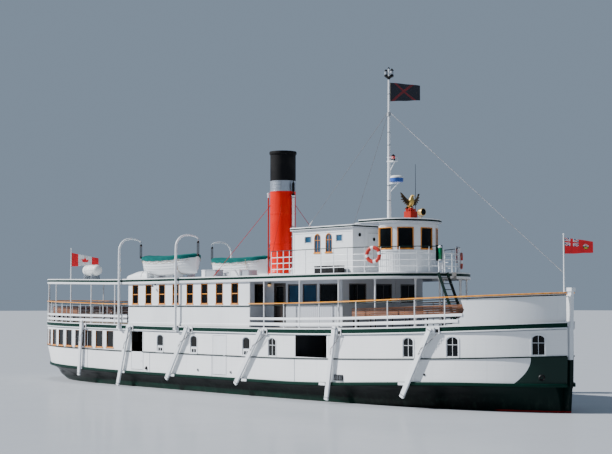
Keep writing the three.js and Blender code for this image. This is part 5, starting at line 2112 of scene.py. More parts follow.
@dataclass
class Door:
    """A hinged leaf with rails, panels, a light in its upper half and a handle."""

    width: float
    thick: float
    tall: float
    finish: Finish
    glazed: bool = False
    gap: float = 0.012
    stile: float = 0.1
    handle: Finish = BRASS
    plain: bool = False
    light: float = 0.0

    def build(self, name: str, node: str, slot: str, hinge: Sequence[float], along: Sequence[float],
              inward: Sequence[float]) -> None:
        """Builds the leaf from its hinge at the sill.

        Args:
            name: the piece's name.
            node: the node and body it stands for.
            slot: not used.
            hinge: foot of the hinge line.
            along: direction from the hinge along the closed leaf.
            inward: direction to the side the leaf opens to.
        """
        made = upright(hinge, along, inward)
        shell = Shell()
        g, front, back = self.gap, -self.thick - 0.005, -0.017
        width, tall = self.width - g, self.tall - g
        x0, x1, middle, core = g + self.stile, width - self.stile, tall * 0.5, -self.thick / 2 - 0.005
        if self.plain:
            shell.block((g + 0.01, g + 0.01, back - 0.002), (width - 0.01, tall - 0.01, front + 0.001),
                        self.finish, made)
        if self.light:
            porthole(shell, made @ Vector((width / 2, tall - 0.28, front)), -Vector(inward), self.light)
        for xa, xb, ya, yb in ((g, x0, g, tall), (x1, width, g, tall), (x0, x1, g, g + 0.16),
                               (x0, x1, middle - 0.05, middle + 0.05), (x0, x1, tall - 0.11, tall)):
            shell.block((xa, ya, back), (xb, yb, front), self.finish, made)
        for ya, yb, glass in ((g + 0.15, middle - 0.04, False), (middle + 0.04, tall - 0.1, self.glazed)):
            half = 0.003 if glass else 0.012
            shell.block((x0 - 0.01, ya, core - half), (x1 + 0.01, yb, core + half),
                        PANE if glass else self.finish, made)
        shell.rod(*(made @ Vector((g, y, 0)) for y in (0.0003, self.tall - 0.0003)), 0.01, self.handle, 12)
        for y in (tall * 0.14, tall * 0.5, tall * 0.86):
            shell.block((g - 0.006, y - 0.05, -0.01), (g + 0.07, y + 0.05, -0.002), self.handle, made)
            shell.rod(made @ Vector((g, y - 0.055, 0)), made @ Vector((g, y + 0.055, 0)), 0.0135, self.handle,
                      12)
        shell.turn(made @ Vector((width - 0.055, middle, front)), [
            (0, 0.0), (0.028, 0.0), (0.028, 0.004), (0.01, 0.008), (0.01, 0.03), (0.026, 0.038),
            (0.026, 0.05), (0, 0.056)], self.handle, 16, -Vector(inward))
        shell.piece(name, node, replaces=(node,), bevel=0.003)


def post(shell: Shell, p: Mark, radius: float, low: float, high: float) -> None:
    """Adds a round post on a foot flange.

    Args:
        shell: where the faces go.
        p: its place.
        radius: its radius.
        low: height of its foot.
        high: height of its head.
    """
    shell.rod((p.x, p.y, low + 0.002), (p.x, p.y, high), radius, WHITE, 12)
    flange = [(0, 0.001), (radius * 2.0, 0.001), (radius * 2.0, 0.008), (radius * 1.3, 0.02), (0, 0.022)]
    shell.turn((p.x, p.y, low), flange, WHITE, 12)


@dataclass
class Rails:
    """Promenade deck rails: varnished handrail, pipe, boards, stanchions and roof posts."""

    aft_posts: tuple = (-8.57, -10.98, -13.2, -15.3, -17.1, -18.6)
    aft_stanchions: tuple = (-9.75, -12.1, -14.3, -16.2, -17.9, -19.15)
    fore_stanchions: tuple = (5.77, 8.26, 10.64, 12.47, 13.87, 15.26)
    side_posts: tuple = (4.32, 6.9)
    bulwark_x: float = 16.0
    end_x: float = 19.43

    def build(self) -> None:
        """Builds the aft rail and the two fore rails."""
        path = round_tip(run(LINES.side, -19.44, -7.34, tip=True))
        shell = Shell()
        self.bars(shell, path, path)
        for side in (-1, 1):
            self.posts(shell, side, self.aft_posts, self.aft_stanchions)
            for x in steps(-7.9, -18.9, 15):
                p = edge(LINES.side, at(LINES.side, x), -0.03, side)
                shell.rod((p.x, p.y, LINES.deck(p.x) + 0.01), (p.x, p.y, LINES.rail(p.x) - 0.1), 0.014, WHITE,
                          6)
        shell.piece("aft_rail_bars", replaces=("aft_rail",), sharp=40)
        for side in Side:
            shell = Shell()
            self.bars(shell, *([(s, side.value) for s in run(LINES.side, 3.17, end)]
                               for end in (self.end_x, self.bulwark_x)))
            self.posts(shell, side.value, self.side_posts, self.fore_stanchions)
            shell.piece(f"fore_rail_bars_{side.label}",
                        replaces=(f"fore_rail_{side.label}",), sharp=40)

    @staticmethod
    def posts(shell: Shell, side: int, tall: Sequence[float], short: Sequence[float]) -> None:
        """Adds the posts up to the roof and the stanchions up to the handrail.

        Args:
            shell: where the faces go.
            side: 1 to port, -1 to starboard.
            tall: places of the posts.
            short: places of the stanchions.
        """
        for xs, radius, head in ((tall, 0.034, above(LINES.roof, -0.2909)),
                                 (short, 0.026, above(LINES.rail, -0.03))):
            for x in xs:
                p = edge(LINES.side, at(LINES.side, x), -0.008, side)
                post(shell, p, radius, LINES.deck(p.x), head(p.x))

    def bars(self, shell: Shell, path: list, low: list) -> None:
        """Adds the handrail, the pipe under it and the two low boards.

        Args:
            shell: where the faces go.
            path: places and sides of handrail and pipe.
            low: places and sides of the boards.
        """
        shell.band(path, over(LINES.rail, [
            (0.045, -0.045), (0.045, -0.018), (0.03, -0.004), (0.0, 0.0), (-0.03, -0.004), (-0.045, -0.018),
            (-0.045, -0.045), (-0.03, -0.06), (0.03, -0.06)]), VARNISH)
        shell.pipe(path, 0.02, LINES.rail, -0.12, DARK_GREEN)
        for z0, z1, end in ((0.11, 0.24, 15.82), (0.37, 0.48, 15.99)):
            line = [p for p in low if p[0] < at(LINES.side, end)]
            if low[-1][0] > 2:
                line.append((at(LINES.side, end), low[-1][1]))
            board = [(0.012, z0), (0.012, z1 - 0.01), (0.006, z1), (-0.006, z1), (-0.012, z1 - 0.01),
                     (-0.012, z0)]
            shell.band(line, over(LINES.deck, board), WHITE)


@dataclass
class Bulwarks:
    """White plated sides of the foredeck, swept up from the deck to the rail."""

    aft: float = 15.4
    full: float = 16.15
    end: float = 19.43
    hook: float = 15.83
    rise: tuple = (15.45, 15.52, 15.62, 15.72, 15.82, 15.9, 15.95, 16.0, 16.04, 16.07, 16.1, 16.12, 16.14,
                   16.15)

    def top(self, x: float) -> float:
        """Height of its upper edge, which falls in a hollow curve to the deck at the after end.

        Args:
            x: where along the ship.

        Returns:
            The height.
        """
        t = min(1.0, max(0.0, (x - self.aft) / (self.full - self.aft)))
        share = 1 - 0.97 * math.sqrt(1 - t * t)
        return LINES.deck(x) + (LINES.rail(x) - 0.0605 - LINES.deck(x)) * share

    def under(self, x: float) -> float:
        """Height of the foot of the hook under the rail."""
        return LINES.rail(x) - 0.09 - 10.0 * max(0.0, min(x, 16.05) - self.hook) ** 2

    def build(self) -> None:
        """Builds both sides."""
        for side in Side:
            shell = Shell()
            swept = (at(LINES.side, x) for x in (self.aft, *self.rise))
            path = [(s, side.value) for s in sorted({*run(LINES.side, self.full, self.end), *swept})]
            hook = [(at(LINES.side, x), side.value) for x in steps(self.hook, self.full, 9)]
            cap = [p for p in path if p[0] > at(LINES.side, self.full)]
            for line, out, low, high in ((path, -0.015, above(LINES.deck, 0.0005), self.top),
                                         (hook, -0.014, self.under, above(LINES.rail, -0.0605))):
                back = -0.09 - out
                shell.band(line, [(out, low), (out, high), (back, high), (back, low)], WHITE)
            rim = [(-0.075, -0.1), (-0.06, -0.062), (-0.13, -0.062), (-0.13, -0.1)]
            shell.band(cap, over(LINES.rail, rim), WHITE)
            for x in (16.6, 17.3, 18.0, 18.5):
                p = edge(LINES.side, at(LINES.side, x), -0.09, side.value)
                shell.rod((p.x, p.y - side.value * 0.12, LINES.deck(x) + 0.002),
                          (p.x, p.y, LINES.rail(x) - 0.1), 0.018, WHITE, 10)
            shell.piece(f"bulwark_plate_{side.label}", replaces=(f"bulwark_{side.label}",))


ROOF_FRONT = (2.1, 2.2, 2.32, 2.43, 2.56, 2.69, 2.79, 2.88, 2.95)


@dataclass
class Porch:
    """Curved beam and posts under the front of the roof."""

    posts: tuple = (2.2, 2.43, 2.69, 2.88)

    def build(self) -> None:
        """Builds the beam and its posts."""
        shell = Shell()
        beam = [(-0.1, -0.26), (-0.1, -0.1005), (-0.18, -0.1005), (-0.18, -0.26)]
        shell.band(round_tip(steps(2.1, 2.95, 22), bow=True), over(LINES.roof, beam), WHITE, LINES.top)
        for side in (-1, 1):
            for s in self.posts:
                p = edge(LINES.top, s, -0.14, side)
                foot, head = LINES.deck(p.x) + 0.001, LINES.roof(p.x) - 0.26
                shell.turn((p.x, p.y, 0), [
                    (0, foot), (0.075, foot), (0.075, foot + 0.02), (0.045, foot + 0.08), (0.04, foot + 0.2),
                    (0.04, head - 0.2), (0.047, head - 0.09), (0.07, head - 0.03), (0.07, head + 0.004),
                    (0, head + 0.004)], WHITE, 20)
        shell.piece("porch_beam", replaces=("porch_frame",), sharp=30)


@dataclass
class Benches:
    """Slatted benches beside the rails."""

    iron: tuple = ((-0.19, 0.19, 0.022, 0.372, 0.404), (-0.17, -0.12, 0.02, 0.0, 0.374),
                   (0.12, 0.17, 0.02, 0.0, 0.374), (-0.17, 0.17, 0.016, 0.1, 0.13),
                   (0.21, 0.235, 0.018, 0.36, 0.85))

    def build(self) -> None:
        """Builds the two fore benches and the bench round the stern."""
        for side in Side:
            shell = Shell()
            self.bench(shell, [(s, side.value) for s in run(LINES.side, 10.1, 16.3)])
            shell.piece(f"fore_bench_slats_{side.label}",
                        replaces=(f"fore_bench_{side.label}",))
        shell = Shell()
        self.bench(shell, round_tip(run(LINES.side, -18.9, -12.8, tip=True)))
        shell.piece("aft_bench_slats", replaces=("aft_bench",))

    def bench(self, shell: Shell, path: list) -> None:
        """Adds seat and back slats along a path, on cast legs.

        Args:
            shell: where the faces go.
            path: places and sides, in order.
        """
        for d in [-0.335 - 0.087 * i for i in range(5)]:
            seat = [(d, 0.405), (d, 0.428), (d - 0.006, 0.43), (d - 0.066, 0.43), (d - 0.072, 0.428),
                    (d - 0.072, 0.405)]
            shell.band(path, over(LINES.deck, seat), BENCH_WOOD)
        for z in (0.47, 0.57, 0.67, 0.77):
            back = [(-0.295, z), (-0.292, z + 0.084), (-0.297, z + 0.09), (-0.312, z + 0.09),
                    (-0.317, z + 0.084), (-0.318, z)]
            shell.band(path, over(LINES.deck, back), BENCH_WOOD)
        for s, side in path[::2]:
            p = edge(LINES.side, s, -0.54, side)
            q = edge(LINES.side, s, 0.0, side)
            foot = max(LINES.deck(p.x - 0.03), LINES.deck(p.x + 0.03)) + 0.001
            made = Matrix(((q.nx, -q.ny, 0), (q.ny, q.nx, 0), (0, 0, 1))).to_4x4()
            made.translation = Vector((p.x, p.y, foot))
            for x0, x1, half, z0, z1 in self.iron:
                shell.block((x0, -half, z0), (x1, half, z1), BLACK, made)


def rounded(x0: float, x1: float, y0: float, y1: float, radius: float, grow: float = 0.0) -> list:
    """Outline of a rectangle with rounded corners, grown by a distance.

    Args:
        x0: aft end.
        x1: forward end.
        y0: starboard edge.
        y1: port edge.
        radius: radius of the corners.
        grow: distance outwards.

    Returns:
        Its points.
    """
    x0, x1, y0, y1, radius = x0 - grow, x1 + grow, y0 - grow, y1 + grow, max(0.01, radius + grow)
    made = []
    for cx, cy, start in ((x1, y1, 0), (x0, y1, 90), (x0, y0, 180), (x1, y0, 270)):
        mx = cx - math.copysign(radius, cx - (x0 + x1) / 2)
        my = cy - math.copysign(radius, cy - (y0 + y1) / 2)
        made += [(mx + radius * math.cos(math.radians(a)), my + radius * math.sin(math.radians(a)))
                 for a in steps(start, start + 90, 4)]
    return made


@dataclass
class HurricaneDeck:
    """Roof over the promenade deck, with lip, band and beam, lockers, hood, vents and coaming."""

    lockers: tuple = ((-1.35, -0.65, -1.3, -0.7, 0.42, WHITE), (-0.55, 0.0, -1.2, -0.65, 0.38, GREY),
                      (6.26, 7.94, -2.25, -1.85, 0.40, BLACK))
    hood: tuple = (-12.1, -9.3, -0.65, 0.65, 0.62)
    chests: tuple = ((-2.62, -2.3, WHITE), (-2.26, -1.4, GREY))
    funnel_x: float = 1.28

    def build(self) -> None:
        """Builds the roof and what stands on it."""
        shell = Shell()
        places = [*run(LINES.top, -19.42, 7.55, tip=True), *steps(2.06, 2.94, 20), 2.962, 2.976]
        edges = [(0.04, 0.0), (0.043, -0.05), (0.03, -0.056), (0.03, -0.17), (0.038, -0.176), (0.038, -0.27),
                 (0.028, -0.288), (-0.06, -0.288), (-0.06, -0.1)]
        rings = []
        for s in places:
            half = []
            for out, drop in edges:
                p = edge(LINES.top, s, out)
                half.append((p.x, max(p.y, 0.001), LINES.roof(p.x) + drop))
            rings.append(half + [(x, -y, z) for x, y, z in reversed(half)])
        # The rim's underside and inner face and the deckhead take the white with painted shade.
        rim = [ROOF_WHITE, WHITE, GREEN, WHITE, WHITE, WHITE, SHADE_PAINTED_WHITE, SHADE_PAINTED_WHITE]
        shell.loft(rings, [*rim, SHADE_PAINTED_WHITE, *reversed(rim), ROOF_WHITE])
        self.beams(shell)
        for *box, tall, finish in self.lockers:
            low = LINES.roof(box[0]) - 0.04
            self.chest(shell, box, 0.02, (low, low + tall, 0.035), finish)
        for x0, x1, finish in self.chests:
            self.chest(shell, (x0, x1, -2.25, -1.75), 0.03, (5.7, 6.12, 0.04), finish)
        self.hood_cover(shell)
        c = self.funnel_x
        plan = lambda g: rounded(c - 0.9, c + 0.9, -0.9, 0.9, 0.05, g)
        shell.stack(plan, [(0.0, 5.72, WHITE), (0.0, 5.9, WHITE), (0.015, 5.905, WHITE),
                           (0.015, 5.93, WHITE)])
        for x, y, tall in ((-3.9, 0.9, 0.34), (-2.3, -0.9, 0.3), (3.2, -1.0, 0.36), (3.2, 1.0, 0.36)):
            self.vent(shell, x, y, tall)
        shell.piece("hurricane_deck_canvas", replaces=("hurricane_deck",), sharp=35)

    @staticmethod
    def chest(shell: Shell, box: Sequence[float], corner: float, levels: tuple[float, float, float],
              finish: Finish) -> None:
        """Adds a chest whose lid stands out a little.

        Args:
            shell: where the faces go.
            box: its ends in x and in y.
            corner: radius of its corners.
            levels: heights of its foot and its top, and thickness of the lid.
            finish: its finish.
        """
        low, top, lid = levels
        shell.stack(lambda g: rounded(*box, corner, g), [(g, z, finish) for g, z in (
            (0.0, low), (0.0, top), (0.02, top + 0.005), (0.02, top + lid), (-0.02, top + lid + 0.01))])

    def beams(self, shell: Shell) -> None:
        """Adds the roof beams that show under the deckhead, in white with painted shade.

        Args:
            shell: where the faces go.
        """
        for x in [-18.4 + 0.9 * i for i in range(13)] + [9.1 + 0.75 * i for i in range(5)]:
            half = edge(LINES.top, at(LINES.top, x), -0.1).y
            z = LINES.roof(x) - 0.1
            shell.block((x - 0.025, -half, z - 0.075), (x + 0.025, half, z + 0.003), SHADE_PAINTED_WHITE)

    def hood_cover(self, shell: Shell) -> None:
        """Adds the rounded white hood over the stair, low at its after end.

        Args:
            shell: where the faces go.
        """
        x0, x1, y0, y1, tall = self.hood
        low = LINES.roof(x1) - 0.03
        rings = []
        for x, k in ((x0, 0.3), (x0 + 0.05, 0.45), (x0 + 0.7, 0.86), (x0 + 1.4, 0.97), (x1 - 0.25, 1.0),
                     (x1 - 0.05, 0.97), (x1, 0.8)):
            arc = [(x, y1 * math.cos(a) * (0.9 + 0.1 * k), low + 0.2 + (tall - 0.2) * k * math.sin(a) ** 0.8)
                   for a in steps(0, math.pi, 14)]
            rings.append([(x, y1, low), *arc, (x, y0, low)])
        shell.loft(rings, WHITE)
        for x in (x1 - 1.3, x1 - 0.3):
            line = [(x, y1 * math.cos(a) * 1.012, low + 0.2 + (tall - 0.19) * math.sin(a) ** 0.8)
                    for a in steps(0, math.pi, 14)]
            shell.tube(line, 0.014, STEEL, 6)

    @staticmethod
    def vent(shell: Shell, x: float, y: float, tall: float) -> None:
        """Adds a mushroom vent.

        Args:
            shell: where the faces go.
            x: its x.
            y: its y.
            tall: its height.
        """
        z = LINES.roof(x)
        shell.turn((x, y, z), [
            (0, -0.01), (0.13, -0.01), (0.13, 0.01), (0.09, 0.03), (0.085, tall - 0.06), (0.17, tall - 0.05),
            (0.175, tall - 0.02), (0.12, tall + 0.03), (0, tall + 0.05)], WHITE, 20)


@dataclass
class OfficersCabin:
    """Officers' cabin on the hurricane deck, with its door and overhanging roof."""

    aft: float = 4.11
    fwd: float = 8.33
    half: float = 1.7
    top: float = 7.92
    thick: float = 0.06
    square: tuple = ((5.19, 7.3, 0.47, 0.31), (7.4, 7.31, 0.43, 0.32))
    arched: tuple = ((5.87, 6.83, 0.42, 0.88, 0.2), (6.68, 6.83, 0.42, 0.88, 0.2))
    door_y: float = -0.35
    door_wide: float = 0.76
    door_head: float = 7.7

    def build(self) -> None:
        """Builds walls, door and roof."""
        low = LINES.roof(self.fwd) + 0.0005
        plan = Plan([(self.aft, -self.half), (self.fwd, -self.half), (self.fwd, self.half),
                     (self.aft, self.half)])
        wall = Wall(plan.place, lambda u: low, lambda u: self.top)
        holes, fitted = [], []
        # Both kinds of window get glass whose blue is a painted sky reflection.
        wood = Sash(SASH_WOOD, SASH_WOOD, 0.014, 0.012, 0.022, upright=(0.5,), level=(0.66,), sill=SASH_WOOD,
                    bar=0.01, pane=SKY_REFLECTION_PANE)
        plain = Sash(WHITE, WHITE, 0.03, 0.016, 0.02, pane=SKY_REFLECTION_PANE)
        for s in (-1, 1):
            for x, sill, w, h, rise, style in ([(*o, wood) for o in self.arched]
                                               + [(*o, 0.0, plain) for o in self.square]):
                u = plan.nearest(x, s * self.half)
                holes.append((u - w / 2, u + w / 2, sill, sill + h, rise))
                fitted.append((style, plan.frame(u, sill), w, h, rise))
        door = plan.nearest(self.fwd, self.door_y)
        holes.append((door - self.door_wide / 2, door + self.door_wide / 2, low + 0.1, self.door_head, 0.0))
        shell = Shell()
        columns = sorted({*plan.marks, *steps(0, plan.marks[-1], 24)})
        wall.build(shell, columns, holes, self.thick, WHITE, SHADE_LINING, ends=False)
        for style, frame_, w, h, rise in fitted:
            style.fit(shell, frame_, w, h, rise)
        self.trim(shell, plan, low, door)
        shell.piece("officers_cabin_boards", replaces=("officers_cabin",), sharp=30)
        leaf = Door(self.door_wide, self.thick, self.door_head - low - 0.1, WHITE, light=0.09)
        leaf.build("officers_door_leaf", "officers_door", "white_paint",
                   (self.fwd - self.thick, self.door_y - self.door_wide / 2, low + 0.1), (0, 1, 0),
                   (-1, 0, 0))
        self.roof()

    def trim(self, shell: Shell, plan: Plan, low: float, door: float) -> None:
        """Adds plinth, head moulding, door casing, porthole and corner boards.

        Args:
            shell: where the faces go.
            plan: the wall's outline.
            low: height of the wall's foot.
            door: place of the door along the wall.
        """
        for z0, z1, out, order in ((low, low + 0.1, 0.016, (2, 3, 0, 1)), (7.76, 7.9, 0.02, (0, 1, 2, 3))):
            corners = ((-0.001, z0), (out, z0), (out, z1), (-0.001, z1))
            rings = [[plan.place(plan.marks[k], z, -d) for d, z in corners] for k in order]
            shell.loft(rings, WHITE, loop=z0 > 7)
        casing(shell, plan.frame(door, low + 0.1), (self.door_wide, self.door_head - low - 0.1), 0.05, -0.02,
               (-0.004, 0.016), WHITE)
        for y in (-1.27, 0.9):
            porthole(shell, (self.fwd, y, 7.6), (1, 0, 0), 0.09)
        for x, y in ((self.aft, -self.half), (self.fwd, -self.half), (self.fwd, self.half),
                     (self.aft, self.half)):
            sx, sy = math.copysign(1, x - 6), math.copysign(1, y)
            corner = [(x + sx * 0.012, y + sy * 0.012), (x - sx * 0.07, y + sy * 0.012),
                      (x - sx * 0.07, y - sy * 0.001), (x - sx * 0.001, y - sy * 0.001),
                      (x - sx * 0.001, y - sy * 0.07), (x + sx * 0.012, y - sy * 0.07)]
            shell.loft([[(a, b, z) for a, b in corner] for z in (low + 0.1, 7.76)], WHITE)

    def roof(self) -> None:
        """Builds the roof: white canvas top, green edge and a soffit in white with painted shade."""
        shell = Shell()
        half = self.half + 0.13
        plan = lambda g: rounded(self.aft - 0.2, self.fwd + 0.22, -half, half, 0.16, g)
        house_roof(shell, plan, self.top + 0.0005, (0.03, 0.1), (-0.03, 8.07, 8.07))
        shell.turn((6.1, 0.7, 8.066), [
            (0, 0), (0.13, 0), (0.13, 0.02), (0.085, 0.03), (0.08, 0.18), (0.16, 0.19), (0.16, 0.21),
            (0.09, 0.26), (0, 0.27)], WHITE, 20)
        shell.piece("officers_roof_canvas", replaces=("officers_roof",), sharp=35)


def house_roof(shell: Shell, plan: Callable[[float], list], low: float, green: tuple[float, float],
               crown: tuple[float, float, float]) -> None:
    """Adds a deckhouse's roof: soffit in white with painted shade, white edge with a green band, canvas on
    top.

    Args:
        shell: where the faces go.
        plan: gives its outline grown by a distance.
        low: height of the soffit.
        green: start and end of the green band above it.
        crown: how far the canvas shoulder grows, its height and the height of the middle.
    """
    start, end = low + green[0], low + green[1]
    shell.stack(plan, [(-0.012, low, SHADE_PAINTED_WHITE), (0.0, low + 0.012, SHADE_PAINTED_WHITE), (0.0, start, WHITE),
                       (-0.006, start + 0.004, WHITE), (-0.006, end, DARK_GREEN), (0.0, end + 0.004, WHITE),
                       (0.0, end + 0.04, WHITE), (crown[0], crown[1], WHITE), (-0.5, crown[2], ROOF_WHITE)])


def porthole(shell: Shell, place: Sequence[float], out: Sequence[float], radius: float) -> None:
    """Adds a porthole with a painted ring that lies on a wall.

    Args:
        shell: where the faces go.
        place: its middle.
        out: direction out of the wall.
        radius: radius of the glass.
    """
    shell.turn(place, [(radius, -0.004), (radius + 0.025, -0.004), (radius + 0.025, 0.012),
                       (radius + 0.015, 0.022), (radius, 0.018)], WHITE, 24, out)
    shell.turn(place, [(0, 0.002), (radius + 0.005, 0.002), (radius + 0.005, 0.008), (0, 0.012)], PANE, 24,
               out)


@dataclass
class Wheelhouse:
    """Wheelhouse with a round front of vertical staves, its door, roof and searchlight."""

    aft: float = 9.9
    centre: float = 10.15
    run_: float = 1.28
    half: float = 1.55
    top: float = 8.09
    thick: float = 0.06
    roof_aft: float = 8.75
    sill: float = 6.89
    window: tuple[float, float] = (0.72, 0.94)
    angles: tuple = (-84, -42, 0, 42, 84)
    door_y: float = 0.7
    door_wide: float = 0.76

    def outline(self, aft: float, grow: float = 0.0) -> list[tuple[float, float]]:
        """Plan of the wall or, with another aft edge, of the roof.

        Args:
            aft: x of the straight after edge.
            grow: distance outwards.

        Returns:
            The corners.
        """
        arc = [(self.centre + (self.run_ + grow) * math.cos(a), (self.half + grow) * math.sin(a))
               for a in steps(-math.pi / 2, math.pi / 2, 30)]
        return [(aft, -self.half - grow), *arc, (aft, self.half + grow)]

    def build(self) -> None:
        """Builds wall, door and roof."""
        low = LINES.roof(self.centre + self.run_) + 0.0005
        plan = Plan(self.outline(self.aft))
        wall = Wall(plan.place, lambda u: low, lambda u: self.top)
        holes = []
        w, h = self.window
        for degrees in self.angles:
            a = math.radians(degrees)
            u = plan.nearest(self.centre + self.run_ * math.cos(a), self.half * math.sin(a))
            holes.append((u - w / 2, u + w / 2, self.sill, self.sill + h, 0.0))
        door = plan.nearest(self.aft, self.door_y)
        holes.append((door - self.door_wide / 2, door + self.door_wide / 2, low + 0.1, low + 1.95, 0.0))
        shell = Shell()
        wall.build(shell, sorted({*plan.marks, *steps(0, plan.marks[-1], 60)}), holes, self.thick, WHITE, SHADE_LINING,
                   ends=False)
        for u0, u1, z0, z1, _ in holes[:-1]:
            self.frame_round(shell, plan, u0, u1, z0, z1)
        self.staves(shell, plan, low)
        self.console(shell, low)
        shell.piece("wheelhouse_staves", replaces=("wheelhouse",), sharp=30)
        leaf = Door(self.door_wide, self.thick, 1.85, DOOR_WOOD, glazed=True)
        leaf.build("wheelhouse_door_leaf", "wheelhouse_door", "varnished_wood",
                   (self.aft + self.thick, self.door_y - self.door_wide / 2, low + 0.1), (0, 1, 0), (1, 0, 0))
        self.roof()

    @staticmethod
    def frame_round(shell: Shell, plan: Plan, u0: float, u1: float, z0: float, z1: float) -> None:
        """Adds one window's frame, sill and pane, bent to the wall's curve.

        Args:
            shell: where the faces go.
            plan: the wall's outline.
            u0: start of the opening along it.
            u1: its end.
            z0: height of its sill.
            z1: height of its head.
        """
        for a, b, low, high, back, front, finish in (
                (u0 - 0.02, u1 + 0.02, z0 - 0.05, z0 + 0.012, 0.05, -0.035, SASH_WOOD),
                (u0 - 0.02, u1 + 0.02, z1 - 0.022, z1 + 0.02, 0.05, -0.014, SASH_WOOD),
                (u0 - 0.02, u0 + 0.03, z0, z1, 0.05, -0.014, SASH_WOOD),
                (u1 - 0.03, u1 + 0.02, z0, z1, 0.05, -0.014, SASH_WOOD),
                (u0 + 0.02, u1 - 0.02, z0, z1, 0.036, 0.03, PANE)):
            corners = ((back, low), (front, low), (front, high), (back, high))
            shell.loft([[plan.place(u, z, d) for d, z in corners] for u in steps(a, b, 6)], finish)

    def staves(self, shell: Shell, plan: Plan, low: float) -> None:
        """Adds the battens under the windows and the mouldings round the front.

        Args:
            shell: where the faces go.
            plan: the wall's outline.
            low: height of the wall's foot.
        """
        lap = [u for u in steps(0, plan.marks[-1], 72) if plan.point(u).x > self.aft + 0.05]
        for u in lap:
            frame_ = plan.frame(u, low)
            shell.block((-0.008, 0.06, -0.002), (0.008, self.sill - low - 0.1, 0.009), WHITE, frame_)
        for z0, z1, out in ((low, low + 0.07, 0.022), (self.sill - 0.12, self.sill - 0.055, 0.026),
                            (7.9, 8.0, 0.024)):
            corners = ((-0.001, z0), (out, z0 + 0.006), (out, z1 - 0.01), (-0.001, z1))
            shell.loft([[plan.place(u, z, -d) for d, z in corners] for u in lap], WHITE)

    def console(self, shell: Shell, low: float) -> None:
        """Adds the steering wheel on its pedestal, which shows through the windows.

        Args:
            shell: where the faces go.
            low: height of the floor.
        """
        x = self.centre + 0.72
        shell.block((x + 0.12, -0.25, low), (x + 0.4, 0.25, low + 0.95), DOOR_WOOD)
        centre = Vector((x, 0, low + 1.0))
        rim = [centre + Vector((0, 0.42 * math.cos(a), 0.42 * math.sin(a))) for a in circle(24)]
        shell.tube(rim, 0.022, DOOR_WOOD, 8, loop=True)
        for a in circle(8):
            tip = Vector((0, math.cos(a), math.sin(a)))
            shell.rod(centre + tip * 0.06, centre + tip * 0.56, 0.014, DOOR_WOOD, 8)
        shell.turn(centre - Vector((0.04, 0, 0)), [(0, 0), (0.08, 0), (0.08, 0.08), (0.04, 0.16), (0, 0.16)],
                   BRASS, 20, (1, 0, 0))

    def roof(self) -> None:
        """Builds the roof with its green edge, the searchlight and small fittings."""
        shell = Shell()
        plan = lambda g: self.outline(self.roof_aft - g, 0.18 + g)
        house_roof(shell, plan, self.top + 0.0005, (0.026, 0.11), (-0.04, 8.25, 8.258))
        shell.turn((11.05, 0, 8.24), [(0, 0), (0.1, 0), (0.1, 0.02), (0.03, 0.03), (0.03, 0.12), (0, 0.12)],
                   BRASS, 20)
        for s in (-1, 1):
            shell.tube([(11.05, 0, 8.35), (11.05, s * 0.12, 8.37), (11.05, s * 0.185, 8.44),
                        (11.05, s * 0.19, 8.56)],
                       0.014, BRASS, 8)
            shell.rod((11.05, s * 0.16, 8.56), (11.05, s * 0.2, 8.56), 0.025, BRASS, 12)
        drum = [(0, -0.13), (0.09, -0.125), (0.135, -0.09), (0.15, -0.04), (0.152, 0.1), (0.168, 0.11),
                (0.168, 0.155), (0.15, 0.157), (0.148, 0.12), (0, 0.12)]
        for profile, finish, sides in (
                (drum, BRASS, 32), (((0, 0.135), (0.148, 0.135), (0.148, 0.142), (0, 0.15)), PANE, 32),
                (((0, -0.16), (0.03, -0.155), (0.03, -0.12), (0, -0.12)), BRASS, 16)):
            shell.turn((11.05, 0, 8.56), profile, finish, sides, (1, 0, 0))
        shell.turn((9.45, 0.9, 8.252), [
            (0, 0), (0.11, 0), (0.11, 0.02), (0.07, 0.03), (0.065, 0.16), (0.13, 0.17), (0.13, 0.19),
            (0, 0.23)], WHITE, 20)
        shell.piece("wheelhouse_roof_canvas", replaces=("wheelhouse_roof",), sharp=35)


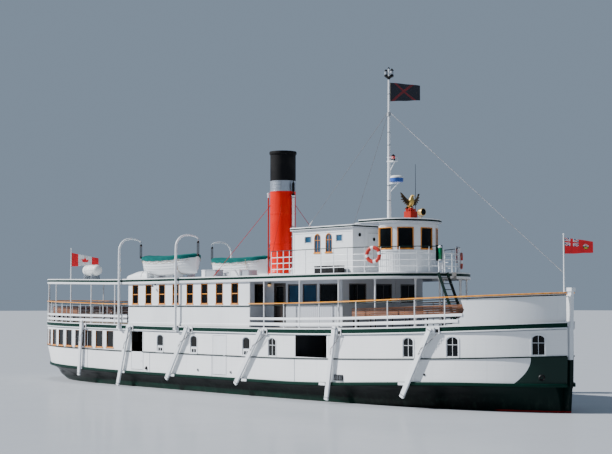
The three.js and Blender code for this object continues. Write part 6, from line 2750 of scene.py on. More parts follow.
@dataclass
class HurricaneRail:
    """Rail round the fore part of the hurricane deck, with life rings and side lights."""

    bars: tuple = (0.28, 0.56, 0.84)
    tall: float = 1.15
    open: float = 2.9
    posts: tuple = (3.95, 4.4, 4.85, 5.3, 6.46, 7.53)

    def build(self) -> None:
        """Builds bars, posts, rings and lights."""
        shell = Shell()
        path = round_tip(run(LINES.walk, 3.95, 7.55)[:-1] + steps(2.0, 2.95, 26), bow=True)
        for rise in self.bars:
            shell.pipe(path, 0.016, LINES.roof, rise, WHITE, LINES.walk)
        for side in (-1, 1):
            way = [p for p in path if p[1] == side and p[0] <= self.open]
            shell.pipe(way, 0.02, LINES.roof, self.tall, DARK_GREEN, LINES.walk)
            for s in [at(LINES.walk, x) for x in self.posts] + list(ROOF_FRONT):
                p = edge(LINES.walk, s, 0.0, side)
                foot = LINES.roof(p.x)
                post(shell, p, 0.018, foot, foot + (self.tall if s < self.open else self.bars[-1]))
        shell.piece("hurricane_rail_bars", replaces=("hurricane_rail",), sharp=40)
        self.rings()
        self.lights()

    def rings(self) -> None:
        """Hangs a life ring on either side of the rail."""
        shell = Shell()
        for x, side, rise in ((10.5, -1, 0.8), (12.1, 1, 0.57)):
            p = edge(LINES.walk, at(LINES.walk, x), 0.075, side)
            out = Vector((p.nx, p.ny, 0)).normalized()
            along = Vector((-out.y, out.x, 0))
            centre = Vector((p.x, p.y, LINES.roof(p.x) + rise))
            rings = []
            for k in range(49):
                a = 2 * math.pi * k / 48
                way = along * math.cos(a) + Vector((0, 0, 1)) * math.sin(a)
                rings.append([centre + way * (0.31 + 0.085 * math.cos(b)) + out * 0.055 * math.sin(b)
                              for b in circle(14)])
            for k in range(8):
                start, end = 12 * (k // 2) + (0, 3)[k % 2], 12 * (k // 2) + (3, 12)[k % 2]
                shell.loft(rings[start:end + 1], RING_ORANGE if k % 2 else WHITE, caps=False)
            cord = [centre + (along * math.cos(a) + Vector((0, 0, 1)) * math.sin(a))
                    * (0.372 + 0.03 * abs(math.sin(2 * a))) for a in circle(48)]
            shell.tube(cord, 0.007, ROPE, 6, loop=True)
            shell.rod(centre - Vector((0, 0, 0.34)) - out * 0.02, centre + Vector((0, 0, 0.3)) - out * 0.02,
                      0.03, STEEL, 14)
        shell.piece("life_rings", sharp=60)

    def lights(self) -> None:
        """Adds the side lights with their boards and junction boxes."""
        shell = Shell()
        for side, lens, board, x in ((-1, LAMP_GREEN, DARK_GREEN, 12.66), (1, LAMP_RED, SIGNAL_RED, 11.2)):
            p = edge(LINES.walk, at(LINES.walk, x), 0.1, side)
            made = upright((p.x, p.y, LINES.roof(p.x)), (p.ny * side, -p.nx * side), (p.nx, p.ny))
            shell.block((-0.16, 0.5, -0.07), (0.16, 1.2, -0.045), board, made)
            foot = made @ Vector((0, 0.55, 0.03))
            for profile, finish in (
                    (((0, -0.04), (0.08, -0.04), (0.08, 0.0), (0.05, 0.02), (0, 0.02)), WHITE),
                    (((0, 0.02), (0.055, 0.02), (0.064, 0.05), (0.064, 0.5), (0.055, 0.53), (0, 0.53)), lens),
                    (((0, 0.53), (0.08, 0.53), (0.08, 0.58), (0.04, 0.63), (0, 0.64)), WHITE)):
                shell.turn(foot, profile, finish, 20)
            shell.block((-0.06, 0.08, -0.02), (0.06, 0.42, 0.06), WHITE, made)
            shell.rod(made @ Vector((0.17, 0.0, 0.0)), made @ Vector((0.17, 1.0, 0.0)), 0.05, WHITE, 14)
        shell.piece("side_lights")


@dataclass
class Funnel:
    """Riveted funnel with flared foot, crown ring, steam pipe and guys."""

    x: float = 1.28
    base: float = 5.9303
    top: float = 12.15
    radius: float = 0.65
    pipe_x: float = 0.79
    pipe_y: float = 0.02

    def build(self) -> None:
        """Builds the funnel piece."""
        shell = Shell()
        r, b, t = self.radius, self.base, self.top
        outer = [(r + 0.12, b), (r + 0.12, b + 0.05), (r + 0.105, b + 0.08), (r + 0.05, b + 0.17),
                 (r + 0.015, b + 0.27), (r, b + 0.34)]
        for z in (7.45, 8.97, 10.1, 10.28, 10.46, 10.64):
            w = 0.012 if 10.2 < z < 10.5 else 0.03
            outer += [(r, z - w - 0.005), (r + 0.012, z - w), (r + 0.012, z + w), (r, z + w + 0.005)]
        outer += [(r, t - 0.17), (r + 0.035, t - 0.15), (r + 0.05, t - 0.08), (r + 0.035, t), (r - 0.03, t),
                  (r - 0.03, b)]
        shell.turn((self.x, 0, 0), outer, FUNNEL_RED, 96)
        for z in (7.45, 8.97, 10.1, 10.64):
            self.rivets(shell, z)
        self.steam_pipe(shell)
        for s, y in ((-1, -2.55), (1, 2.55)):
            for x in (self.x - 2.5, self.x + 1.95):
                top = Vector((self.x + math.copysign(0.46, x - self.x), s * 0.46, 9.4))
                foot = Vector((x, y, LINES.roof(x) + 0.02))
                shell.rod(foot, foot.lerp(top, 0.12), 0.022, SIGNAL_RED, 8)
                shell.rod(foot.lerp(top, 0.12), top, 0.013, SIGNAL_RED, 6)
                shell.turn(foot - Vector((0, 0, 0.021)), [(0, 0), (0.06, 0), (0.06, 0.012), (0, 0.03)], STEEL,
                           12)
        shell.piece("funnel_casing", replaces=("funnel",), sharp=35)

    def rivets(self, shell: Shell, z: float) -> None:
        """Adds a ring of rivet heads.

        Args:
            shell: where the faces go.
            z: height of the ring.
        """
        head = [(0, -0.002), (0.011, -0.002), (0.008, 0.005), (0, 0.007)]
        for a in circle(48):
            out = Vector((math.cos(a), math.sin(a), 0))
            shell.turn(Vector((self.x, 0, z)) + out * (self.radius + 0.011), head, FUNNEL_RED, 6, out)

    def steam_pipe(self, shell: Shell) -> None:
        """Adds the steam pipe with whistle, flanges and clips.

        Args:
            shell: where the faces go.
        """
        x, y = self.x + self.pipe_x, self.pipe_y
        shell.rod((x, y, 5.94), (x, y, 9.87), 0.068, WHITE, 24)
        shell.turn((x, y, 9.87), [
            (0, 0), (0.07, 0), (0.07, 0.08), (0.03, 0.1), (0.03, 0.2), (0.068, 0.22), (0.068, 0.6),
            (0.05, 0.64), (0.02, 0.7), (0.02, 0.88), (0, 0.88)], BLACK, 20)
        for z in (6.25, 7.8, 9.85):
            shell.turn((x, y, z), [(0.05, -0.02), (0.1, -0.02), (0.1, 0.02), (0.05, 0.02)], WHITE, 24)
        for z in (6.7, 8.3, 9.78):
            shell.turn((x, y, z), [(0.06, -0.03), (0.082, -0.03), (0.082, 0.03), (0.06, 0.03)], STEEL, 24)
            shell.block((self.x + 0.62, y - 0.04, z - 0.02), (x, y + 0.04, z + 0.02), STEEL)
        x, y = self.x - 0.52, -0.53
        shell.rod((x, y, 5.94), (x, y, 9.8), 0.035, SIGNAL_RED, 14)
        shell.turn((x, y, 9.8), [(0, 0), (0.045, 0), (0.045, 0.16), (0.07, 0.18), (0.07, 0.24), (0, 0.26)],
                   WHITE, 14)
        for z in (7.2, 9.4):
            shell.block((x, y - 0.02, z - 0.02), (x + 0.15, y + 0.12, z + 0.02), SIGNAL_RED)


@dataclass
class BoilerCasing:
    """Plain plated block for the boiler and engine on the main deck."""

    low: tuple = (-1.8, -1.25, 0.8503)
    high: tuple = (3.0, 1.25, 2.95)

    def build(self) -> None:
        """Builds the casing with its plate straps."""
        shell = Shell()
        (x0, y0, z0), (x1, y1, z1) = self.low, self.high
        shell.stack(lambda g: rounded(x0, x1, y0, y1, 0.06, g),
                    [(0, z0, GREY), (0, z1 - 0.03, GREY), (-0.03, z1, GREY)])
        for x in steps(x0 + 0.4, x1 - 0.4, 5):
            for s in (-1, 1):
                shell.block((x - 0.04, s * (y1 - 0.002), z0 + 0.05), (x + 0.04, s * (y1 + 0.008), z1 - 0.05),
                            GREY)
        shell.piece("boiler_plates", replaces=("boiler_casing",))


@dataclass
class Mast:
    """Signal mast with shelf, radar, lantern cluster and aerial, and its three main stays."""

    x: float = 9.0
    foot: float = 8.2603
    top: float = 15.0
    low: float = 0.096
    high: float = 0.038
    collar: float = 13.31
    stays: tuple = ((19.085, 0.0, 5.68), (4.9, -1.45, 8.077), (4.9, 1.45, 8.077))

    def radius(self, z: float) -> float:
        """The pole's radius at a height."""
        return self.low + (self.high - self.low) * (z - self.foot) / (self.top - self.foot)

    def build(self) -> None:
        """Builds mast and stays."""
        shell = Shell()
        x = self.x
        profile = [(0, self.foot), (self.low + 0.04, self.foot), (self.low + 0.04, self.foot + 0.03),
                   (self.low, self.foot + 0.05), (self.radius(11), 11.0), (self.radius(13.15), 13.15),
                   (self.high, self.top), (0, self.top)]
        shell.turn((x, 0, 0), profile, WHITE, 28)
        shell.block((x, -0.15, 11.0), (x + 0.42, 0.15, 11.04), WHITE)
        shell.tube([(x + 0.09, 0, 10.62), (x + 0.38, 0, 11.0)], 0.018, WHITE, 8)
        for y in (-0.14, 0.14):
            shell.tube([(x, y, 11.2), (x + 0.41, y, 11.2), (x + 0.41, y, 11.04)], 0.009, WHITE, 6)
        self.lamp(shell, (x + 0.28, 0, 11.05), 0.09, 0.3, LAMP_RED)
        shell.block((x, -0.06, 9.98), (x + 0.7, 0.06, 10.035), WHITE)
        shell.tube([(x + 0.09, 0, 9.62), (x + 0.6, 0, 9.99)], 0.016, WHITE, 8)
        for drum, finish in (
                (((0, 10.03), (0.27, 10.03), (0.305, 10.06), (0.31, 10.22), (0, 10.22)), RADAR_BLUE),
                (((0, 10.22), (0.31, 10.22), (0.305, 10.27), (0.27, 10.31), (0.2, 10.335), (0.1, 10.34),
                  (0, 10.34)),
                 CANISTER)):
            shell.turn((x + 0.5, 0, 0), drum, finish, 36)
        self.cluster(shell)
        shell.rod((x + 1.3, 0.42, 8.25), (x + 1.3, 0.42, 10.83), 0.016, BLACK, 8, 0.008)
        shell.turn((x + 1.3, 0.42, 8.25), [(0, 0), (0.035, 0), (0.03, 0.14), (0.012, 0.18), (0, 0.18)], BLACK,
                   12)
        for z in (9.2, 9.9, 11.8, 12.4, 14.2):
            r = self.radius(z)
            shell.turn((x, 0, z),
                       [(r - 0.004, -0.025), (r + 0.008, -0.02), (r + 0.008, 0.02), (r - 0.004, 0.025)],
                       STEEL, 24)
        shell.piece("mast_pole", replaces=("mast",), sharp=35)
        self.rigging()

    def lamp(self, shell: Shell, place: Sequence[float], radius: float, tall: float, lens: Finish) -> None:
        """Adds a lantern: base, ribbed lens and cap.

        Args:
            shell: where the faces go.
            place: middle of its foot.
            radius: its radius.
            tall: its height.
            lens: finish of the lens.
        """
        r, h = radius, tall
        shell.turn(place, [(0, 0), (r, 0), (r, h * 0.2), (r * 0.8, h * 0.26), (0, h * 0.26)], BLACK, 20)
        ribs = [(r * 0.8, h * 0.26), (r * 0.9, h * 0.32), (r * 0.82, h * 0.38), (r * 0.92, h * 0.47),
                (r * 0.82, h * 0.56), (r * 0.9, h * 0.64), (r * 0.8, h * 0.7)]
        shell.turn(place, [(0, h * 0.26), *ribs, (0, h * 0.7)], lens, 20)
        shell.turn(place, [(0, h * 0.7), (r, h * 0.7), (r, h * 0.78), (r * 0.45, h * 0.93), (r * 0.2, h),
                           (0, h)],
                   BLACK, 20)

    def cluster(self, shell: Shell) -> None:
        """Adds the ring of black lanterns on a bracket at the mast's head.

        Args:
            shell: where the faces go.
        """
        x, z = self.x, self.top
        shell.turn((x, 0, z - 0.12),
                   [(0, 0), (0.045, 0), (0.07, 0.05), (0.17, 0.12), (0.19, 0.135), (0, 0.14)], BLACK, 24)
        shell.rod((x, 0, z), (x, 0, z + 0.42), 0.028, WHITE, 12)
        shell.turn((x, 0, z + 0.4), [(0, 0), (0.05, 0), (0.05, 0.03), (0.02, 0.06), (0, 0.08)], BLACK, 16)
        for degrees, radius, tall in ((20, 0.085, 0.38), (80, 0.085, 0.4), (170, 0.07, 0.3),
                                      (262, 0.08, 0.34)):
            a = math.radians(degrees)
            self.lamp(shell, (x + 0.16 * math.cos(a), 0.16 * math.sin(a), z + 0.012), radius, tall, GREY)

    def rigging(self) -> None:
        """Builds the stays with their turnbuckles and the collar."""
        shell = Shell()
        r = self.radius(self.collar - 0.6) + 0.0025
        shell.turn((self.x, 0, 0), [(r, 13.155), (r + 0.03, 13.16), (r + 0.03, 13.34), (r, 13.345)], STEEL,
                   24)
        top = Vector((self.x, 0, self.collar))
        for x, y, z in self.stays:
            low = Vector((x, y, z))
            out = (low - top).normalized()
            start = top + Vector((out.x, out.y, 0)).normalized() * (r + 0.025)
            shell.rod(low, start, 0.009, WIRE, 8)
            way = (start - low).normalized()
            shell.rod(low + way * 0.12, low + way * 0.42, 0.019, STEEL, 10)
            shell.rod(low + way * 0.2, low + way * 0.34, 0.024, STEEL, 10)
        shell.piece("main_stays", replaces=("stays",))


@dataclass
class Figure:
    """Bird with wings raised in a wide V, on a red base on the wheelhouse roof."""

    x: float = 10.4
    base: float = 8.2603

    def build(self) -> None:
        """Builds base, body, head, wings, tail and feet."""
        shell = Shell()
        x, b = self.x, self.base
        plan = lambda g: rounded(x - 0.25, x + 0.25, -0.25, 0.25, 0.02, g)
        shell.stack(plan, [(0.0, b, SIGNAL_RED), (0.0, b + 0.06, SIGNAL_RED), (-0.03, b + 0.08, SIGNAL_RED),
                           (-0.03, b + 0.36, SIGNAL_RED)])
        ease = random.Random(4)
        for k in range(16):
            a = math.pi * k / 8
            px, py = x + 0.2 * math.cos(a), 0.2 * math.sin(a)
            tip = Vector((px + 0.02 * math.cos(a), py * 1.1, b + ease.uniform(0.46, 0.56)))
            shell.tube([(px * 0.9 + x * 0.1, py * 0.9, b + 0.34), (px, py, b + 0.42), tip],
                       [0.045, 0.04, 0.012], SIGNAL_RED, 7)
        shell.turn((x, 0, b + 0.34), [(0, 0), (0.19, 0), (0.17, 0.1), (0.1, 0.17), (0, 0.19)], SIGNAL_RED, 18)
        rings = []
        for cx, r, h in ((-0.10, 0.05, 0.52), (-0.05, 0.11, 0.58), (0.0, 0.15, 0.70), (0.04, 0.155, 0.82),
                         (0.06, 0.12, 0.93), (0.07, 0.075, 1.01), (0.09, 0.065, 1.07), (0.11, 0.05, 1.11)):
            rings.append([(x + cx + 0.9 * r * math.cos(a), r * math.sin(a), b + h) for a in circle(18)])
        shell.loft(rings, GILT)
        shell.tube([(x + 0.12, 0, b + 1.08), (x + 0.2, 0, b + 1.08), (x + 0.24, 0, b + 1.05),
                    (x + 0.245, 0, b + 1.01)],
                   [0.04, 0.028, 0.015, 0.004], GILT, 12)
        for s in (-1, 1):
            self.wing(shell, s)
            for k in range(3):
                shell.tube([(x + 0.02, s * 0.07, b + 0.6), (x + 0.06, s * 0.08, b + 0.53),
                            (x + 0.08 + 0.05 * math.cos(k - 1), s * 0.08 + 0.05 * math.sin(k - 1), b + 0.52)],
                           [0.03, 0.02, 0.006], GILT, 8)
        for k in range(5):
            y = 0.05 * (k - 2)
            self.feather(shell, Vector((x - 0.08, y * 0.6, b + 0.64)), Vector((x - 0.24, y * 1.5, b + 0.46)),
                         0.03)
        shell.piece("gilded_bird", replaces=("figure",), sharp=40)

    @staticmethod
    def feather(shell: Shell, root: Vector, tip: Vector, wide: float) -> None:
        """Adds one pointed feather from root to tip."""
        shell.tube([root, root.lerp(tip, 0.35), root.lerp(tip, 0.8), tip],
                   [wide * 0.7, wide, wide * 0.75, 0.004], DARK_GILT, 8)

    def wing(self, shell: Shell, s: int) -> None:
        """Adds one raised wing as three rows of feathers on an arm.

        Args:
            shell: where the faces go.
            s: 1 to port, -1 to starboard.
        """
        x, b = self.x, self.base
        arm = [Vector((x + 0.02, s * 0.11, b + 0.82)), Vector((x + 0.03, s * 0.24, b + 0.86)),
               Vector((x + 0.02, s * 0.37, b + 0.96)), Vector((x, s * 0.5, b + 1.1))]
        shell.tube(arm, [0.055, 0.05, 0.04, 0.02], DARK_GILT, 10)
        for row, (reach, wide) in enumerate(((0.30, 0.034), (0.21, 0.032), (0.12, 0.03))):
            count = 9 - row
            for k in range(count):
                t = k / (count - 1)
                i = min(2, int(t * 3))
                root = arm[i].lerp(arm[i + 1], t * 3 - i) - Vector((0.02 * row, 0, 0))
                fan = math.radians(-78 + 128 * t ** 1.4)
                way = Vector((-0.15, s * math.cos(fan) * 0.7, math.sin(fan))).normalized()
                tip = root + way * reach * (0.75 + 0.25 * t)
                tip.y = s * min(abs(tip.y), 0.62)
                tip.z = min(tip.z, b + 1.21)
                self.feather(shell, root, tip, wide)


@dataclass
class Lifeboats:
    """Clinker boats on their chocks, covered with laced canvas."""

    aft: float = -7.62
    fwd: float = -2.87
    y: float = 2.35
    half: float = 0.9
    keel: float = 5.95
    gunwale: float = 6.8
    strakes: int = 9
    chock: tuple = ((0.62, 0.05), (0.62, 0.38), (0.45, 0.32), (0.16, 0.26), (0.12, 0.05))
    stations: tuple = ((0.0, 0.05, 0.2), (0.04, 0.32, 0.1), (0.14, 0.68, 0.04), (0.3, 0.92, 0.01),
                       (0.5, 1.0, 0.0), (0.7, 0.93, 0.01), (0.86, 0.7, 0.04), (0.96, 0.34, 0.08),
                       (1.0, 0.05, 0.14))

    def build(self) -> None:
        """Builds both boats."""
        for side in Side:
            self.boat(side)
            self.cover(side)

    def form(self, f: float) -> tuple[float, float]:
        """Width and lift of the keel at a share of the length, smooth through the stations."""
        wide, lift = through(self.stations, f, False)
        return max(0.03, min(1.0, wide)), max(0.0, lift)

    def x(self, f: float) -> float:
        """The x at a share of the length."""
        return self.aft + (self.fwd - self.aft) * f

    def top(self, f: float) -> float:
        """Height of the gunwale."""
        return self.gunwale + 0.15 * (2 * f - 1) ** 2

    def section(self, f: float, share: float) -> tuple[float, float]:
        """Half-breadth and height of the skin at a share of the girth.

        Args:
            f: share of the length.
            share: share of the girth from keel to gunwale.

        Returns:
            Half-breadth and height.
        """
        wide, lift = self.form(f)
        low, high = self.keel + 0.8 * lift, self.top(f)
        a = share * math.pi / 2
        return self.half * wide * math.sin(a) ** 0.72, low + (high - low) * (1 - math.cos(a)) ** 0.92

    def boat(self, side: Side) -> None:
        """Builds hull, gunwale, keel, rope lacing, chocks and straps.

        Args:
            side: port or starboard.
        """
        shell = Shell()
        cy = side.value * self.y
        rings = []
        fs = [0.35 - 0.35 * math.cos(math.pi * t) + 0.3 * t for t in steps(0, 1, 34)]
        for f in fs:
            line = []
            for k in range(self.strakes):
                for share, lap in ((k / self.strakes, 1.0), ((k + 1) / self.strakes, 0.0)):
                    y, z = self.section(f, share)
                    lap_out = 0.022 * lap * min(1.0, y / 0.12)
                    line.append((y + lap_out, z - lap_out * 0.3))
            x = self.x(f)
            rings.append([(x, cy + y, z) for y, z in line] + [(x, cy - y, z) for y, z in reversed(line)])
        shell.loft(rings, WHITE)
        sag = Vector((0, 0, 0.02))
        for s in (-1, 1):
            shell.tube([(self.x(f), cy + s * (self.section(f, 1.0)[0] + 0.012), self.top(f) - 0.02)
                        for f in fs], 0.024, WHITE)
            low = [Vector((self.x(f), cy + s * (self.section(f, 0.86)[0] + 0.02), self.section(f, 0.86)[1]))
                   for f in fs]
            for a, b in zip(low[2:-6:4], low[6:-2:4]):
                mid = (a + b) / 2 - Vector((0, 0, 0.09))
                shell.tube([a, a.lerp(mid, 0.55) - sag, mid, b.lerp(mid, 0.55) - sag, b], 0.009, ROPE, 6)
        shell.tube([(self.x(f), cy, self.section(f, 0.0)[1] - 0.012) for f in fs], 0.024, WHITE, 6)
        for x in (-6.6, -3.9):
            z = LINES.roof(x) + 0.0005
            f = (x - self.aft) / (self.fwd - self.aft)
            shell.block((x - 0.06, cy - 0.65, z), (x + 0.06, cy + 0.65, z + 0.06), WHITE)
            for s in (-1, 1):
                shell.loft([[(x + d, cy + s * y, z + rise) for y, rise in self.chock]
                            for d in (-0.035, 0.035)], WHITE)
            girth = [(s, *self.section(f, k / 8)) for s, ks in ((-1, range(8, -1, -1)), (1, range(1, 9)))
                     for k in ks]
            strap = [Vector((x + 0.1, cy + s * (y + 0.02), high)) for s, y, high in girth]
            shell.tube(strap, 0.014, ROPE, 6)
        shell.piece(f"lifeboat_planking_{side.label}", replaces=(f"lifeboat_{side.label}",),
                    sharp=20)

    def cover(self, side: Side) -> None:
        """Builds the canvas cover: ridge, rounded shoulders, a turned-down hem with ties.

        Args:
            side: port or starboard.
        """
        shell = Shell()
        cy = side.value * self.y
        rows, fs = [], [0.0, *steps(0.0, 1.0, 40), 1.0]
        ease = random.Random(11 + side.value)
        slack = [ease.uniform(-0.006, 0.006) for _ in fs]
        for skin in (0.0, -0.006):
            rings = []
            for row, (f, loose) in enumerate(zip(fs, slack)):
                wide, _ = self.form(f)
                past = 0.045 + skin if f in (0.0, 1.0) else 0.0
                x = self.x(f) + math.copysign(past, f - 0.5)
                half, gun = self.section(f, 1.0)[0] + 0.044 + 0.04 * (1 - wide), self.top(f)
                gun -= 0.13 if row in (0, len(fs) - 1) else 0.0
                ridge = gun + 0.035 + 0.12 * max(0.0, wide - 0.1) ** 0.6
                hem = self.top(f) - 0.13 + 0.015 * math.sin(f * 40)
                ring = [(x, cy - half - skin, hem)]
                for t in steps(-1, 1, 12):
                    z = gun + 0.03 + (ridge - gun) * (1 - abs(t) ** 1.5) + skin + loose * (1 - t * t) * 2
                    ring.append((x, cy + t * (half + skin * 0.8), z))
                ring.append((x, cy + half + skin, hem))
                rings.append(ring)
            rows.append(rings)
        full = [[*a, *reversed(b)] for a, b in zip(*rows)]
        shell.loft(full, TEAL)
        made = shell.piece(f"boat_cover_{side.label}", sharp=60)
        ties = Shell()
        for f in steps(0.05, 0.95, 18):
            x = self.x(f)
            half, gun = self.section(f, 1.0)[0] + 0.05, self.top(f)
            for s in (-1, 1):
                ties.tube([(x, cy + s * half, gun - 0.12), (x + 0.004, cy + s * (half + 0.005), gun - 0.2),
                           (x + 0.012, cy + s * half * 0.97, gun - 0.28)], 0.006, ROPE, 6)
        laces = ties.piece(f"cover_ties_{side.label}", sharp=60)


@dataclass
class Raft:
    """Life raft canister strapped on its cradle."""

    x0: float = -17.65
    x1: float = -16.05
    z: float = 6.47
    radius: float = 0.33

    def build(self) -> None:
        """Builds shell halves, rim, straps and cradle."""
        shell = Shell()
        r = self.radius
        end = [(0, 0.0), (r * 0.42, 0.02), (r * 0.7, 0.07), (r * 0.88, 0.15), (r * 0.97, 0.24), (r, 0.32)]
        ribs = list(end)
        for d in (0.45, 0.65, 0.95, 1.15):
            ribs += [(r, d - 0.05), (r - 0.012, d - 0.035), (r - 0.012, d + 0.035), (r, d + 0.05)]
        ribs += [(out, self.x1 - self.x0 - d) for out, d in reversed(end)]
        shell.turn((self.x0, 0, self.z), ribs, CANISTER, 40, (1, 0, 0))
        shell.stack(lambda g: rounded(self.x0 + 0.02, self.x1 - 0.02, -r - 0.018, r + 0.018, 0.3, g),
                    [(0, self.z - 0.02, CANISTER), (0, self.z + 0.02, CANISTER)])
        for x in (-17.3, -16.5):
            strap = [(x + 0.13, (r + 0.006) * math.cos(a), self.z + (r + 0.006) * math.sin(a))
                     for a in circle(32)]
            shell.tube(strap, 0.01, STEEL, 6, loop=True)
            z = LINES.roof(x) + 0.002
            arc = [((r + 0.012) * math.cos(a), self.z + (r + 0.012) * math.sin(a))
                   for a in steps(math.radians(215), math.radians(325), 10)]
            shell.loft([[(x + d, y, h) for y, h in ((-0.33, z), *arc, (0.33, z))] for d in (-0.012, 0.012)],
                       GREY)
            shell.block((x - 0.05, -0.33, z), (x + 0.05, 0.33, z + 0.02), GREY)
        shell.piece("raft_shell_halves", replaces=("raft_canister",), sharp=35)


@dataclass
class Davits:
    """Round-bar davits that slew in their sockets, with block and falls."""

    places: tuple = (("aft", -7.955), ("fwd", -2.674))
    y: float = 3.83
    radius: float = 0.062
    line: tuple = ((0.0, 3.2005), (0.0, 5.4), (0.0, 7.1), (-0.06, 7.55), (-0.33, 7.85), (-0.76, 7.95),
                   (-1.18, 7.9), (-1.4, 7.8))

    def curve(self, count: int = 9) -> list[tuple[float, float]]:
        """Smooth bar line through the given points: reach and height.

        Args:
            count: steps between two points of the bend.

        Returns:
            Reach and height of each point.
        """
        made = []
        pts = self.line
        for i in range(len(pts) - 1):
            p0, p1, p2, p3 = pts[max(0, i - 1)], pts[i], pts[i + 1], pts[min(len(pts) - 1, i + 2)]
            n = 3 if i < 2 else count
            made += [tuple(0.5 * (2 * b + (c - a) * t + (2 * a - 5 * b + 4 * c - d) * t * t
                                  + (3 * b - a - 3 * c + d) * t ** 3) for a, b, c, d in zip(p0, p1, p2, p3))
                     for t in steps(0, 1, n)[:-1]]
        return [*made, pts[-1]]

    def build(self) -> None:
        """Builds the four davits."""
        for side in Side:
            for label, x in self.places:
                self.davit(f"davit_{label}_{side.label}", x, side.value)

    def davit(self, node: str, x: float, s: int) -> None:
        """Builds one davit.

        Args:
            node: model node that it stands for.
            x: its x.
            s: 1 to port, -1 to starboard.
        """
        shell = Shell()
        y = s * self.y
        line = self.curve()
        points = [(x, y + s * dy, z) for dy, z in line]
        radii = [self.radius * (1.0 if z < 7 else 1 - 0.35 * i / len(line)) for i, (_, z) in enumerate(line)]
        shell.tube(points, radii, WHITE, 20)
        shell.turn((x, y, 3.2005), [(0, 0), (0.09, 0), (0.09, 0.03), (0.07, 0.05), (0.05, 0.055), (0, 0.055)],
                   WHITE, 20)
        for z in (5.3, 6.1):
            shell.turn((x, y, z), [(0.05, -0.04), (0.07, -0.03), (0.07, 0.03), (0.05, 0.04)], WHITE, 20)
        tip_y = y - s * 1.4
        shell.turn((x, tip_y, 7.8), [(0, -0.05), (0.035, -0.05), (0.045, 0.0), (0.03, 0.04), (0, 0.045)],
                   GREY, 16)
        sheave = [(0, 0), (0.055, 0), (0.062, 0.02), (0.062, 0.05), (0.055, 0.07), (0, 0.07)]
        for z in (7.62, 6.94):
            shell.turn((x - 0.035, tip_y, z), sheave, BLACK, 20, (1, 0, 0))
            shell.block((x - 0.012, tip_y - 0.025, z - 0.085), (x + 0.012, tip_y + 0.025, z + 0.085), STEEL)
        for d in (-0.03, 0.03):
            for dy in (-0.045, 0.045):
                shell.rod((x + d, tip_y + dy, 6.94), (x + d, tip_y + dy, 7.62), 0.012, TARRED, 8)
        shell.tube([(x, tip_y, 6.84), (x, tip_y, 6.86)], 0.02, STEEL, 8)
        cleat = Vector((x, y - s * 0.06, 6.25))
        shell.rod(cleat + Vector((0, 0, -0.09)), cleat + Vector((0, 0, 0.09)), 0.012, GREY, 8)
        turns = 14 * math.pi
        coil = [cleat + Vector((0.028 * math.cos(a), -s * 0.01 + 0.028 * math.sin(a), -0.1 + 0.2 * a / turns))
                for a in steps(0, turns, 84)]
        shell.tube(coil, 0.01, ROPE, 6)
        shell.piece(f"{node}_bar", node, replaces=(node,), sharp=40)


@dataclass
class SideDoors:
    """Half gate of the gangway and the closed side door, in the main deck's walls."""

    thick: float = 0.07
    gate_tall: float = 0.95

    def build(self) -> None:
        """Builds both on each side."""
        hinge = LINES.beam - 0.02 - self.thick
        for side in Side:
            s = side.value
            for name, node, hole, tall in (("gangway_leaf", "gangway_gate", GATE, self.gate_tall),
                                           ("side_door_leaf", "side_door", SIDE_DOOR, SIDE_DOOR.height)):
                leaf = Door(hole.width, self.thick, tall, WHITE, plain=True, handle=WHITE)
                leaf.build(f"{name}_{side.label}", f"{node}_{side.label}", "white_paint",
                           (hole.x - hole.width / 2, s * hinge, hole.sill), (1, 0, 0), (0, -s, 0))


@dataclass
class Staffs:
    """Jackstaff at the stem and the stern staff on the roof."""

    def build(self) -> None:
        """Builds both staffs with collars, trucks and halyards."""
        for name, node, x, foot, top, r0, r1 in (
                ("jackstaff_pole", "jackstaff", 19.14, LINES.deck(19.14) + 0.003, 7.26, 0.038, 0.023),
                ("stern_staff_pole", "stern_staff", -19.35, LINES.roof(-19.385) + 0.0005, 7.91, 0.035,
                 0.021)):
            shell = Shell()
            shell.turn((x, 0, 0), [
                (0, foot), (r0 + 0.004, foot), (r0 + 0.004, foot + 0.12), (r0, foot + 0.14), (r1, top - 0.05),
                (r1 + 0.012, top - 0.045), (r1 + 0.016, top - 0.02), (r1, top), (0, top)], WHITE, 24)
            shell.rod((x - 0.028, 0.03, foot + 0.5), (x - 0.02, 0.02, top - 0.06), 0.004, ROPE, 6)
            shell.piece(name, replaces=(node,), sharp=40)


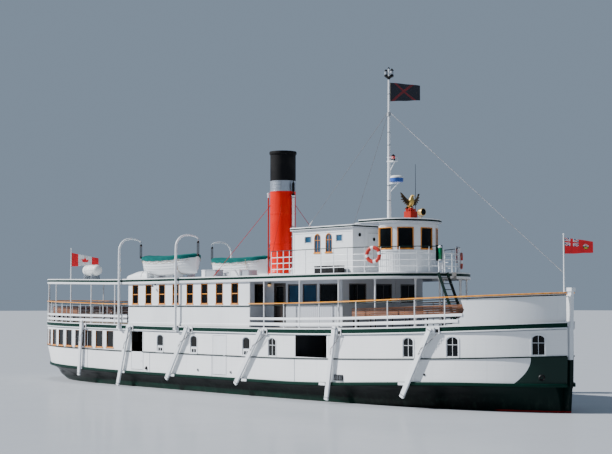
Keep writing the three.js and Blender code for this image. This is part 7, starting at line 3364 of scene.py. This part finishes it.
@dataclass
class Flags:
    """Three flags flying from staffs and mast, with their emblems."""

    wind: float = math.atan2(0.757, 0.654)
    thick: float = 0.006
    rows: int = 16
    columns: int = 44

    def build(self) -> None:
        """Builds the flags."""
        self.flag("stern_flag", -19.35, 6.75, 7.62, 1.7, 0.0294, STERN_CLOTH, 3, 1.0)
        self.flag("mast_flag", 9.0, 13.85, 14.76, 1.42, 0.0556, MAST_CLOTH, 5, 0.4)
        self.flag("bow_flag", 19.14, 6.42, 7.11, 1.18, 0.0269, BOW_CLOTH, 8, 0.6)

    def flag(self, node: str, x: float, z0: float, z1: float, length: float, gap: float, finish: Finish,
             seed: int, droop: float = 0.0) -> None:
        """Builds one flag as a thin waving sheet, whose fly hangs lower by its droop.

        Args:
            node: model node that it stands for.
            x: x of its pole.
            z0: height of its lower edge.
            z1: height of its upper edge.
            length: its length.
            gap: distance from the pole's middle.
            finish: its finish.
            seed: seed of its waves.
            droop: how much of the fly's fall it has.
        """
        ease = random.Random(seed)
        phase = [ease.uniform(0, 6.28) for _ in range(3)]
        tall, rows, columns = z1 - z0, self.rows, self.columns

        def place(u: float, v: float, skin: float) -> tuple[float, float, float]:
            """Point of the cloth at shares of its length and height.

            Args:
                u: share of the length.
                v: share of the height.
                skin: distance from the middle of the cloth.

            Returns:
                The point.
            """
            d = gap + 0.006 + u * (length - 0.02)
            swing = 0.0115 * min(1.0, u * 5) * (
                math.sin(u * 9.5 + phase[0] + v * 1.2) + 0.5 * math.sin(u * 17 - v * 2.4 + phase[1])) * 0.9
            y = swing * 0.62 + skin
            v = v * (1 - 0.52 * droop * u ** 1.1) + 0.12 * droop * u ** 1.3
            z = z0 + 0.012 + v * (tall - 0.03) + 0.006 * math.sin(u * 11 + phase[2])
            z = min(z1, max(z0, z))
            c, s = math.cos(self.wind), math.sin(self.wind)
            return (x + d * c - y * s, d * s + y * c, z)

        shell = Shell()
        sheets = [[[place(i / columns, j / rows, skin) for j in range(rows + 1)] for i in range(columns + 1)]
                  for skin in (-self.thick / 2, self.thick / 2)]
        shell.loft([[*a, *reversed(b)] for a, b in zip(*sheets)], finish)
        cloth = shell.piece(f"{node}_cloth", replaces=(node,), sharp=70)
        self.chart(cloth)
        trim = Shell()
        head, foot = place(0.0, 1.0, 0), place(0.0, 0.0, 0)
        trim.rod(foot, head, 0.009, ROPE, 8)
        for t in (0.06, 0.94):
            p = Vector(foot).lerp(Vector(head), t)
            trim.tube([p, (x + (p.x - x) * 0.45, p.y * 0.45, p.z)], 0.006, ROPE, 6)
        band_ = trim.piece(f"{node}_header")

    def chart(self, cloth: bpy.types.Object) -> None:
        """Lays the cloth out flat as its UV map, so that patterns follow its waves.

        Args:
            cloth: the flag's piece.
        """
        layer = cloth.data.uv_layers.new(name="flat")
        ring = 2 * (self.rows + 1)
        for polygon in cloth.data.polygons:
            for loop, vertex in zip(polygon.loop_indices, polygon.vertices):
                i, j = divmod(vertex, ring)
                layer.data[loop].uv = (i / self.columns, min(j, ring - 1 - j) / self.rows)


@dataclass
class Ladder:
    """Iron ladder from the foredeck to the roof."""

    foot_x: float = 14.14
    head_x: float = 13.095
    ys: tuple = (-1.03, -0.47)

    def build(self) -> None:
        """Builds stringers, treads with their plates, and feet."""
        shell = Shell()
        low, high = LINES.deck(self.foot_x) + 0.04, LINES.roof(self.head_x) - 0.03
        y0, y1 = self.ys
        for y in self.ys:
            a, b = Vector((self.foot_x, y, low)), Vector((self.head_x, y, high))
            frame_ = turned(a, b - a, (0, 1, 0))
            shell.block((0.0, -0.014, -0.07), ((b - a).length, 0.014, 0.07), DARK_GREEN, frame_)
        for f in steps(0.1, 0.9, 7):
            x = self.foot_x + (self.head_x - self.foot_x) * f
            z = low + (high - low) * f
            shell.block((x - 0.09, y0, z - 0.014), (x + 0.09, y1, z + 0.014), DARK_GREEN)
            for y in steps(y0 + 0.09, y1 - 0.09, 2):
                shell.block((x - 0.08, y - 0.07, z + 0.0135), (x + 0.08, y + 0.07, z + 0.0165), STEEL)
        base = LINES.deck(14.22) + 0.0005
        for y in self.ys:
            for x0, x1, half, rise in ((14.07, 14.22, 0.04, 0.014), (14.1, 14.19, 0.03, 0.09)):
                shell.block((x0, y - half, base), (x1, y + half, base + rise), DARK_GREEN)
        shell.piece("ladder_irons", replaces=("foredeck_ladder",))


@dataclass
class Rudder:
    """Plate rudder with its stock and ribs."""

    x: float = -15.95

    def build(self) -> None:
        """Builds the rudder."""
        shell = Shell()
        x = self.x
        rings = []
        for z, back in ((-1.95, -0.84), (-1.9, -0.86), (-1.2, -0.89), (-0.66, -0.885), (-0.58, -0.86)):
            line = [(x + back, 0.012), (x - 0.4, 0.042), (x, 0.05), (x + 0.1, 0.035), (x + 0.118, 0.0)]
            rings.append([(a, b, z) for a, b in line] + [(a, -b, z) for a, b in reversed(line[:-1])])
        shell.loft(rings, HULL)
        for z in (-1.75, -1.25, -0.78):
            rib = [(x - 0.8, 0.03), (x - 0.1, 0.062), (x + 0.05, 0.062), (x + 0.05, -0.062),
                   (x - 0.1, -0.062), (x - 0.8, -0.03)]
            shell.loft([[(a, b, z + d) for a, b in rib] for d in (-0.035, 0.035)], HULL)
        shell.rod((x, 0, -2.0297), (x, 0, -0.3903), 0.06, BRONZE, 24)
        shell.piece("rudder_plate", "rudder", replaces=("rudder",), sharp=30)


@dataclass
class Propellers:
    """Four-bladed bronze propellers."""

    x: float = -14.25
    y: float = 1.05
    z: float = -1.45
    blades: int = 4
    blade: tuple = ((-0.5, 0.0), (-0.3, 1.0), (0.0, 1.3), (0.3, 0.9), (0.5, 0.0), (0.3, -0.25), (0.0, -0.3),
                    (-0.3, -0.25))

    def build(self) -> None:
        """Builds both propellers."""
        for side in Side:
            self.propeller(side)

    def propeller(self, side: Side) -> None:
        """Builds hub, cap and twisted blades.

        Args:
            side: port or starboard.
        """
        shell = Shell()
        s = side.value
        hub = [(0, -0.15), (0.03, -0.147), (0.055, -0.12), (0.07, -0.08), (0.092, 0.02), (0.095, 0.1697),
               (0, 0.1697)]
        shell.turn((self.x, s * self.y, self.z), hub, BRONZE, 28, (1, 0, 0))
        for k in range(self.blades):
            turn = Matrix.Rotation(k * math.pi / 2, 3, "X")
            rings = []
            for r, chord, pitch in ((0.06, 0.11, 1.0), (0.14, 0.19, 0.85), (0.24, 0.27, 0.66),
                                    (0.34, 0.29, 0.52), (0.43, 0.22, 0.43), (0.485, 0.1, 0.38),
                                    (0.497, 0.02, 0.36)):
                ring = []
                thick = 0.012 * (1 - r / 0.6) + 0.003
                for c, t in self.blade:
                    along = c * chord
                    px = along * math.sin(pitch) + t * thick * math.cos(pitch) - 0.08 * r
                    py = s * (along * math.cos(pitch) - t * thick * math.sin(pitch))
                    ring.append(turn @ Vector((px, py, r)) + Vector((self.x, s * self.y, self.z)))
                rings.append(ring)
            shell.loft(rings, BRONZE)
        shell.piece(f"propeller_blades_{side.label}", f"propeller_{side.label}",
                    replaces=(f"propeller_{side.label}",), sharp=35)


# Stage and order of building
@dataclass(frozen=True)
class Studio:
    """Camera of the photo's view, the pale floor and the light."""

    place: tuple[float, float, float] = (53.707, -43.741, 4.335)
    heading: float = -0.8583
    pitch: float = 0.0582
    lens: float = 79.1
    far: float = 2000.0

    def build(self) -> None:
        """Sets up camera, floor, sky light and sun."""
        data = bpy.data.cameras.new("view")
        data.sensor_width = 36.0
        data.lens = self.lens
        data.clip_end = self.far
        camera = bpy.data.objects.new("view", data)
        camera.location = self.place
        camera.rotation_euler = (math.pi / 2 + self.pitch, 0, -self.heading)
        bpy.context.scene.collection.objects.link(camera)
        bpy.context.scene.camera = camera
        self.floor()
        world = bpy.data.worlds.new("soft_sky")
        world.use_nodes = True
        back = world.node_tree.nodes["Background"]
        back.inputs["Color"].default_value = (0.60, 0.77, 1.0, 1.0)
        back.inputs["Strength"].default_value = 0.36
        bpy.context.scene.world = world
        self.light("sun", "SUN", (0, 0, 30), (math.radians(53), 0, math.radians(-45)), 8.0, 0.03)

    def floor(self) -> None:
        """Adds the pale floor at the waterline."""
        mesh = bpy.data.meshes.new("floor")
        mesh.from_pydata([(-900, -900, 0), (900, -900, 0), (900, 900, 0), (-900, 900, 0)], [], [(0, 1, 2, 3)])
        floor = bpy.data.objects.new("floor", mesh)
        grey = Paint("studio_floor", (0.40, 0.42, 0.45), (0.37, 0.39, 0.42), 0.5, 0.1)
        mesh.materials.append(grey.material())
        bpy.context.scene.collection.objects.link(floor)

    def light(self, name: str, kind: str, place: tuple, turn: tuple, energy: float, angle: float) -> None:
        """Adds one light.

        Args:
            name: its name.
            kind: its kind.
            place: its place.
            turn: its rotation.
            energy: its strength.
            angle: how wide it looks.
        """
        data = bpy.data.lights.new(name, kind)
        data.energy = energy
        data.angle = angle
        lamp = bpy.data.objects.new(name, data)
        lamp.location = place
        lamp.rotation_euler = turn
        bpy.context.scene.collection.objects.link(lamp)


def main() -> None:
    """Builds the ship's parts in order, then the stage."""
    logging.basicConfig(level=logging.INFO, format="%(name)s: %(message)s")
    for part in (Hull, MainDeckWalls, Guards, PromenadeDeck, Cabin, Saloon, Rails, Bulwarks, Porch, Benches,
                 HurricaneDeck, OfficersCabin, Wheelhouse, HurricaneRail, Funnel, BoilerCasing, Mast, Figure,
                 Lifeboats, Raft, Davits, SideDoors, Staffs, Flags, Ladder, Rudder, Propellers):
        LOG.info("building %s", part.__name__)
        part().build()
    Studio().build()


if __name__ == "__main__":
    main()
